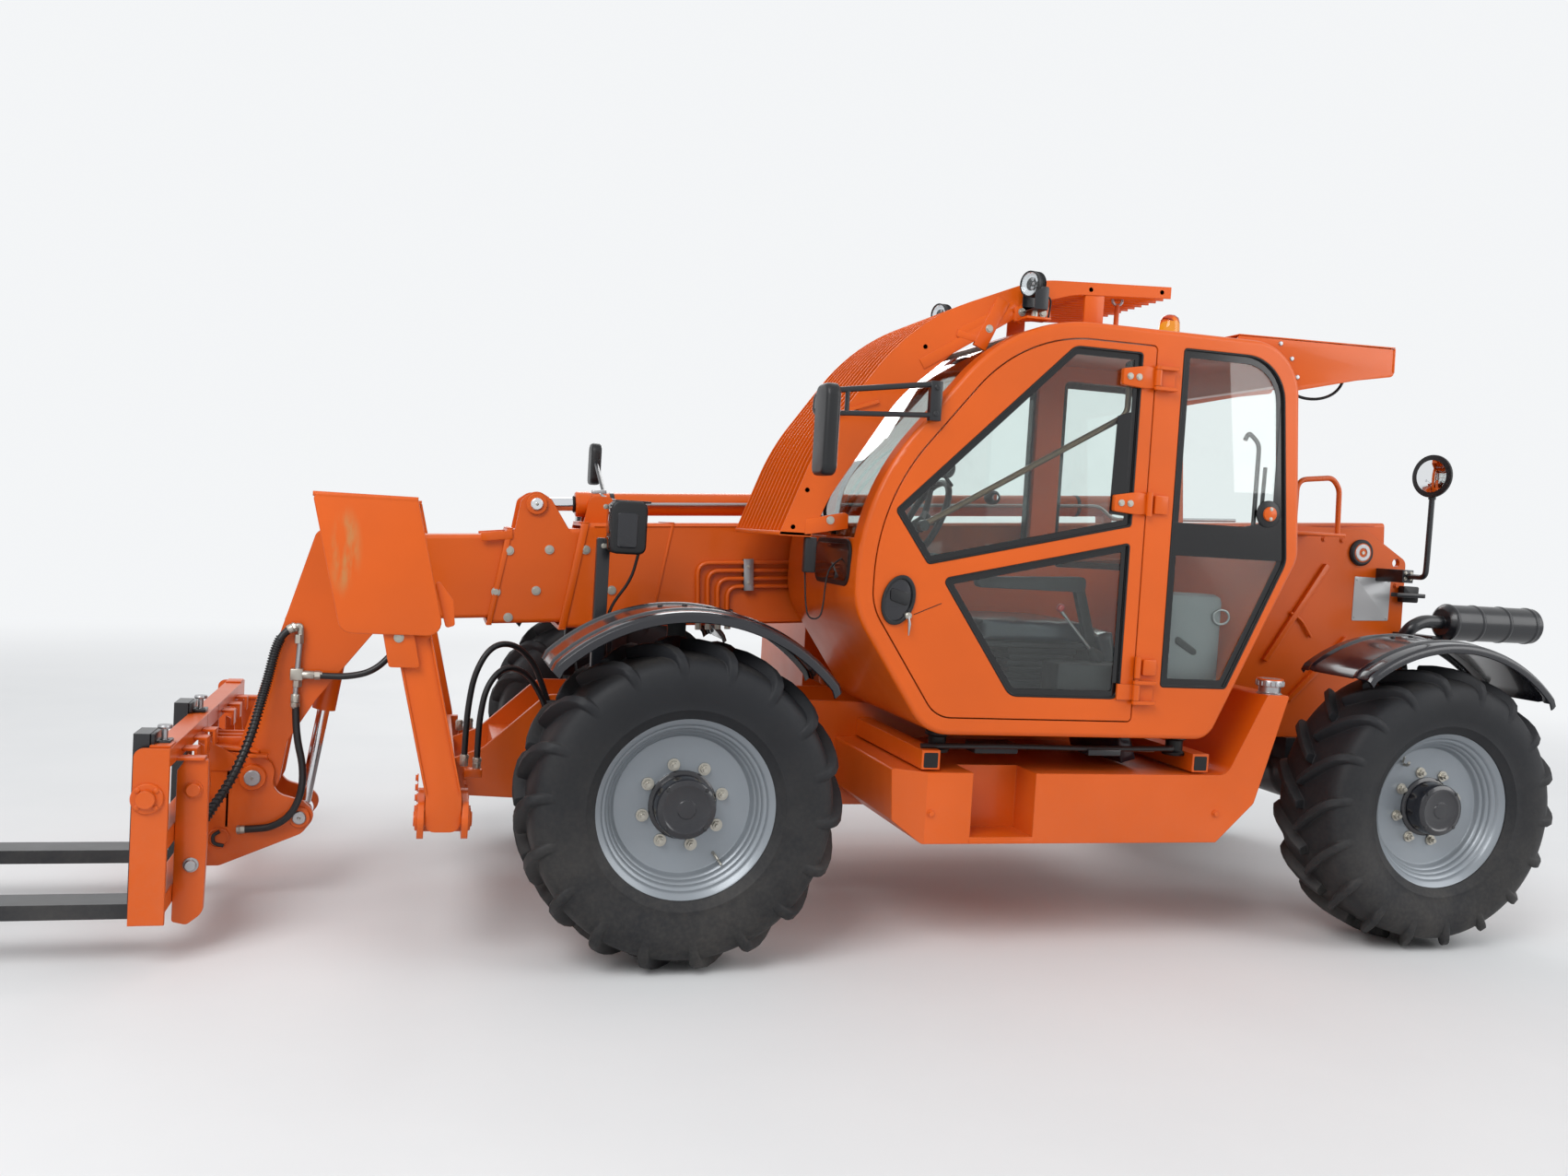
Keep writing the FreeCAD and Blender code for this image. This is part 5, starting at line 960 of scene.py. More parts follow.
def make_rim(corner, end_x, side, sizes):
    """A pressed rim with rolled rings, a black hub cap, nuts and a valve."""
    centre = Vector((end_x, side * TYRE_Y, AXLE_Z))
    out = (0, side, 0)
    piece = Piece(f"rim_pressed_{corner}", f"wheel_{corner}")
    piece.turned(RIM_SECTION, centre, "silver_rim", axis=out, sides=96, closed=True)
    piece.turned(HUB_SECTION, centre, "guard_plastic", axis=out, sides=48)
    body = f"wheel_{corner}"
    for index in range(NUTS):
        angle = 2 * math.pi * (index + 0.5) / NUTS + 0.13
        spot = centre + Vector((sizes.nut_circle * math.cos(angle), side * DISC_Y, sizes.nut_circle * math.sin(angle)))
        bolt(body, spot, out, 0.0155, "nut")
    for index in range(4):
        angle = math.pi * (index + 0.5) / 2
        spot = centre + Vector((0.096 * math.cos(angle), side * 0.1585, 0.096 * math.sin(angle)))
        bolt(body, spot, out, 0.006, "black")
    turn = math.radians(235 if corner.startswith("front") else 55)
    valve = Vector((math.cos(turn), 0, math.sin(turn)))
    foot = centre + valve * 0.212 + Vector((0, side * DISC_Y, 0))
    piece.tube([foot, foot + Vector((0, side * 0.022, 0)), foot + Vector((0, side * 0.04, 0)) + valve * 0.018],
               0.006, "zinc_bolt", bend=0.01)
    flat = [foot + valve * 0.012 + Vector((0, side * 0.001, 0)), foot + valve * 0.045 + Vector((0, side * 0.03, 0))]
    piece.tube(flat, 0.004, "zinc_bolt")
    piece.done(f"rim_{corner}", sharp=28)


GUARD_ARCS = {"front": (44, 141), "rear": (51, 138)}
GUARD_SECTION = (
    # across the machine, radius about the axle: the outside, then back along the inside
    (0.722, 0.668), (0.722, 0.685), (0.727, 0.691), (0.770, 0.692), (0.777, 0.697), (0.787, 0.700),
    (0.797, 0.697), (0.804, 0.692), (1.050, 0.692), (1.057, 0.697), (1.067, 0.700), (1.077, 0.697),
    (1.084, 0.692), (1.124, 0.692), (1.138, 0.689), (1.147, 0.680), (1.150, 0.666), (1.149, 0.655),
    (1.143, 0.652), (1.140, 0.656), (1.1415, 0.668), (1.138, 0.679), (1.130, 0.685), (1.084, 0.686),
    (1.067, 0.693), (1.050, 0.686), (0.804, 0.686), (0.787, 0.693), (0.770, 0.686), (0.730, 0.686), (0.728, 0.668),
)
GUARD_STEPS = 40


def make_mudguard(corner, end_x, side):
    """A moulded arch with two rolled ribs, its bracket and the bolts that hold it."""
    name = corner.split("_")[0]
    body = f"knuckle_{corner}"
    piece = Piece(f"mudguard_moulded_{corner}", body)
    first, last = (math.radians(angle) for angle in GUARD_ARCS[name])
    part = bmesh.new()
    rings = []
    for step in range(GUARD_STEPS + 1):
        share = step / GUARD_STEPS
        angle = first + (last - first) * share
        near_end = min(share, 1 - share) * GUARD_STEPS
        tuck = 0.010 * max(0.0, 1 - near_end) ** 2
        rings.append([part.verts.new((end_x + (radius - tuck) * math.cos(angle), side * across,
                                      AXLE_Z + (radius - tuck) * math.sin(angle)))
                      for across, radius in GUARD_SECTION])
    for near, far in zip(rings, rings[1:]):
        for index in range(len(near)):
            part.faces.new((near[index - 1], near[index], far[index], far[index - 1]))
    part.faces.new(rings[0])
    part.faces.new(rings[-1])
    piece.keep(part, "guard_plastic")
    sweep = [(side * across, AXLE_Z + up) for across, up in
             ((0.756, 0.121), (0.766, 0.121), (0.766, 0.190), (0.732, 0.262), (0.732, 0.684), (0.722, 0.684),
              (0.722, 0.258), (0.756, 0.186))]
    piece.prism(sweep, end_x - 0.035, end_x + 0.035, "black_paint", "x")
    plate = [(end_x - 0.16, side * 0.74), (end_x + 0.16, side * 0.74), (end_x + 0.12, side * 1.11),
             (end_x - 0.12, side * 1.11)]
    crown = AXLE_Z + 0.664
    piece.prism(plate, crown, crown + 0.008, "black_paint", "z")
    for x in (-0.09, 0.0, 0.09):
        bolt(body, (end_x + x, side * 1.09, crown - 0.001), (0, 0, -1), 0.009, "black")
        bolt(body, (end_x + x, side * 0.86, AXLE_Z + math.sqrt(0.692 ** 2 - x * x)), (x, 0, 0.692), 0.008, "black")
    piece.done(f"mudguard_{corner}", sharp=30)


class HANDLER_OT_wheels(bpy.types.Operator):
    """Makes the tyres and rims with their hub caps, nuts and valves"""
    bl_idname = "handler.wheels"
    bl_label = "Wheels"

    def execute(self, context):
        for corner, side in CORNERS:
            end_x = 0.0 if corner.startswith("front") else REAR_AXLE
            make_tyre(corner, end_x, side, context.scene.handler_sizes)
            make_rim(corner, end_x, side, context.scene.handler_sizes)
        return {"FINISHED"}


class HANDLER_OT_mudguards(bpy.types.Operator):
    """Makes the four mudguards, which turn with the wheels"""
    bl_idname = "handler.mudguards"
    bl_label = "Mudguards"

    def execute(self, context):
        for corner, side in CORNERS:
            make_mudguard(corner, 0.0 if corner.startswith("front") else REAR_AXLE, side)
        return {"FINISHED"}


class HANDLER_OT_bolts(bpy.types.Operator):
    """Turns the bolts noted by the other steps into meshes, one for each body and kind"""
    bl_idname = "handler.bolts"
    bl_label = "Bolts"

    def execute(self, context):
        make_bolts()
        return {"FINISHED"}


# Cab: outlines of its panes, in metres from the front axle and the ground
def inset(loop, distance):
    """A loop of corners moved inwards, with the same number of points once rounded."""
    moved = grown([corner[:2] for corner in loop], -distance)
    return [(point[0], point[1], max(corner[2] - distance, 0.004)) for point, corner in zip(moved, loop)]


PANES = {
    # name: outline, body, border, inner face of the border
    "door_upper": (mm([(-1632, 2312, 15), (-1350, 2312, 60), (-690, 1668, 20), (-828, 1478, 20), (-1632, 1662, 15)]),
                   "cab_door", 0.030, 1.1084),
    "door_lower": (mm([(-1632, 1602, 15), (-885, 1432, 20), (-1180, 1010, 60), (-1632, 1010, 40)]),
                   "cab_door", 0.030, 1.1084),
    "rear_side": (mm([(-1800, 2345, 15), (-2240, 2345, 180), (-2315, 1560, 100), (-2085, 1060, 20), (-1800, 1060, 15)]),
                  "chassis", 0.034, 1.1084),
    "right_front": (mm([(-1640, 2300, 30), (-1180, 2300, 200), (-760, 1800, 300), (-720, 1480, 60), (-1640, 1480, 30)]),
                    "chassis", 0.030, 0.2146),
    "right_rear": (mm([(-1760, 2300, 30), (-2200, 2300, 160), (-2290, 1600, 60), (-2270, 1480, 30), (-1760, 1480, 30)]),
                   "chassis", 0.030, 0.2146),
}
BORDER_THICK = 0.0022
CAB_FACE = 1.120


def make_pane_borders():
    """Black bands round the panes, and the rubber that holds each in its opening."""
    pieces = {body: Piece(f"pane_borders_{body}", body) for body in ("cab_door", "chassis")}
    for name, (loop, body, border, face_y) in PANES.items():
        piece = pieces[body]
        outer, inner = inset(loop, 0.003), inset(loop, border)
        piece.prism(rounded(outer), face_y, face_y + BORDER_THICK, "pane_border", bevel=0, hole=rounded(inner))
        seal_out, seal_in = inset(loop, 0.0008), inset(loop, 0.0075)
        deep = (face_y, CAB_FACE + 0.0015) if face_y > 1 else (0.2036, face_y)
        piece.prism(rounded(seal_out), *deep, "rubber_seal", bevel=0.0012, hole=rounded(seal_in))
    band = [(-1.803, 1.565), (-1.803, 1.690), (-2.120, 1.690), (-2.300, 1.735), (-2.309, 1.565)]
    pieces["chassis"].prism(band, 1.1084, 1.1084 + BORDER_THICK * 1.3, "pane_border", bevel=0)
    pieces["chassis"].prism([(-2.243, 1.70), (-2.303, 1.72), (-2.262, 2.16), (-2.242, 2.16)], 1.1084, 1.111,
                            "pane_border", bevel=0)
    pieces["cab_door"].prism([(-1.606, 1.70), (-1.540, 1.705), (-1.548, 2.07), (-1.606, 2.09)], 1.1084, 1.1108,
                             "pane_border", bevel=0)
    for piece in pieces.values():
        piece.done()


def make_cab_fittings():
    """Door handle, hinge plates, window latch, grab bar, wiper and the roof's fittings."""
    door = Piece("door_fittings", "cab_door")
    oval = [(-0.722 + 0.063 * math.cos(turn) - 0.012 * math.sin(turn), 1.347 + 0.090 * math.sin(turn))
            for turn in (2 * math.pi * step / 40 for step in range(40))]
    inner = [(-0.722 + (x + 0.722) * 0.80, 1.347 + (z - 1.347) * 0.84) for x, z in oval]
    door.prism(oval, CAB_FACE - 0.001, CAB_FACE + 0.010, "black_plastic", bevel=0.003, hole=inner, segments=3)
    door.prism(inner, CAB_FACE - 0.0005, CAB_FACE + 0.003, "guard_plastic", bevel=0.0005)
    door.prism(rounded([(-0.760, 1.372, 0.012), (-0.688, 1.392, 0.012), (-0.690, 1.345, 0.012), (-0.760, 1.325, 0.012)], 5),
               CAB_FACE + 0.002, CAB_FACE + 0.013, "black_plastic", bevel=0.003)
    door.turned([(0, 0.013), (0.012, 0.013), (0.016, 0.009), (0.016, 0)], (-0.762, CAB_FACE + 0.001, 1.292),
                "zinc_bolt", sides=20)
    door.tube([(-0.762, CAB_FACE + 0.014, 1.292), (-0.764, CAB_FACE + 0.020, 1.262), (-0.766, CAB_FACE + 0.012, 1.222)],
              [0.003, 0.006, 0.002], "bare_steel", sides=8)
    door.prism([(-0.785, 1.298), (-0.7855, 1.2955), (-0.8895, 1.3405), (-0.889, 1.343)], CAB_FACE - 0.001,
               CAB_FACE + 0.0012, "rubber_seal", bevel=0)
    for low, high in ((2.190, 2.250), (1.720, 1.780)):
        plate = rounded([(-1.548, low - 0.004, 0.008), (-1.548, high - 0.004, 0.008), (-1.640, high + 0.012, 0.008),
                         (-1.690, high + 0.006, 0.006), (-1.690, low - 0.008, 0.006), (-1.640, low - 0.012, 0.008)], 4)
        door.prism(plate, 1.1086, CAB_FACE + 0.013, "orange_plain", bevel=0.003)
        for x in (-1.575, -1.612):
            bolt("cab_door", (x, CAB_FACE + 0.013, (low + high) / 2 - 0.002), (0, 1, 0), 0.0085, "round")
    door.tube([(-0.812, 1.075, 1.618), (-1.594, 1.062, 2.071), (-1.612, 1.062, 2.10), (-1.604, 1.075, 2.262)],
              0.0115, "bronze_bar", sides=14, bend=0.05)
    for x, z in ((-0.812, 1.618), (-1.604, 2.262)):
        door.turned([(0, 0.02), (0.03, 0.02)], (x, 1.070, z), "black_plastic", sides=16)
    door.box((-1.690, 1.060, 1.560), (-1.640, 1.080, 1.640), "black_plastic", 0.004)
    door.done()

    cab = Piece("cab_fittings", "chassis")
    cab.turned([(0, 0.052), (0.006, 0.052), (0.010, 0.046), (0.010, 0)], (-2.222, 1.110, 1.745), "black_plastic", sides=32)
    cab.turned([(0, 0.028), (0.010, 0.028), (0.014, 0.022), (0.014, 0)], (-2.222, 1.118, 1.745), "orange_plain", sides=28)
    for up in (-0.019, 0.019):
        bolt("chassis", (-2.222, 1.131, 1.745 + up), (0, 1, 0), 0.005, "round")
    for x in (-1.725,):
        for low, high in ((1.715, 1.785), (1.105, 1.165)):
            cab.prism(rounded([(x + 0.010, low, 0.006), (x + 0.010, high, 0.006), (x - 0.045, high, 0.006),
                               (x - 0.045, low, 0.006)], 4), CAB_FACE - 0.001, CAB_FACE + 0.016, "orange_plain", bevel=0.003)
            cab.tube([(-1.690, 1.137, low - 0.010), (-1.690, 1.137, high + 0.010)], 0.012, "orange_plain")
    # small window under the windscreen, with its frame
    glass = rounded([(0.62, 1.40, 0.04), (1.02, 1.40, 0.04), (1.02, 1.535, 0.04), (0.62, 1.535, 0.04)], 6)
    cab.prism(grown(glass, 0.018), -0.566, -0.5575, "rubber_seal", "x", 0.002)
    cab.prism(glass, -0.5585, -0.5555, "clear_glass", "x", 0.001)
    cab.tube([(-0.585, 0.66, 1.60), (-0.560, 0.67, 1.66), (-0.640, 0.70, 1.92), (-0.800, 0.72, 2.14)], 0.007,
             "black_plastic", bend=0.08)
    cab.tube([(-0.705, 0.66, 2.00), (-0.580, 0.62, 1.72)], 0.006, "rubber_seal")
    cab.box((-0.600, 0.63, 1.575), (-0.560, 0.70, 1.615), "black_plastic", 0.006)
    # lifting eye on the roof
    ring = [Vector((-1.628 + 0.021 * math.cos(turn), 0.9, 2.538 + 0.021 * math.sin(turn)))
            for turn in (2 * math.pi * step / 24 for step in range(25))]
    cab.tube(ring, 0.0055, "bare_steel", sides=10)
    cab.tube([(-1.628, 0.9, 2.400), (-1.628, 0.9, 2.520)], 0.010, "orange_plain")
    cab.turned([(0, 0.03), (0.012, 0.026), (0.014, 0)], (-1.628, 0.9, 2.404), "orange_plain", axis=(0, 0, 1), sides=24)
    cab.done()


def make_guard():
    """Windscreen guard: a row of curved slats, cross bars, and a braced plate on the near side."""
    loop = mm([(-300, 1555), (-430, 1900, 900), (-760, 2360, 800), (-1240, 2560, 500), (-1800, 2590),
               (-1800, 2545), (-1400, 2520, 300), (-1130, 2440, 500), (-720, 2080, 600), (-480, 1700, 600),
               (-420, 1555)])
    outline = rounded(loop, 10)
    seed = Piece("slat", "chassis")
    seed.prism(outline, 0.300, 0.3045, "orange_plain", bevel=0.0012, segments=1)
    mesh = bpy.data.meshes.new("slat")
    seed.store.to_mesh(mesh)
    seed.store.free()
    row = run_tree(mesh, "RepeatInRow", "orange_plain", count=GUARD_SLATS,
                   step=(0, (0.9955 - 0.300) / (GUARD_SLATS - 1), 0))
    piece = Piece("windscreen_guard_slats", "chassis")
    slats = bmesh.new()
    slats.from_mesh(row)
    piece.keep(slats, "orange_plain")
    for x, z in ((-0.350, 1.585), (-0.395, 1.720), (-0.560, 2.020), (-0.810, 2.270), (-1.190, 2.500), (-1.460, 2.545),
                 (-1.760, 2.566)):
        piece.tube([(x, 0.300, z), (x, 1.000, z)], 0.009, "orange_plain", sides=10)
    piece.prism(mm([(-395, 1577), (-395, 1593), (-556, 1593), (-556, 1577)]), 0.30, 0.318, "orange_plain")
    piece.prism(mm([(-395, 1560), (-395, 1615), (-540, 1648), (-556, 1640), (-556, 1590), (-450, 1570)]), 0.984, 1.0025,
                "orange_plain")
    piece.box((-0.447, 0.960, 1.424), (-0.402, 0.992, 1.552), "black_plastic", 0.006)
    bolt("chassis", (-0.487, 1.0025, 1.617), (0, 1, 0), 0.010, "round")
    piece.bar((-0.800, 2.205), (-1.150, 2.425), 0.020, 0.988, 1.004, "orange_plain")
    piece.bar((-0.930, 2.330), (-1.052, 2.310), 0.012, 0.989, 1.0052, "orange_plain")
    piece.bar((-0.940, 2.330), (-1.155, 2.455), 0.018, 0.987, 1.0028, "orange_plain")
    piece.bar((-1.105, 2.470), (-1.020, 2.285), 0.026, 0.990, 1.0065, "orange_plain")
    piece.bar((-1.160, 2.400), (-1.235, 2.500), 0.022, 0.986, 1.0016, "orange_plain")
    plate = rounded(mm([(-1150, 2394), (-1150, 2450, 10), (-1290, 2462, 10), (-1300, 2412)]), 4)
    piece.prism(plate, 0.985, 1.012, "orange_plain", bevel=0.003)
    for x, z in ((-1.054, 2.358), (-1.177, 2.430), (-1.262, 2.434)):
        bolt("chassis", (x, 1.004 if x > -1.1 else 1.012, z), (0, 1, 0), 0.010, "round")
    for y in (0.300, 0.985):
        piece.box((-1.520, y, 2.402), (-1.440, y + 0.012, 2.550), "orange_plain")
    piece.prism([(0.300, 1.552), (1.000, 1.552), (1.000, 1.568), (0.300, 1.568)], -0.42, -0.30, "orange_plain", "x")
    piece.prism(mm([(-452, 1995), (-640, 2062), (-646, 2050), (-458, 1984)]), 0.991, 1.010, "orange_plain", bevel=0.002)
    piece.done("windscreen_guard")


GUARD_SLATS = 14


def make_lamps():
    """Work lamps, beacon, headlights on their posts."""
    piece = Piece("lamp_set", "chassis")
    for y, x in ((1.062, -1.220), (0.250, -1.190)):
        centre = (x, y, 2.525)
        aim = Vector((0.93, 0.36, -0.05))
        piece.turned([(0.000, 0.0), (0.002, 0.020), (0.012, 0.036), (0.030, 0.0455), (0.050, 0.0475), (0.0575, 0.0475),
                      (0.0585, 0.0440), (0.0400, 0.0430), (0.0400, 0.0)], centre, "black_plastic", axis=aim, sides=36)
        piece.turned([(0.0405, 0.0), (0.0410, 0.020), (0.0480, 0.0425), (0.0500, 0.0425), (0.0430, 0.020), (0.0425, 0.0)],
                     centre, "mirror_face", axis=aim, sides=36)
        piece.turned([(0.0510, 0.0), (0.0510, 0.0425), (0.0565, 0.0425), (0.058, 0.030), (0.0585, 0.0)], centre,
                     "lamp_lens", axis=aim, sides=36)
        for spot in range(6):
            turn = math.pi * spot / 3
            where = Vector(centre) + aim.normalized() * 0.0435 + Vector((0, 0.018 * math.cos(turn), 0.018 * math.sin(turn)))
            piece.turned([(0, 0.007), (0.002, 0.006), (0.003, 0)], where, "blank_plate", axis=aim, sides=12)
        for ring in range(4):
            piece.turned([(0.016 + ring * 0.008, 0.038), (0.018 + ring * 0.008, 0.0475),
                          (0.020 + ring * 0.008, 0.038)], centre, "black_plastic", axis=aim, sides=36)
        foot = FOOT_HEIGHTS[y]
        piece.prism(rounded([(x - 0.012, foot + 0.030, 0.006), (x + 0.042, foot + 0.030, 0.006), (x + 0.042, 2.512, 0.006),
                             (x - 0.012, 2.512, 0.006)], 3), y - 0.054, y - 0.050, "black_paint", bevel=0.001)
        piece.prism(rounded([(x - 0.012, foot + 0.030, 0.006), (x + 0.042, foot + 0.030, 0.006), (x + 0.042, 2.512, 0.006),
                             (x - 0.012, 2.512, 0.006)], 3), y + 0.050, y + 0.054, "black_paint", bevel=0.001)
        piece.box((x - 0.012, y - 0.054, foot + 0.028), (x + 0.042, y + 0.054, foot + 0.033), "black_paint")
        piece.turned([(0, 0.012), (0.034, 0.012)], (x + 0.015, y, foot), "zinc_bolt", axis=(0, 0, 1), sides=14)
        piece.box((x - 0.035, y - 0.035, foot - 0.004), (x + 0.060, y + 0.035, foot + 0.005), "orange_plain")
        piece.tube([(x + 0.004, y, 2.500), (x - 0.045, y + 0.01, 2.482), (x - 0.040, y, foot + 0.004)], 0.0035,
                   "rubber_seal", bend=0.04, sides=8)
    roof = 2.405
    piece.turned([(0.0, 0.047), (0.016, 0.046), (0.022, 0.040)], (-1.862, 0.9, roof), "black_plastic", axis=(0, 0, 1), sides=36)
    piece.turned([(0.020, 0.040), (0.028, 0.041), (0.070, 0.039), (0.088, 0.033), (0.098, 0.020), (0.102, 0.0)],
                 (-1.862, 0.9, roof), "amber_lens", axis=(0, 0, 1), sides=36)
    for side in (1, -1):
        y = side * 0.5
        piece.prism(rounded(mm([(235, 800, 8), (285, 800, 8), (285, 1500, 8), (235, 1500, 8)]), 4), y - 0.020, y + 0.020,
                    "black_paint", bevel=0.002)
        box = rounded([(0.112, 1.445, 0.03), (0.250, 1.445, 0.03), (0.250, 1.645, 0.03), (0.112, 1.645, 0.03)], 5)
        box_y = side * 0.56
        piece.prism(box, box_y - 0.062, box_y + 0.062, "black_plastic", bevel=0.010, segments=3)
        lens = rounded([(box_y - 0.050, 1.520, 0.02), (box_y + 0.050, 1.520, 0.02), (box_y + 0.050, 1.632, 0.02),
                        (box_y - 0.050, 1.632, 0.02)], 5)
        piece.prism(lens, 0.246, 0.254, "lamp_lens", "x", 0.003)
        signal = rounded([(box_y - 0.050, 1.458, 0.01), (box_y + 0.050, 1.458, 0.01), (box_y + 0.050, 1.508, 0.01),
                          (box_y - 0.050, 1.508, 0.01)], 4)
        piece.prism(signal, 0.246, 0.256, "amber_lens", "x", 0.003)
        side_lens = rounded([(0.150, 1.47, 0.012), (0.225, 1.47, 0.012), (0.225, 1.60, 0.012), (0.150, 1.60, 0.012)], 4)
        outer = box_y + side * 0.061
        piece.prism(side_lens, min(outer, outer + side * 0.004), max(outer, outer + side * 0.004), "guard_plastic", bevel=0.001)
        piece.box((0.100, box_y - 0.050, 1.640), (0.235, box_y + 0.050, 1.648), "black_plastic", 0.002)
        arm = sorted((side * 0.2603, side * 0.52))
        piece.box((0.235, arm[0], 0.800), (0.285, arm[1], 0.850), "black_paint", 0.004)
        for z in (1.47, 1.62):
            bolt("chassis", (0.260, y + side * 0.020, z), (0, side, 0), 0.007, "hex")
        bolt("chassis", (0.260, y, 0.800), (0, 0, -1), 0.010, "hex")
        piece.tube([(0.130, box_y, 1.455), (0.150, box_y - side * 0.02, 1.35), (0.232, y, 1.22), (0.230, y, 0.90),
                    (0.228, side * 0.36, 0.860)], 0.006, "hose_rubber", bend=0.08, sides=8)
    piece.done("lamps")


FOOT_HEIGHTS = {1.062: 2.4004, 0.250: 2.4023}


def make_mirrors():
    """Two long mirrors on tubes in front, and a round one on a post at the rear."""
    piece = Piece("mirror_set", "chassis")
    housing = rounded([(1.172, 1.764, 0.035), (1.318, 1.764, 0.035), (1.318, 2.076, 0.045), (1.172, 2.076, 0.045)], 6)
    piece.prism(housing, -0.404, -0.352, "black_plastic", "x", 0.014, segments=3)
    face = grown(housing, -0.014)
    piece.prism(face, -0.4055, -0.400, "mirror_face", "x", 0.001)
    arm_y = 1.140
    piece.tube([(-0.800, arm_y, 2.120), (-0.420, arm_y, 2.066), (-0.368, arm_y, 2.050), (-0.362, arm_y + 0.01, 1.985),
                (-0.372, arm_y + 0.045, 1.975)], 0.0105, "black_paint", bend=0.05)
    piece.tube([(-0.800, arm_y, 2.010), (-0.365, arm_y, 1.985)], 0.0095, "black_paint")
    piece.tube([(-0.480, arm_y, 1.992), (-0.480, arm_y, 2.075)], 0.0085, "black_paint")
    piece.tube([(-0.374, arm_y, 2.010), (-0.378, 1.190, 2.010)], 0.010, "black_paint")
    piece.box((-0.830, 1.1203, 1.990), (-0.785, 1.152, 2.132), "black_paint", 0.004)
    for z in (2.015, 2.108):
        bolt("chassis", (-0.808, 1.152, z), (0, 1, 0), 0.008, "black")
    right = rounded([(-1.318, 1.744, 0.035), (-1.172, 1.744, 0.035), (-1.172, 1.956, 0.045), (-1.318, 1.956, 0.045)], 6)
    piece.prism(right, 0.074, 0.126, "black_plastic", "x", 0.014, segments=3)
    piece.prism(grown(right, -0.014), 0.0725, 0.080, "mirror_face", "x", 0.001)
    piece.tube([(0.102, -0.6296, 1.600), (0.102, -0.70, 1.66), (0.102, -1.190, 1.860)], 0.0105, "black_paint", bend=0.03)
    piece.box((0.085, -0.640, 1.570), (0.119, -0.622, 1.630), "black_paint", 0.003)
    # rear mirror: a bracket out from the tower, a post, a round glass with an amber back
    piece.prism(mm([(-3500, 1500), (-3440, 1500), (-3440, 1560), (-3500, 1560)]), 0.2603, 0.440, "black_paint", bevel=0.003)
    piece.tube([(-3.470, 0.36, 1.530), (-3.470, 0.548, 1.530), (-3.470, 0.550, 1.600), (-3.470, 0.550, 1.900)], 0.0125,
               "black_paint", bend=0.04)
    piece.turned([(-0.022, 0.0), (-0.021, 0.045), (-0.014, 0.080), (0.0, 0.0945), (0.008, 0.0945), (0.010, 0.090)],
                 (-3.465, 0.550, 1.990), "orange_plain", axis=(1, 0.25, 0), sides=40)
    piece.turned([(0.006, 0.090), (0.013, 0.070), (0.018, 0.035), (0.0195, 0.0)], (-3.465, 0.550, 1.990), "mirror_face",
                 axis=(1, 0.25, 0), sides=40)
    piece.turned([(-0.0015, 0.088), (-0.001, 0.0965), (0.010, 0.0965), (0.012, 0.088)], (-3.465, 0.550, 1.990),
                 "black_plastic", axis=(1, 0.25, 0), sides=40)
    piece.turned([(0, 0.016), (0.03, 0.016)], (-3.470, 0.550, 1.885), "black_plastic", axis=(0, 0, 1), sides=16)
    piece.done("mirrors")


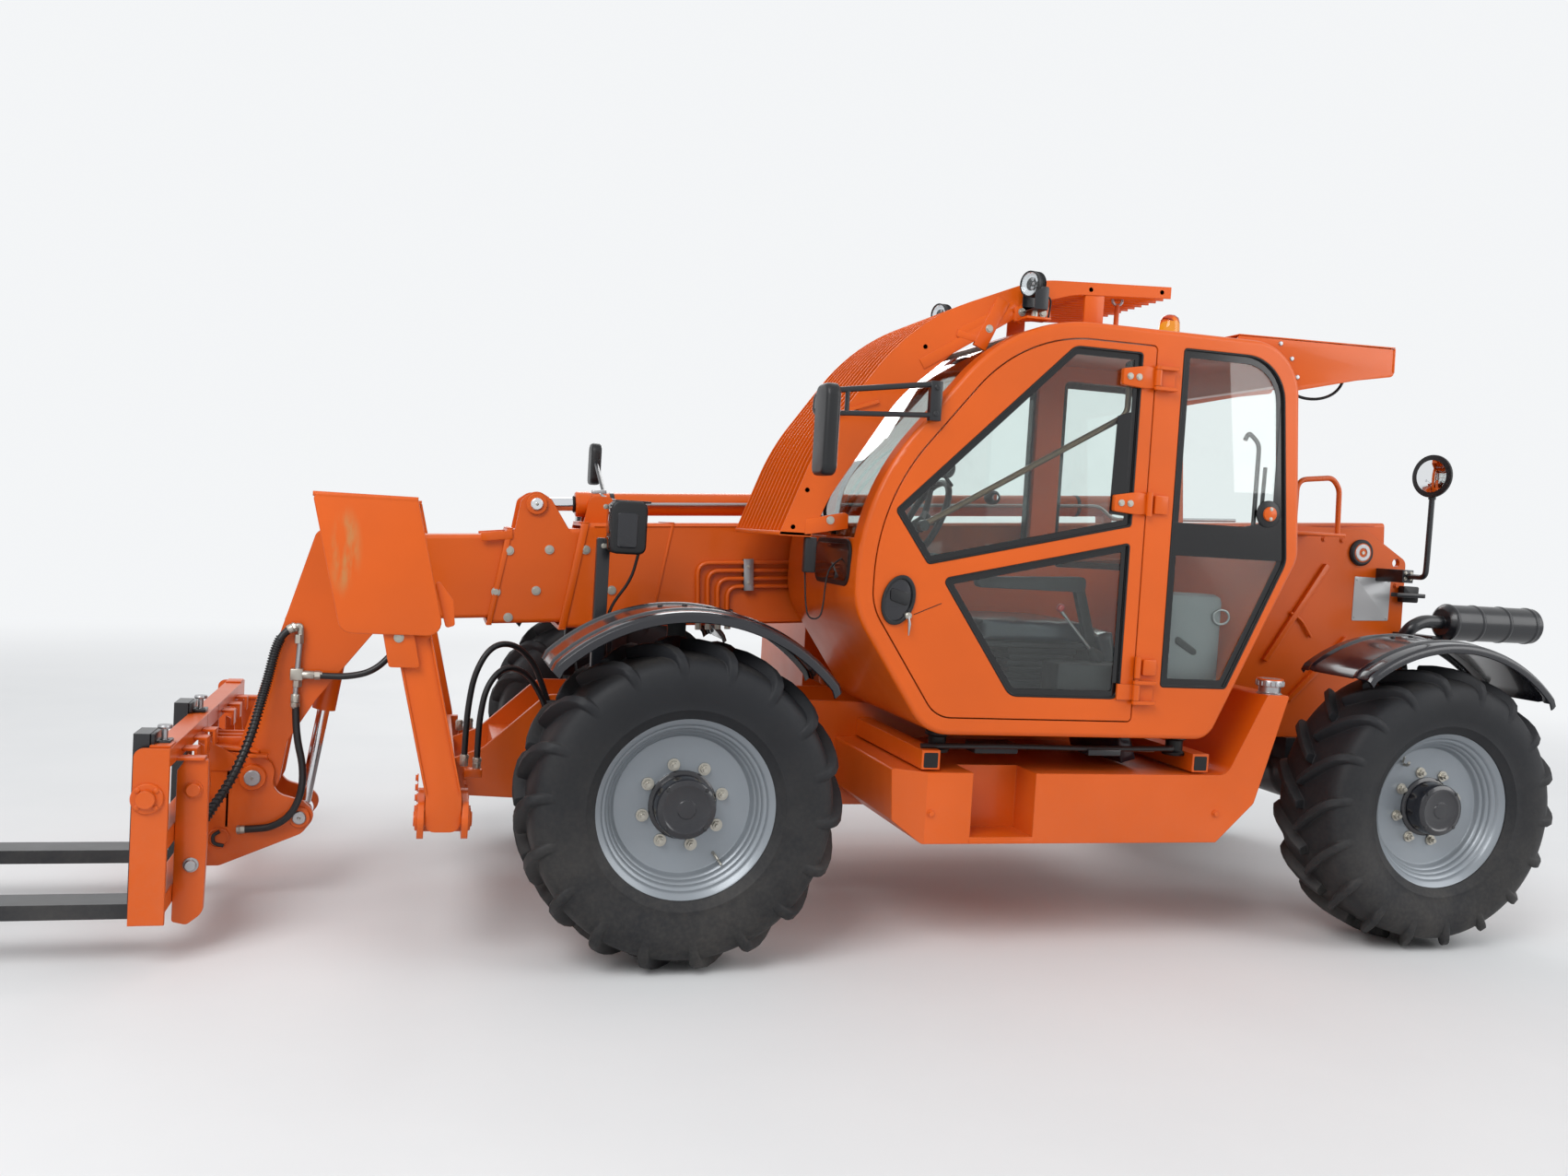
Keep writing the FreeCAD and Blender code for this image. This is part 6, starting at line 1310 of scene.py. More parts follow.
def make_controls():
    """Steering column, wheel, levers and the dash behind the windscreen."""
    piece = Piece("controls", "chassis")
    floor = 0.9043
    console = rounded(mm([(-965, floor * 1000, 5), (-1085, floor * 1000, 5), (-910, 1560, 25), (-800, 1600, 25)]), 4)
    piece.prism(console, 0.520, 0.800, "black_plastic", bevel=0.012, segments=3)
    piece.tube([(-0.860, 0.66, 1.560), (-0.975, 0.66, 1.640)], 0.024, "black_plastic")
    centre = Vector((-0.975, 0.66, 1.635))
    tilt = Vector((WHEEL_HIGH[0] - WHEEL_LOW[0], 0, WHEEL_HIGH[1] - WHEEL_LOW[1])).normalized()
    side = Vector((0, 1, 0))
    ring = [centre + (tilt * math.cos(turn) + side * math.sin(turn)) * 0.176
            for turn in (2 * math.pi * step / 48 for step in range(49))]
    piece.tube(ring, 0.0135, "black_plastic", sides=10)
    for turn in (math.pi / 2, math.pi * 7 / 6, math.pi * 11 / 6):
        rim_point = centre + (tilt * math.cos(turn) + side * math.sin(turn)) * 0.172
        piece.tube([centre, rim_point], [0.016, 0.010], "black_plastic", sides=8)
    normal = tilt.cross(side).normalized()
    piece.turned([(-0.012, 0.0), (-0.012, 0.045), (0.012, 0.040), (0.020, 0.025), (0.022, 0.0)], centre,
                 "black_plastic", axis=normal, sides=24)
    knob = centre + (tilt * math.cos(2.2) + side * math.sin(2.2)) * 0.176
    piece.turned([(0.0, 0.012), (0.03, 0.018), (0.045, 0.016), (0.052, 0.0)], knob, "black_plastic", axis=-normal, sides=16)
    piece.tube([(-1.622, 0.95, 1.144), (-1.448, 0.95, 1.330)], 0.006, "bare_steel")
    piece.turned([(-0.012, 0.0), (-0.010, 0.010), (0.0, 0.015), (0.012, 0.014), (0.022, 0.0)], (-1.448, 0.95, 1.334),
                 "red_knob", axis=(-0.68, 0, 0.73), sides=16)
    piece.turned([(0, 0.032), (0.02, 0.03), (0.06, 0.012), (0.062, 0)], (-1.626, 0.95, 1.140), "rubber_seal",
                 axis=(0.68, 0, 0.73), sides=18)
    piece.box((-1.80, 0.915, floor), (-1.40, 1.060, 1.135), "black_plastic", 0.015)
    piece.turned([(0, 0.0), (0, 0.030), (0.010, 0.037), (0.030, 0.037), (0.038, 0.030), (0.040, 0)],
                 (-0.915, 0.98, 1.835), "black_plastic", axis=(-0.3, 1, 0), sides=28)
    piece.tube([(-0.915, 0.99, 1.815), (-0.935, 1.03, 1.77)], 0.007, "black_plastic")
    piece.tube([(-0.885, 0.99, 1.845), (-0.845, 1.045, 1.84)], 0.008, "black_plastic")
    piece.turned([(0, 0.0), (0, 0.030), (0.035, 0.030), (0.05, 0.02), (0.05, 0)], (-1.418, 0.300, 1.764), "black_plastic",
                 axis=(0, 1, 0), sides=24)
    piece.turned([(0, 0.014), (0.004, 0.012), (0.005, 0)], (-1.418, 0.350, 1.764), "mirror_face", axis=(0, 1, 0), sides=20)
    piece.tube([(-1.418, 0.250, 1.764), (-1.418, 0.310, 1.764)], 0.010, "black_plastic")
    piece.tube([(-2.215, 1.03, 1.70), (-2.215, 1.03, 2.02), (-2.165, 1.03, 2.06), (-2.150, 1.03, 2.03)], 0.009, "black_paint",
               bend=0.04)
    piece.tube([(-2.245, 1.03, 1.62), (-2.250, 1.03, 1.93)], 0.008, "black_plastic")
    piece.box((-2.10, 0.90, 1.00), (-1.83, 1.05, 1.42), "grey_paint", 0.03)
    ring = [Vector((-2.085 + 0.035 * math.cos(turn), 1.056, 1.335 + 0.028 * math.sin(turn)))
            for turn in (2 * math.pi * step / 28 for step in range(29))]
    piece.tube(ring, 0.0045, "bare_steel", sides=8)
    piece.prism(rounded([(-1.885, 1.265, 0.012), (-1.985, 1.205, 0.012), (-1.995, 1.170, 0.012), (-1.895, 1.225, 0.012)], 4),
                1.050, 1.058, "black_plastic", bevel=0.003)
    piece.done("steering_console")


WHEEL_LOW = (-0.905, 1.480)
WHEEL_HIGH = (-1.045, 1.790)


def cushion(name, low, high, crown, finish_name, channels=(), lean=0.0, pivot=(0, 0)):
    """A crowned closed cushion: sides pulled in between its corners, with sewn channels across it."""
    part = bmesh.new()
    bmesh.ops.create_cube(part, size=1.0)
    bmesh.ops.subdivide_edges(part, edges=part.edges, cuts=20, use_grid_fill=True)
    size = Vector(high) - Vector(low)
    middle = (Vector(high) + Vector(low)) / 2
    for vertex in part.verts:
        unit = vertex.co * 2
        pulled = Vector(unit)
        for axis in range(3):
            others = [unit[other] for other in range(3) if other != axis]
            fullness = (1 - others[0] ** 4) * (1 - others[1] ** 4)
            pulled[axis] *= 1 - crown[axis] * (1 - fullness)
        for place in channels:
            depth = math.exp(-((unit.x - place) / 0.035) ** 2) * 0.10 * max(0.0, unit.z)
            pulled.z -= depth
        vertex.co = Vector(pulled[axis] * size[axis] / 2 for axis in range(3)) + middle
    turn = Matrix.Rotation(lean, 4, "Y")
    centre = Vector((pivot[0], 0, pivot[1]))
    for vertex in part.verts:
        vertex.co = turn @ (vertex.co - centre) + centre
    piece = Piece(name, "chassis")
    piece.keep(part, finish_name)
    return piece


def make_seat():
    """Driver's seat: a cushion and a back with sewn channels on a sprung base."""
    seat = cushion("seat_cushion", (-1.620, 0.430, 1.185), (-1.150, 0.890, 1.290), (0.05, 0.06, 0.30), "seat_cover",
                   channels=(-0.45, 0.0, 0.45)).done("driver_seat", sharp=70)
    back = cushion("seat_back", (-1.690, 0.430, 1.210), (-1.140, 0.890, 1.300), (0.05, 0.07, 0.30), "seat_cover",
                   channels=(-0.5, 0.0, 0.5), lean=math.radians(106), pivot=(-1.690, 1.250))
    back = back.done(sharp=70)
    base = Piece("seat_base", "chassis")
    base.prism(rounded(mm([(-1640, 904.3, 10), (-1260, 904.3, 10), (-1300, 1040, 20), (-1600, 1040, 20)]), 4),
               0.490, 0.830, "black_plastic", bevel=0.01)
    for step in range(5):
        low = 1.040 + step * 0.026
        base.prism(rounded([(-1.60 + 0.01 * (step % 2), low, 0.008), (-1.30 - 0.01 * (step % 2), low, 0.008),
                            (-1.30 - 0.01 * (step % 2), low + 0.024, 0.008), (-1.60 + 0.01 * (step % 2), low + 0.024, 0.008)], 3),
                   0.500, 0.820, "rubber_seal", bevel=0.003)
    base.box((-1.625, 0.470, 1.168), (-1.170, 0.850, 1.192), "black_plastic", 0.006)
    base.prism(rounded([(-1.10, 1.40, 0.02), (-1.10, 1.44, 0.02), (-1.55, 1.46, 0.02), (-1.55, 1.40, 0.02)], 4), 0.905, 0.955,
               "seat_trim", bevel=0.012, segments=3)
    base.bar((-1.60, 1.20), (-1.53, 1.43), 0.02, 0.905, 0.935, "black_plastic")
    base.done()


class HANDLER_OT_cab(bpy.types.Operator):
    """Dresses the cab: pane borders, door and roof fittings, controls and seat"""
    bl_idname = "handler.cab"
    bl_label = "Cab"

    def execute(self, context):
        make_pane_borders()
        make_cab_fittings()
        make_controls()
        make_seat()
        return {"FINISHED"}


class HANDLER_OT_guard(bpy.types.Operator):
    """Makes the curved guard in front of the windscreen"""
    bl_idname = "handler.guard"
    bl_label = "Windscreen guard"

    def execute(self, context):
        make_guard()
        return {"FINISHED"}


class HANDLER_OT_lights_and_mirrors(bpy.types.Operator):
    """Makes the work lamps, the beacon, the headlights and the mirrors"""
    bl_idname = "handler.lights_and_mirrors"
    bl_label = "Lights and mirrors"

    def execute(self, context):
        make_lamps()
        make_mirrors()
        return {"FINISHED"}


# Hoses: control points of each route, from the front axle, with the length that it has
HOSES = {
    # name: (points, diameter, length, stiffness, bodies that it joins, finish)
    "carriage_hose_long": ([
        (1.392, 0.145, 1.083), (1.428, 0.148, 1.062), (1.454, 0.158, 1.000), (1.468, 0.170, 0.920), (1.482, 0.185, 0.850),
        (1.497, 0.205, 0.780), (1.520, 0.240, 0.665), (1.570, 0.310, 0.520), (1.635, 0.420, 0.410), (1.662, 0.510, 0.362),
        (1.668, 0.580, 0.320), (1.667, 0.612, 0.250), (1.667, 0.614, 0.180)], 0.030, 1.12, "medium",
        ("boom_inner", "carriage"), "hose_rubber"),
    "carriage_hose_short": ([
        (1.373, 0.143, 0.812), (1.372, 0.146, 0.740), (1.360, 0.160, 0.640), (1.334, 0.168, 0.545), (1.334, 0.176, 0.440),
        (1.372, 0.180, 0.350), (1.440, 0.172, 0.305), (1.500, 0.158, 0.296), (1.540, 0.148, 0.292)], 0.028, 0.65, "medium",
        ("boom_inner", "carriage"), "hose_rubber"),
    "head_hose": ([
        (1.352, 0.143, 0.898), (1.280, 0.146, 0.896), (1.180, 0.150, 0.896), (1.090, 0.150, 0.920), (1.020, 0.130, 0.990),
        (0.975, 0.100, 1.070), (0.950, 0.090, 1.130)], 0.026, 0.52, "medium", ("boom_inner",), "hose_rubber"),
    "leg_hose_front": ([
        (0.735, 0.420, 0.620), (0.735, 0.420, 0.700), (0.730, 0.415, 0.830), (0.710, 0.400, 0.960), (0.650, 0.370, 1.062),
        (0.560, 0.320, 1.066), (0.480, 0.285, 0.990), (0.435, 0.272, 0.880), (0.405, 0.270, 0.800)], 0.024, 0.88, "medium",
        ("chassis",), "hose_rubber"),
    "leg_hose_rear": ([
        (0.690, 0.480, 0.620), (0.690, 0.480, 0.690), (0.687, 0.470, 0.800), (0.665, 0.440, 0.915), (0.600, 0.395, 0.985),
        (0.515, 0.345, 0.960), (0.455, 0.305, 0.875), (0.420, 0.282, 0.800), (0.402, 0.272, 0.745)], 0.024, 0.75, "medium",
        ("chassis",), "hose_rubber"),
    "visor_cable": ([
        (-2.450, 0.800, 2.412), (-2.450, 0.800, 2.350), (-2.475, 0.802, 2.285), (-2.545, 0.806, 2.245), (-2.640, 0.812, 2.245),
        (-2.715, 0.818, 2.280), (-2.748, 0.822, 2.345), (-2.750, 0.824, 2.418)], 0.012, 0.52, "limp", ("chassis",), "rubber_seal"),
    "guard_lead": ([
        (-0.415, 0.950, 1.550), (-0.415, 0.950, 1.480), (-0.420, 0.955, 1.390), (-0.422, 0.972, 1.310), (-0.430, 0.990, 1.258), (-0.474, 0.990, 1.258),
        (-0.486, 0.985, 1.310), (-0.494, 0.970, 1.400), (-0.512, 0.960, 1.455), (-0.555, 0.950, 1.480)], 0.006, 0.57, "limp",
        ("chassis",), "rubber_seal"),
}
HOSE_SIDES = 12


def make_hoses():
    """Every hose and cable as a round tube along its smooth line."""
    for name, (points, diameter, length, stiffness, bodies, finish_name) in HOSES.items():
        world = [GROUND @ Vector(point) for point in points]
        path, _measured = nurbs_path(name, world)
        piece = Piece(name, bodies[0], Matrix.Identity(4))
        piece.tube(path, diameter / 2, finish_name, sides=HOSE_SIDES)
        between = (*bodies, path[len(path) // 4], path[-1]) if len(bodies) == 2 else None
        thing = piece.done(sharp=60, between=between)
        if name == "carriage_hose_long":
            guard = Piece(f"{name}_guard", bodies[0], Matrix.Identity(4))
            coil = []
            turns, steps = 62, 8
            count = len(path)
            for step in range(turns * steps + 1):
                place = 0.08 + 0.72 * step / (turns * steps)
                spot = place * (count - 1)
                low = int(spot)
                here = path[low].lerp(path[low + 1], spot - low)
                ahead = (path[low + 1] - path[low]).normalized()
                side = ahead.cross(Vector((0, 1, 0))).normalized()
                across = ahead.cross(side)
                turn = 2 * math.pi * step / steps
                coil.append(here + (side * math.cos(turn) + across * math.sin(turn)) * (diameter / 2 + 0.0015))
            guard.tube(coil, 0.0036, "black_plastic", sides=6)
            guard.done(sharp=60, between=between)


def ferrule(piece, place, way, radius, length=0.045):
    """A crimped steel ferrule with its hexagon, where a hose is screwed on."""
    way = Vector(way).normalized()
    piece.turned([(0, radius * 0.9), (0.004, radius), (length * 0.55, radius), (length * 0.6, radius * 0.85),
                  (length, radius * 0.85), (length, 0)], place, "zinc_bolt", axis=way, sides=20)
    piece.turned([(length * 0.62, radius * 1.08), (length * 0.9, radius * 1.08)], place, "zinc_bolt", axis=way, sides=6)


# Boom: collars, bolts, steel lines and their clamps, and the head's pins
BOOM_TOP, BOOM_BOTTOM, BOOM_HALF = 0.138, -0.288, 0.165
LINES = ((-0.027, 3.174), (-0.060, 3.132), (-0.094, 3.090), (-0.127, 3.049))
LINE_Y = 0.1813


def section_collar(piece, front, half, top, bottom, wide, proud, finish_name="orange_plain"):
    """Strips welded round the slanted front end of a boom section."""
    lean = math.tan(math.radians(13))

    def edge(w):
        return front - lean * (w - (top + bottom) / 2)
    for side in (1, -1):
        low = side * half if side > 0 else -half - proud
        outline = [(edge(bottom), bottom), (edge(top), top), (edge(top) - wide, top), (edge(bottom) - wide, bottom)]
        piece.prism(outline, low, low + proud, finish_name, bevel=0.002)
    piece.box((edge(top) - wide, -half - proud, top), (edge(top), half + proud, top + proud), finish_name)
    piece.box((edge(bottom) - wide, -half - proud, bottom - proud), (edge(bottom), half + proud, bottom), finish_name)


def pin_end(piece, body, place, side, boss, pin, proud=0.012, steel="bare_steel"):
    """A welded boss with the end of its pin and the bolt that keeps it."""
    piece.turned([(0, boss), (proud * 0.8, boss), (proud, boss * 0.95), (proud, pin)], place, "orange_plain",
                 axis=(0, side, 0), sides=36)
    piece.turned([(0, pin), (proud + 0.006, pin), (proud + 0.009, pin * 0.88), (proud + 0.009, 0)], place, steel,
                 axis=(0, side, 0), sides=32)
    spot = Vector(place) + Vector((0, side * (proud + 0.008), 0))
    piece.turned([(0, 0.006), (0.006, 0.005), (0.012, 0.003), (0.012, 0)], spot, "zinc_bolt", axis=(0, side, 0), sides=12)


def make_boom():
    """Fittings on the boom's outer and middle sections."""
    outer = Piece("boom_outer_fittings", "boom", BOOM_FRAME)
    section_collar(outer, 3.700, BOOM_HALF, BOOM_TOP, BOOM_BOTTOM, 0.030, 0.006)
    section_collar(outer, 3.330, BOOM_HALF, BOOM_TOP, BOOM_BOTTOM, 0.012, 0.004)
    for side in (1, -1):
        for corner_w in (BOOM_TOP - 0.012, BOOM_BOTTOM + 0.012):
            outer.tube([(-0.15, side * (BOOM_HALF + 0.001), corner_w), (3.60, side * (BOOM_HALF + 0.001), corner_w)],
                       0.0035, "orange_plain", sides=8)
    outer.turned([(0, 0.050), (0.012, 0.053), (0.060, 0.053), (0.066, 0.048), (0.066, 0.029)], (3.594, 0, 0.216),
                 "orange_plain", axis=(1, 0, 0), sides=40)
    outer.turned([(0, 0.0285), (0.010, 0.036), (0.016, 0.0285)], (3.656, 0, 0.216), "rubber_seal", axis=(1, 0, 0), sides=32)
    for u in (1.35, 2.10, 2.85, 3.50):
        outer.turned([(0, 0.0495), (0.018, 0.0495)], (u, 0, 0.216), "black_paint", axis=(1, 0, 0), sides=32)
    for y in (0.064, -0.064):
        outer.tube([(0.55, y, 0.150), (1.20, y, 0.155), (1.26, y * 0.9, 0.216), (3.45, y * 0.9, 0.216), (3.54, y * 0.85, 0.240),
                    (3.56, 0.0, 0.262)], 0.008, "bare_steel", bend=0.05, sides=10)
    outer.box((3.53, -0.020, 0.258), (3.59, 0.020, 0.276), "bare_steel", 0.004)
    for side in (1, -1):
        spot = (0.0, side * 0.233, 0.0)
        outer.turned([(0, 0.070), (0.004, 0.070), (0.005, 0.062)], spot, "orange_plain", axis=(0, side, 0), sides=36)
    outer.done()

    lines = Piece("boom_lines", "boom", BOOM_FRAME)
    for row, bend_at in LINES:
        lines.tube([(0.62, LINE_Y, row), (bend_at, LINE_Y, row), (bend_at, LINE_Y, -0.300)], 0.009, "orange_plain", bend=0.05)
        for end in ((0.62, LINE_Y, row), (bend_at, LINE_Y, -0.300)):
            way = (1, 0, 0) if end[0] == 0.62 else (0, 0, 1)
            lines.turned([(-0.004, 0.013), (0.030, 0.013)], end, "zinc_bolt", axis=way, sides=6)
    for u in (0.720, 1.520, 2.320, 2.960):
        for low, high in ((-0.0775, -0.0105), (-0.1435, -0.0775)):
            lines.box((u - 0.020, 0.1653, low + 0.001), (u + 0.020, 0.1945, high - 0.001), "cast", 0.003)
        lines.box((u - 0.021, 0.1945, -0.1435), (u + 0.021, 0.1975, -0.0105), "bare_steel", 0.001)
        for w in (-0.0435, -0.1105):
            bolt("boom", (u, 0.1975, w), (0, 1, 0), 0.006, "hex", BOOM_FRAME)
    lines.box((3.027, 0.1653, -0.262), (3.196, 0.1945, -0.222), "cast", 0.003)
    lines.box((3.027, 0.1945, -0.258), (3.196, 0.1975, -0.226), "bare_steel", 0.001)
    for u in (3.070, 3.111, 3.153):
        bolt("boom", (u, 0.1975, -0.242), (0, 1, 0), 0.006, "hex", BOOM_FRAME)
    lines.done("boom_pipes")
    for x, z in ((0.430, 1.435), (0.286, 1.443), (0.475, 1.266), (0.331, 1.272), (0.172, 1.283)):
        place = BOOM_FRAME.inverted() @ (GROUND @ Vector((x, 0.0, z)))
        if place.x < 3.70 - 0.03 - math.tan(math.radians(13)) * (place.z + 0.075):
            for side in (1, -1):
                bolt("boom", (place.x, side * BOOM_HALF, place.z), (0, side, 0), 0.0125, "round", BOOM_FRAME)
        else:
            for side in (1, -1):
                bolt("boom_middle", (place.x, side * 0.143, place.z), (0, side, 0), 0.0125, "round", BOOM_FRAME)
    middle = Piece("boom_middle_fittings", "boom_middle", BOOM_FRAME)
    section_collar(middle, 3.990, 0.143, 0.116, -0.266, 0.022, 0.005)
    for side in (1, -1):
        pin_end(middle, "boom_middle", (3.829, side * 0.150, 0.216), side, 0.042, 0.025, 0.008, "rod_chrome")
        tab_low = 0.143 if side > 0 else -0.149
        middle.prism([(4.090 - 0.165, 0.075), (4.090 - 0.040, 0.068), (4.090 - 0.040, 0.103), (4.090 - 0.165, 0.110)],
                     tab_low, tab_low + 0.006, "orange_plain", bevel=0.002)
    middle.done()
    for x, z in ((0.589, 1.423), (0.634, 1.254), (0.581, 1.153)):
        place = BOOM_FRAME.inverted() @ (GROUND @ Vector((x, 0.0, z)))
        for side in (1, -1):
            bolt("boom_middle", (place.x, side * 0.143, place.z), (0, side, 0), 0.0125, "round", BOOM_FRAME)

    head = Piece("boom_head_fittings", "boom_inner")
    for side in (1, -1):
        head.turned([(0, 0.030), (0.006, 0.034), (0.010, 0.030), (0.010, 0)], (1.212, side * 0.118, 1.180), "bare_steel",
                    axis=(0, side, 0), sides=28)
        head.prism(rounded([(1.195, 1.232, 0.01), (1.232, 1.225, 0.01), (1.245, 1.150, 0.01), (1.200, 1.140, 0.01)], 4),
                   side * 0.118 if side > 0 else -0.123, 0.123 if side > 0 else -0.118, "orange_plain", bevel=0.001)
    head.tube([(1.366, 0.138, 1.048), (1.369, 0.138, 0.980), (1.373, 0.138, 0.898), (1.376, 0.138, 0.812)], 0.011,
              "bare_steel", sides=14)
    head.box((1.350, 0.1183, 0.876), (1.398, 0.158, 0.922), "zinc_bolt", 0.005)
    for z in (1.020, 0.850):
        head.turned([(0, 0.018), (0.034, 0.018)], (1.371, 0.138, z), "zinc_bolt", axis=(0, 0, 1), sides=6)
    head.tube([(1.366, 0.138, 1.030), (1.366, 0.140, 1.092), (1.398, 0.145, 1.080)], 0.012, "zinc_bolt", bend=0.02)
    ferrule(head, (1.412, 0.1465, 1.071), (-0.86, -0.07, 0.5), 0.018, 0.034)
    ferrule(head, (1.375, 0.143, 0.822), (0, 0, -1), 0.018, 0.055)
    ferrule(head, (1.355, 0.143, 0.898), (-1, 0, 0), 0.017, 0.075)
    for z in (1.05, 1.20, 1.35):
        head.tube([(1.318, -0.10, z), (1.318, 0.10, z)], 0.004, "orange_plain", sides=8)
    head.done()


def make_carriage():
    """Fittings on the fork carriage: bosses, pins, hitch plates, braces and fork locks."""
    piece = Piece("carriage_fittings", "carriage")
    for side in (1, -1):
        low = side * 0.896
        piece.turned([(-0.004, 0.051), (0.007, 0.051), (0.010, 0.048), (0.010, 0)], (1.752, low, 0.572), "orange_plain",
                     axis=(0, side, 0), sides=40)
        for step in range(4):
            turn = math.pi / 4 + math.pi * step / 2
            piece.turned([(0.008, 0.0085), (0.0135, 0.0085), (0.0150, 0.006), (0.0150, 0)],
                         (1.752 + 0.040 * math.cos(turn), low, 0.572 + 0.040 * math.sin(turn)), "orange_plain",
                         axis=(0, side, 0), sides=14)
        # hitch plate beside the end plate, with its brace, cap and pin
        y = side * 0.750
        plate = rounded([(1.590, 0.676, 0.008), (1.662, 0.679, 0.008), (1.687, 0.640, 0.008), (1.687, 0.122, 0.01),
                         (1.640, 0.110, 0.02), (1.590, 0.150, 0.04), (1.585, 0.400, 0.02)], 4)
        piece.prism(plate, y - 0.016, y + 0.016, "orange_plain", bevel=0.003)
        piece.prism([(1.600, 0.676), (1.690, 0.676), (1.690, 0.686), (1.600, 0.686)], y - 0.030, y + 0.030, "orange_plain",
                    bevel=0.002)
        for z, radius, steel in ((0.318, 0.019, "bare_steel"), (0.576, 0.024, "orange_plain")):
            piece.turned([(0, radius + 0.006), (0.004, radius + 0.006), (0.005, radius), (0.018, radius),
                          (0.021, radius * 0.85), (0.021, 0)], (1.632, y + side * 0.016, z), steel, axis=(0, side, 0), sides=28)
        piece.prism([(1.610, 0.500), (1.687, 0.560), (1.687, 0.545), (1.618, 0.488)], y - side * 0.09 - 0.06,
                    y - side * 0.09 + 0.06, "orange_plain", bevel=0.002)
        for brace_y in (side * 0.560, side * 0.330):
            piece.prism([(1.687, 0.660), (1.687, 0.400), (1.660, 0.410), (1.640, 0.500), (1.655, 0.640)], brace_y - 0.006,
                        brace_y + 0.006, "orange_plain", bevel=0.0015)
        for top_y in (side * 0.640, side * 0.420, side * 0.240):
            piece.box((1.640, top_y - 0.035, 0.690), (1.687, top_y + 0.035, 0.700), "orange_plain", 0.002)
            piece.box((1.640, top_y - 0.035, 0.640), (1.650, top_y + 0.035, 0.692), "orange_plain", 0.002)
        # pivot and rod pin bosses on the coupler plates
        pin_end(piece, "carriage", (1.517, side * 0.145, 0.496), side, 0.050, 0.0305, 0.020)
        pin_end(piece, "carriage", (1.341, side * 0.145, 0.340), side, 0.040, 0.0255, 0.016)
        # a thin glossy black disc filling the ring below: painted shade for the dark inside of its hole
        piece.turned([(0, 0.034), (0.0012, 0.034), (0.0012, 0)], (1.632, side * 0.145, 0.258), "pane_border",
                     axis=(0, side, 0), sides=32)
        piece.turned([(0, 0.040), (0.006, 0.040), (0.008, 0.035), (0.003, 0.034)], (1.632, side * 0.145, 0.258),
                     "orange_plain", axis=(0, side, 0), sides=32)
        hook = [(1.612, side * 0.149, 0.228), (1.650, side * 0.152, 0.238), (1.652, side * 0.152, 0.270), (1.628, side * 0.150, 0.284)]
        piece.tube(hook, 0.007, "cast", bend=0.02, sides=10)
        piece.box((1.465, min(side * 0.145, side * 0.175), 0.575), (1.535, max(side * 0.145, side * 0.175), 0.588), "orange_plain", 0.003)
        gusset = [(1.545, 0.560), (1.687, 0.640), (1.687, 0.520), (1.600, 0.520)]
        piece.prism(gusset, min(side * 0.145, side * 0.152), max(side * 0.145, side * 0.152), "orange_plain", bevel=0.002)
    wave = [(1.688, 0.605), (1.688, 0.617), (1.540, 0.606), (1.500, 0.596), (1.500, 0.586), (1.545, 0.594)]
    piece.prism(wave, -0.145, 0.145, "orange_plain", bevel=0.002)
    for y in (-0.08, 0.0, 0.08):
        piece.box((1.560, y - 0.010, 0.606), (1.680, y + 0.010, 0.640), "orange_plain", 0.003)
    piece.box((1.600, -0.145, 0.300), (1.612, 0.145, 0.560), "orange_plain", 0.002)
    for y in (-0.88, 0.88):
        ends = sorted((y, y - math.copysign(0.10, y)))
        piece.prism([(1.690, 0.737), (1.754, 0.737), (1.754, 0.744), (1.690, 0.744)], *ends, "orange_plain", bevel=0.002)
    piece.tube([(1.667, 0.612, 0.195), (1.667, 0.608, 0.150), (1.667, 0.560, 0.140)], 0.010, "bare_steel", bend=0.02)
    piece.box((1.660, 0.570, 0.395), (1.690, 0.650, 0.452), "orange_plain", 0.004)
    ferrule(piece, (1.538, 0.150, 0.292), (1, 0.0, -0.05), 0.016, 0.030)
    for y in (0.800, 0.090):
        locked = (1.722, y + 0.004, 0.737)
        piece.tube([locked, (1.722, y + 0.004, 0.795)], 0.010, "bare_steel", sides=14)
        piece.turned([(0, 0.022), (0.006, 0.024), (0.012, 0.022), (0.012, 0)], (1.722, y + 0.004, 0.790), "bare_steel",
                     axis=(0, 0, 1), sides=24)
        piece.turned([(0, 0.017), (0.014, 0.015)], (1.722, y + 0.004, 0.738), "cast", axis=(0, 0, 1), sides=20)
        piece.box((1.700, y - 0.040, 0.737), (1.758, y + 0.030, 0.752), "black_paint", 0.004)
        piece.box((1.742, y - 0.060, 0.740), (1.757, y + 0.060, 0.779), "black_paint", 0.004)
    piece.done()


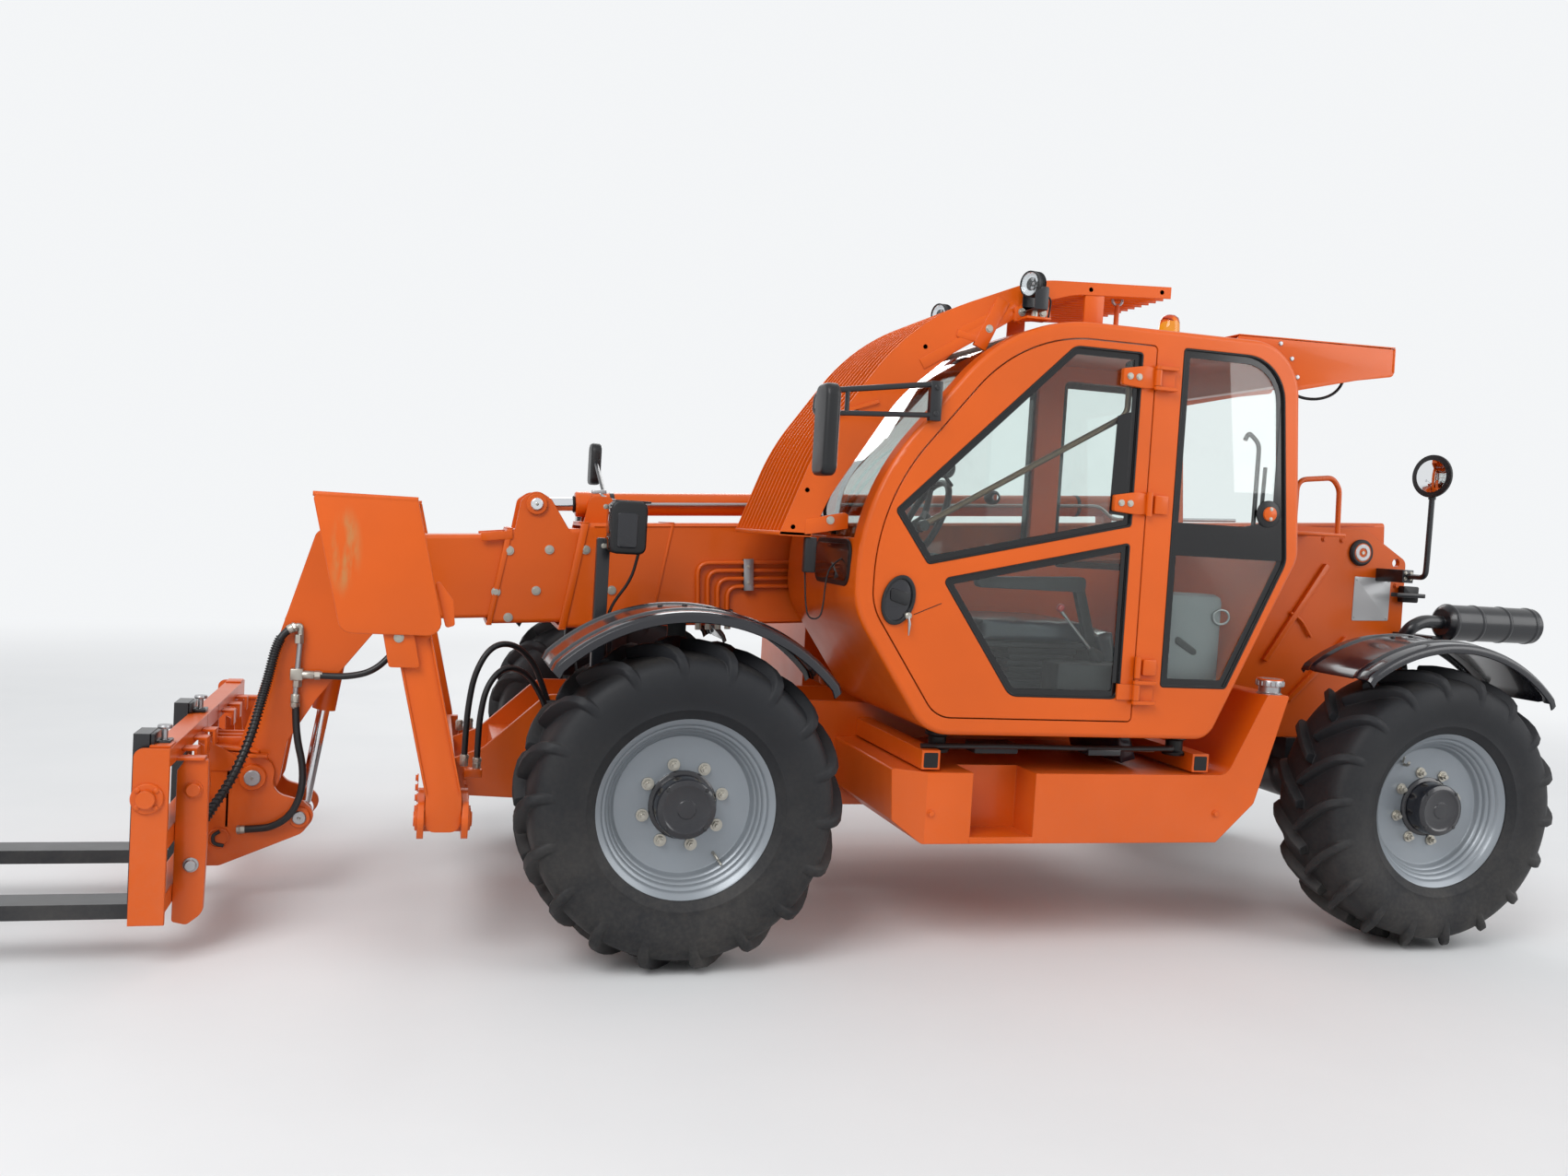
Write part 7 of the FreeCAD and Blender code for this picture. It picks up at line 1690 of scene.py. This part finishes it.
def make_stabilisers():
    """Stabiliser legs: a box beam, its pivot fork, and a pressed tray for a foot."""
    for name, side in (("left", 1), ("right", -1)):
        body = f"stabiliser_{name}"
        piece = Piece(f"stabiliser_leg_{name}", body)
        lean = math.tan(math.radians(13))

        def span(low, high):
            return (side * low, side * high) if side > 0 else (side * high, side * low)
        beam = rounded([(0.755, 0.480, 0.035), (0.875, 0.480, 0.035), (0.875, 0.600, 0.02), (0.875 + lean * 0.56, 1.160),
                        (0.755 + lean * 0.56, 1.160), (0.755, 0.600, 0.02)], 5)
        piece.prism(beam, *span(0.925, 0.995), "orange_plain", bevel=0.004)
        for offset in (0.0, 0.112):
            strip = [(0.757 + offset, 0.610), (0.763 + offset, 0.610), (0.763 + offset + lean * 0.53, 1.140),
                     (0.757 + offset + lean * 0.53, 1.140)]
            piece.prism(strip, *span(0.995, 1.001), "orange_plain", bevel=0.0015)
        ankle = rounded([(0.913, 1.040, 0.01), (1.013, 1.040, 0.01), (1.063, 1.280, 0.01), (0.963, 1.280, 0.01)], 4)
        for low, high in ((0.9235, 0.937), (0.983, 1.019)):
            piece.prism(ankle, *span(low, high), "orange_plain", bevel=0.003)
        tray = rounded([(0.839, 1.150, 0.045), (1.169, 1.150, 0.045), (1.273, 1.600, 0.016), (0.943, 1.600, 0.016)], 6)
        piece.prism(tray, *span(1.0255, 1.034), "stained_orange", bevel=0.003, segments=3)
        piece.prism(tray, *span(0.988, 1.0255), "stained_orange", bevel=0.0015, hole=grown(tray, -0.008))
        top = [Vector((0.941 + 0.002, side * 1.026, 1.599)), Vector((1.272, side * 1.026, 1.599))]
        piece.tube(top, 0.0085, "stained_orange", sides=12)
        for x in (1.02, 1.10):
            rib = [(x, 1.165), (x + 0.008, 1.165), (x + 0.008 + lean * 0.42, 1.585), (x + lean * 0.42, 1.585)]
            piece.prism(rib, *span(0.994, 1.026), "orange_plain", bevel=0.0015)
        flange = rounded([(0.836, 1.175, 0.01), (0.806, 1.185, 0.01), (0.816, 1.270, 0.01), (0.862, 1.330, 0.01),
                          (0.878, 1.325, 0.01)], 4)
        piece.prism(flange, *span(0.990, 1.000), "orange_plain", bevel=0.002)
        for x, facing in ((0.755, -1), (0.875, 1)):
            spot = Vector((x, side * 0.960, 0.520))
            piece.turned([(0, 0.034), (0.004, 0.034), (0.005, 0.024)], spot, "orange_plain", axis=(facing, 0, 0), sides=28)
        bolt(body, (1.000, side * 0.995, 1.090), (0, side, 0), 0.011, "round")
        bolt(body, (0.985, side * 1.019, 1.140), (0, side, 0), 0.011, "round")
        piece.done(f"stabiliser_{name}")


# Rear, frame and body panels
def make_rear():
    """Tower fittings, rear visor, muffler, rails and the tank's filler cap."""
    tower = Piece("tower_fittings", "chassis")
    for side in (1, -1):
        y = side * 0.260
        tower.turned([(0, 0.062), (0.012, 0.062), (0.020, 0.054), (0.020, 0.046), (0.008, 0.044), (0.008, 0)],
                     (-3.345, y, 1.628), "cast", axis=(0, side, 0), sides=44)
        tower.turned([(0.004, 0.043), (0.018, 0.043), (0.022, 0.038), (0.022, 0.022), (0.014, 0.018), (0.014, 0)],
                     (-3.345, y, 1.628), "bare_steel", axis=(0, side, 0), sides=36)
        bolt("chassis", (-3.345, y + side * 0.014, 1.628), (0, side, 0), 0.009, "hex")
    tower.prism(rounded([(-3.325, 1.305, 0.006), (-3.528, 1.312, 0.006), (-3.528, 1.512, 0.006), (-3.325, 1.515, 0.006)], 4),
                0.2603, 0.2622, "blank_plate", bevel=0.0005)
    for x in (-3.337, -3.516):
        for z in (1.322, 1.499):
            tower.turned([(0, 0.004), (0.002, 0.003), (0.0022, 0)], (x, 0.2622, z), "bare_steel", sides=10)
    tower.prism(rounded([(-3.575, 1.405, 0.008), (-3.660, 1.405, 0.008), (-3.660, 1.482, 0.008), (-3.575, 1.482, 0.008)], 4),
                0.240, 0.300, "black_plastic", bevel=0.004)
    tower.box((-3.660, 0.300, 1.430), (-3.500, 0.345, 1.450), "black_paint", 0.003)
    for z in (1.520, 1.545):
        for x in (-3.455, -3.485):
            bolt("chassis", (x, 0.440, z), (0, 1, 0), 0.006, "hex")
    tower.tube([(-2.790, 0.505, 1.700), (-2.790, 0.505, 1.930), (-2.970, 0.505, 1.950), (-3.010, 0.505, 1.905),
                (-3.018, 0.505, 1.700)], 0.012, "orange_plain", bend=0.05)
    tower.box((-3.045, 0.258, 1.690), (-2.760, 0.530, 1.704), "orange_plain", 0.003)
    for x, z in ((-3.140, 1.800), (-3.240, 1.800), (-3.52, 1.66), (-3.56, 1.60)):
        bolt("chassis", (x, 0.260, z - 0.12), (0, 1, 0), 0.010, "painted")
    for start, end in (((-2.86, 1.10), (-3.16, 1.56)), ((-3.00, 0.92), (-3.30, 1.22))):
        tower.bar(start, end, 0.014, 0.2603, 0.282, "orange_plain", bevel=0.004)
    tower.tube([(-3.10, 0.272, 1.22), (-3.04, 0.272, 1.30), (-2.98, 0.272, 1.33)], 0.007, "orange_plain", bend=0.03)
    tower.done()

    visor = Piece("visor_panels", "chassis")
    loop = rounded(mm([(-2060, 2405.6), (-2305.6, 2405.6, 210), (-2319, 2240), (-2345, 2236, 15), (-2620, 2300, 40),
                       (-2793, 2330, 20), (-2788, 2438, 18), (-2075, 2426)]), 8)
    for low in (1.050, 0.265):
        visor.prism(loop, low, low + 0.006, "orange_plain", bevel=0.001)
    skin = [(-2.072, 2.427), (-2.788, 2.441), (-2.788, 2.446), (-2.072, 2.432)]
    visor.prism(skin, 0.262, 1.059, "orange_plain", bevel=0.0015)
    for x in (-2.35, -2.55, -2.75):
        visor.box((x - 0.015, 0.271, 2.405), (x + 0.015, 1.050, 2.430), "orange_plain", 0.002)
    visor.prism([(-2.786, 2.345), (-2.792, 2.345), (-2.790, 2.440), (-2.784, 2.440)], 0.262, 1.059, "orange_plain", bevel=0.001)
    for x, z in ((-2.259, 2.412), (-2.314, 2.358), (-2.345, 2.289)):
        visor.turned([(0, 0.009), (0.005, 0.008), (0.006, 0)], (x, 1.056, z), "bare_steel", sides=14)
    for x, y, z in ((-2.450, 0.800, 2.372), (-2.750, 0.824, 2.376)):
        visor.turned([(0, 0.008), (0.012, 0.010), (0.035, 0.012)], (x, y, z), "black_plastic", axis=(0, 0, 1), sides=16)
    visor.done("roof_visor")

    muffler = Piece("muffler", "chassis")
    muffler.turned([(0, 0), (0, 0.060), (0.010, 0.074), (0.020, 0.082), (0.500, 0.082), (0.510, 0.074), (0.520, 0.060),
                    (0.520, 0)], (-4.120, 0.520, 1.330), "black_paint", axis=(1, 0, 0), sides=48)
    for x in (-4.080, -3.930, -3.780, -3.640):
        muffler.turned([(0, 0.0815), (0.006, 0.0855), (0.014, 0.0855), (0.020, 0.0815)], (x, 0.520, 1.330), "black_paint",
                       axis=(1, 0, 0), sides=48)
    muffler.tube([(-3.602, 0.520, 1.330), (-3.500, 0.520, 1.330), (-3.440, 0.520, 1.300), (-3.425, 0.500, 1.262)], 0.030,
                 "black_paint", bend=0.06, sides=24)
    muffler.tube([(-4.118, 0.520, 1.330), (-4.1195, 0.520, 1.330)], 0.030, "cast", sides=24)
    muffler.prism(mm([(-3640, 1240), (-3560, 1240), (-3560, 1262), (-3640, 1262)]), 0.2603, 0.520, "black_paint", bevel=0.003)
    for x in (-3.625, -3.575):
        muffler.box((x - 0.008, 0.430, 1.240), (x + 0.008, 0.610, 1.252), "black_paint", 0.002)
        bolt("chassis", (x, 0.300, 1.262), (0, 0, 1), 0.008, "hex")
    muffler.done("exhaust")

    body = Piece("tank_fittings", "chassis")
    for side in (1,):
        centre = (-2.380, 0.985, 1.030)
        body.turned([(0, 0.048), (0.004, 0.050), (0.010, 0.0425), (0.034, 0.0425), (0.035, 0.053), (0.056, 0.0535),
                     (0.062, 0.050), (0.0645, 0.040), (0.0645, 0)], centre, "bare_steel", axis=(0, 0, 1), sides=44)
        for step in range(18):
            turn = 2 * math.pi * step / 18
            body.tube([(centre[0] + 0.0535 * math.cos(turn), centre[1] + 0.0535 * math.sin(turn), 1.067),
                       (centre[0] + 0.0535 * math.cos(turn), centre[1] + 0.0535 * math.sin(turn), 1.084)], 0.0028,
                      "bare_steel", sides=6)
    for side in (1, -1):
        y = side * 1.050
        body.prism([(-1.349, 0.445), (-1.089, 0.445), (-1.089, 0.462), (-1.349, 0.462)], y - 0.004 if side > 0 else y - 0.002,
                   y + 0.002 if side > 0 else y + 0.004, "orange_plain", bevel=0.0015)
        for x, z in ((-0.930, 0.560), (-2.130, 0.560)):
            bolt("chassis", (x, y, z), (0, side, 0), 0.0105, "painted")
        # the square tube ends of the outriggers, their open mouths given as flat dark squares of painted shade, and the
        # black mounts under the cab
        for x in (-0.925, -2.060):
            tube_mouth_shade = rounded([(x - 0.028, 0.726, 0.005), (x + 0.028, 0.726, 0.005), (x + 0.028, 0.782, 0.005),
                              (x - 0.028, 0.782, 0.005)], 3)
            # a thin dark sheet on each tube end: painted shade for the inside of the open tube
            body.prism(tube_mouth_shade, *sorted((side * 1.0298, side * 1.0306)), "rubber_seal", bevel=0)
        if side > 0:
            for x in (-0.985, -2.000):
                body.turned([(0, 0.045), (0.012, 0.048), (0.020, 0.034), (0.058, 0.034), (0.066, 0.048), (0.080, 0.045)],
                            (x, 0.930, 0.772), "rubber_seal", axis=(0, 0, 1), sides=32)
            body.tube([(-0.90, 0.985, 0.800), (-1.20, 1.000, 0.806), (-1.60, 0.990, 0.800), (-1.95, 1.000, 0.806)], 0.011,
                      "hose_rubber", sides=10)
            body.tube([(-0.95, 0.945, 0.790), (-1.30, 0.950, 0.800), (-1.90, 0.945, 0.790)], 0.009, "bare_steel", sides=10)
            body.box((-1.72, 0.900, 0.775), (-1.58, 1.010, 0.800), "black_paint", 0.004)
            body.box((-1.30, 0.880, 0.772), (-1.12, 0.980, 0.812), "cast", 0.006)
    body.done()


def make_frame_fittings():
    """Bolts and brackets of the frame's nose, axles and hood."""
    nose = Piece("nose_fittings", "chassis")
    for side in (1, -1):
        for x in (0.736, 0.894):
            facing = -1 if x < 0.8 else 1
            nose.turned([(0, 0.040), (0.010, 0.040), (0.013, 0.036), (0.013, 0.026), (0.018, 0.025), (0.018, 0)],
                        (x, side * 0.960, 0.520), "orange_plain", axis=(facing, 0, 0), sides=28)
        for y in (0.300, 0.480, 0.660, 0.840):
            bolt("chassis", (0.899, side * y, 0.528), (1, 0, 0), 0.012, "painted")
            bolt("chassis", (0.731, side * y, 0.528), (-1, 0, 0), 0.012, "painted")
        for y in (0.420, 0.480):
            x = 0.735 if y == 0.420 else 0.690
            ferrule(nose, (x, side * y, 0.600), (0, 0, 1), 0.016, 0.045)
            if y == 0.480:
                nose.box((0.670, side * y - 0.025, 0.570), (0.735, side * y + 0.025, 0.602), "orange_plain", 0.004)
        low = sorted((side * 0.2603, side * 0.290))
        nose.box((0.360, low[0], 0.700), (0.440, low[1], 0.840), "cast", 0.008)
        for z in (0.745, 0.800):
            nose.tube([(0.400, side * 0.275, z), (0.400, side * 0.300, z)], 0.014, "zinc_bolt", sides=6)
    nose.done()
    for corner, side in CORNERS:
        end_x = 0.0 if corner.startswith("front") else REAR_AXLE
        for step in range(6):
            turn = 2 * math.pi * step / 6
            bolt(f"knuckle_{corner}", (end_x + 0.096 * math.cos(turn), side * 0.7575, AXLE_Z + 0.096 * math.sin(turn)),
                 (0, -side, 0), 0.008, "hex")
    axles = Piece("axle_fittings", "chassis")
    for end_x in (0.0, REAR_AXLE):
        axles.turned([(-0.03, 0), (-0.03, 0.10), (0.0, 0.128), (0.03, 0.128), (0.07, 0.10), (0.09, 0.05), (0.09, 0)],
                     (end_x + (-0.13 if end_x == 0 else 0.07), 0, AXLE_Z), "cast", axis=(-1 if end_x == 0 else 1, 0, 0), sides=36)
    shaft = ((-0.24, 0, AXLE_Z), (REAR_AXLE + 0.18, 0, AXLE_Z))
    axles.tube(shaft, 0.032, "cast", sides=20)
    for x in (-0.26, REAR_AXLE + 0.20, -1.55):
        axles.turned([(-0.03, 0.048), (0.03, 0.048)], (x, 0, AXLE_Z), "cast", axis=(1, 0, 0), sides=20)
    axles.done()
    hood = Piece("hood_fittings", "engine_hood")
    for x in (-1.05, -1.90):
        hood.prism(rounded([(x - 0.05, 1.235, 0.015), (x + 0.05, 1.235, 0.015), (x + 0.05, 1.265, 0.015), (x - 0.05, 1.265, 0.015)], 4),
                   -1.092, -1.084, "black_plastic", bevel=0.003)
    hood.tube([(-1.30, -1.084, 1.20), (-1.30, -1.105, 1.20), (-1.64, -1.105, 1.20), (-1.64, -1.084, 1.20)], 0.009, "black_paint",
              bend=0.02)
    for x in (-2.136, -0.804):
        hood.box((x - 0.003, -1.0865, 0.812), (x + 0.003, -1.0835, 1.250), "rubber_seal", 0.001)
    hood.done()


def make_engine():
    """The engine under its hood: crankcase, head, manifold, filters, belt drive and radiator."""
    piece = Piece("engine_dressed", "chassis")
    piece.box((-1.880, -0.880, 0.860), (-1.170, -0.400, 1.120), "cast", 0.012)
    piece.box((-1.840, -0.840, 0.800), (-1.250, -0.440, 0.866), "black_paint", 0.015)
    piece.box((-1.860, -0.820, 1.119), (-1.200, -0.460, 1.200), "cast", 0.006)
    piece.box((-1.840, -0.780, 1.199), (-1.220, -0.500, 1.275), "black_paint", 0.020)
    piece.box((-2.020, -1.010, 0.806), (-1.950, -0.400, 1.300), "black_paint", 0.010)
    for row in range(16):
        piece.box((-1.952, -0.990, 0.840 + row * 0.028), (-1.944, -0.420, 0.848 + row * 0.028), "bare_steel", 0.001)
    for cylinder in range(4):
        x = -1.765 + cylinder * 0.155
        piece.box((x - 0.066, -0.894, 0.900), (x - 0.058, -0.879, 1.100), "cast", 0.002)
        piece.tube([(x, -0.815, 1.165), (x, -0.895, 1.150)], 0.022, "cast", sides=16)
        piece.turned([(0, 0.040), (0.006, 0.040), (0.006, 0.030), (0.012, 0.028), (0.012, 0)], (x, -0.880, 1.010), "bare_steel",
                     axis=(0, -1, 0), sides=24)
        for y in (-0.765, -0.515):
            bolt("chassis", (x, y, 1.262), (0, 0, 1), 0.008, "hex")
    piece.tube([(-1.810, -0.900, 1.148), (-1.260, -0.900, 1.148), (-1.220, -0.900, 1.185)], 0.030, "cast", bend=0.04, sides=20)
    piece.turned([(-0.050, 0.030), (-0.045, 0.070), (-0.010, 0.078), (0.010, 0.050), (0.020, 0.050), (0.040, 0.074),
                  (0.055, 0.070), (0.060, 0.032)], (-1.215, -0.905, 1.235), "cast", axis=(1, 0, 0), sides=32)
    piece.tube([(-1.165, -0.905, 1.235), (-1.060, -0.905, 1.235), (-1.020, -0.840, 1.235), (-1.020, -0.600, 1.240)], 0.030,
               "hose_rubber", bend=0.08, sides=20)
    for x in (-1.430, -1.550):
        piece.turned([(0, 0.040), (0.004, 0.044), (0.130, 0.044), (0.138, 0.036), (0.138, 0.020)], (x, -0.930, 0.875),
                     "blank_plate", axis=(0, 0, 1), sides=32)
        piece.box((x - 0.040, -0.965, 1.012), (x + 0.040, -0.875, 1.040), "cast", 0.006)
    piece.turned([(-0.070, 0.020), (-0.065, 0.056), (-0.020, 0.062), (0.040, 0.062), (0.055, 0.050), (0.055, 0.022),
                  (0.080, 0.022), (0.080, 0.034), (0.098, 0.034), (0.098, 0)], (-1.235, -0.945, 0.985), "bare_steel",
                 axis=(1, 0, 0), sides=36)
    wheels = ((-0.640, 0.935, 0.095), (-0.640, 1.165, 0.062), (-0.945, 0.985, 0.034))
    for y, z, radius in wheels:
        piece.turned([(0, 0.020), (0.012, radius * 0.9), (0.014, radius), (0.018, radius * 0.92), (0.024, radius), (0.026, radius * 0.85),
                      (0.020, 0.020), (0.030, 0.018), (0.030, 0)], (-1.168, y, z), "cast", axis=(1, 0, 0), sides=40)
    belt = [(-0.595, 0.852), (-0.545, 0.930), (-0.578, 1.172), (-0.640, 1.228), (-0.700, 1.185), (-0.968, 1.012), (-0.972, 0.960),
            (-0.690, 0.853), (-0.640, 0.840)]
    belt = rounded([(y, z, 0.05) for y, z in belt], 4)
    piece.prism(belt, -1.152, -1.140, "rubber_seal", "x", bevel=0, hole=grown(belt, -0.006))
    piece.turned([(0, 0.030), (0.004, 0.046), (0.300, 0.046), (0.304, 0.030), (0.304, 0)], (-1.760, -0.640, 1.322), "black_plastic",
                 axis=(1, 0, 0), sides=36)
    for x in (-1.700, -1.520):
        piece.turned([(0, 0.0475), (0.016, 0.0475)], (x, -0.640, 1.322), "bare_steel", axis=(1, 0, 0), sides=36)
    piece.tube([(-1.456, -0.640, 1.322), (-1.380, -0.660, 1.322), (-1.330, -0.780, 1.300), (-1.290, -0.880, 1.262)], 0.026,
               "hose_rubber", bend=0.07, sides=20)
    piece.done("engine_block")


class HANDLER_OT_hoses(bpy.types.Operator):
    """Makes the hoses and cables"""
    bl_idname = "handler.hoses"
    bl_label = "Hoses"

    def execute(self, context):
        make_hoses()
        return {"FINISHED"}


class HANDLER_OT_boom(bpy.types.Operator):
    """Dresses the boom, its steel lines and its head"""
    bl_idname = "handler.boom"
    bl_label = "Boom"

    def execute(self, context):
        make_boom()
        return {"FINISHED"}


class HANDLER_OT_carriage(bpy.types.Operator):
    """Dresses the fork carriage"""
    bl_idname = "handler.carriage"
    bl_label = "Fork carriage"

    def execute(self, context):
        make_carriage()
        return {"FINISHED"}


class HANDLER_OT_stabilisers(bpy.types.Operator):
    """Makes the two stabilisers"""
    bl_idname = "handler.stabilisers"
    bl_label = "Stabilisers"

    def execute(self, context):
        make_stabilisers()
        return {"FINISHED"}


class HANDLER_OT_body(bpy.types.Operator):
    """Dresses the tower, visor, muffler, tanks, nose, axles, hood and engine"""
    bl_idname = "handler.body"
    bl_label = "Body and frame"

    def execute(self, context):
        make_rear()
        make_frame_fittings()
        make_engine()
        return {"FINISHED"}


# Steps in their order
OPERATORS = (HANDLER_OT_stage, HANDLER_OT_frame_finishes, HANDLER_OT_hoses, HANDLER_OT_wheels,
             HANDLER_OT_mudguards, HANDLER_OT_cab, HANDLER_OT_guard, HANDLER_OT_lights_and_mirrors,
             HANDLER_OT_boom, HANDLER_OT_carriage, HANDLER_OT_stabilisers, HANDLER_OT_body,
             HANDLER_OT_bolts)


class HANDLER_PT_panel(bpy.types.Panel):
    """Lists the steps that dress the handler"""
    bl_idname = "HANDLER_PT_panel"
    bl_label = "Telescopic handler"
    bl_space_type = "VIEW_3D"
    bl_region_type = "UI"
    bl_category = "Handler"

    def draw(self, context):
        for operator in OPERATORS:
            self.layout.operator(operator.bl_idname)


CLASSES = (HandlerSizes, HandlerColours, *OPERATORS, HANDLER_PT_panel)


def register():
    for entry in CLASSES:
        bpy.utils.register_class(entry)
    bpy.types.Scene.handler_sizes = PointerProperty(type=HandlerSizes)
    bpy.types.Scene.handler_colours = PointerProperty(type=HandlerColours)


def unregister():
    del bpy.types.Scene.handler_colours
    del bpy.types.Scene.handler_sizes
    for entry in reversed(CLASSES):
        bpy.utils.unregister_class(entry)


def main():
    register()
    for operator in OPERATORS:
        step = getattr(bpy.ops.handler, operator.bl_idname.split(".")[1])
        step()


if __name__ == "__main__":
    main()
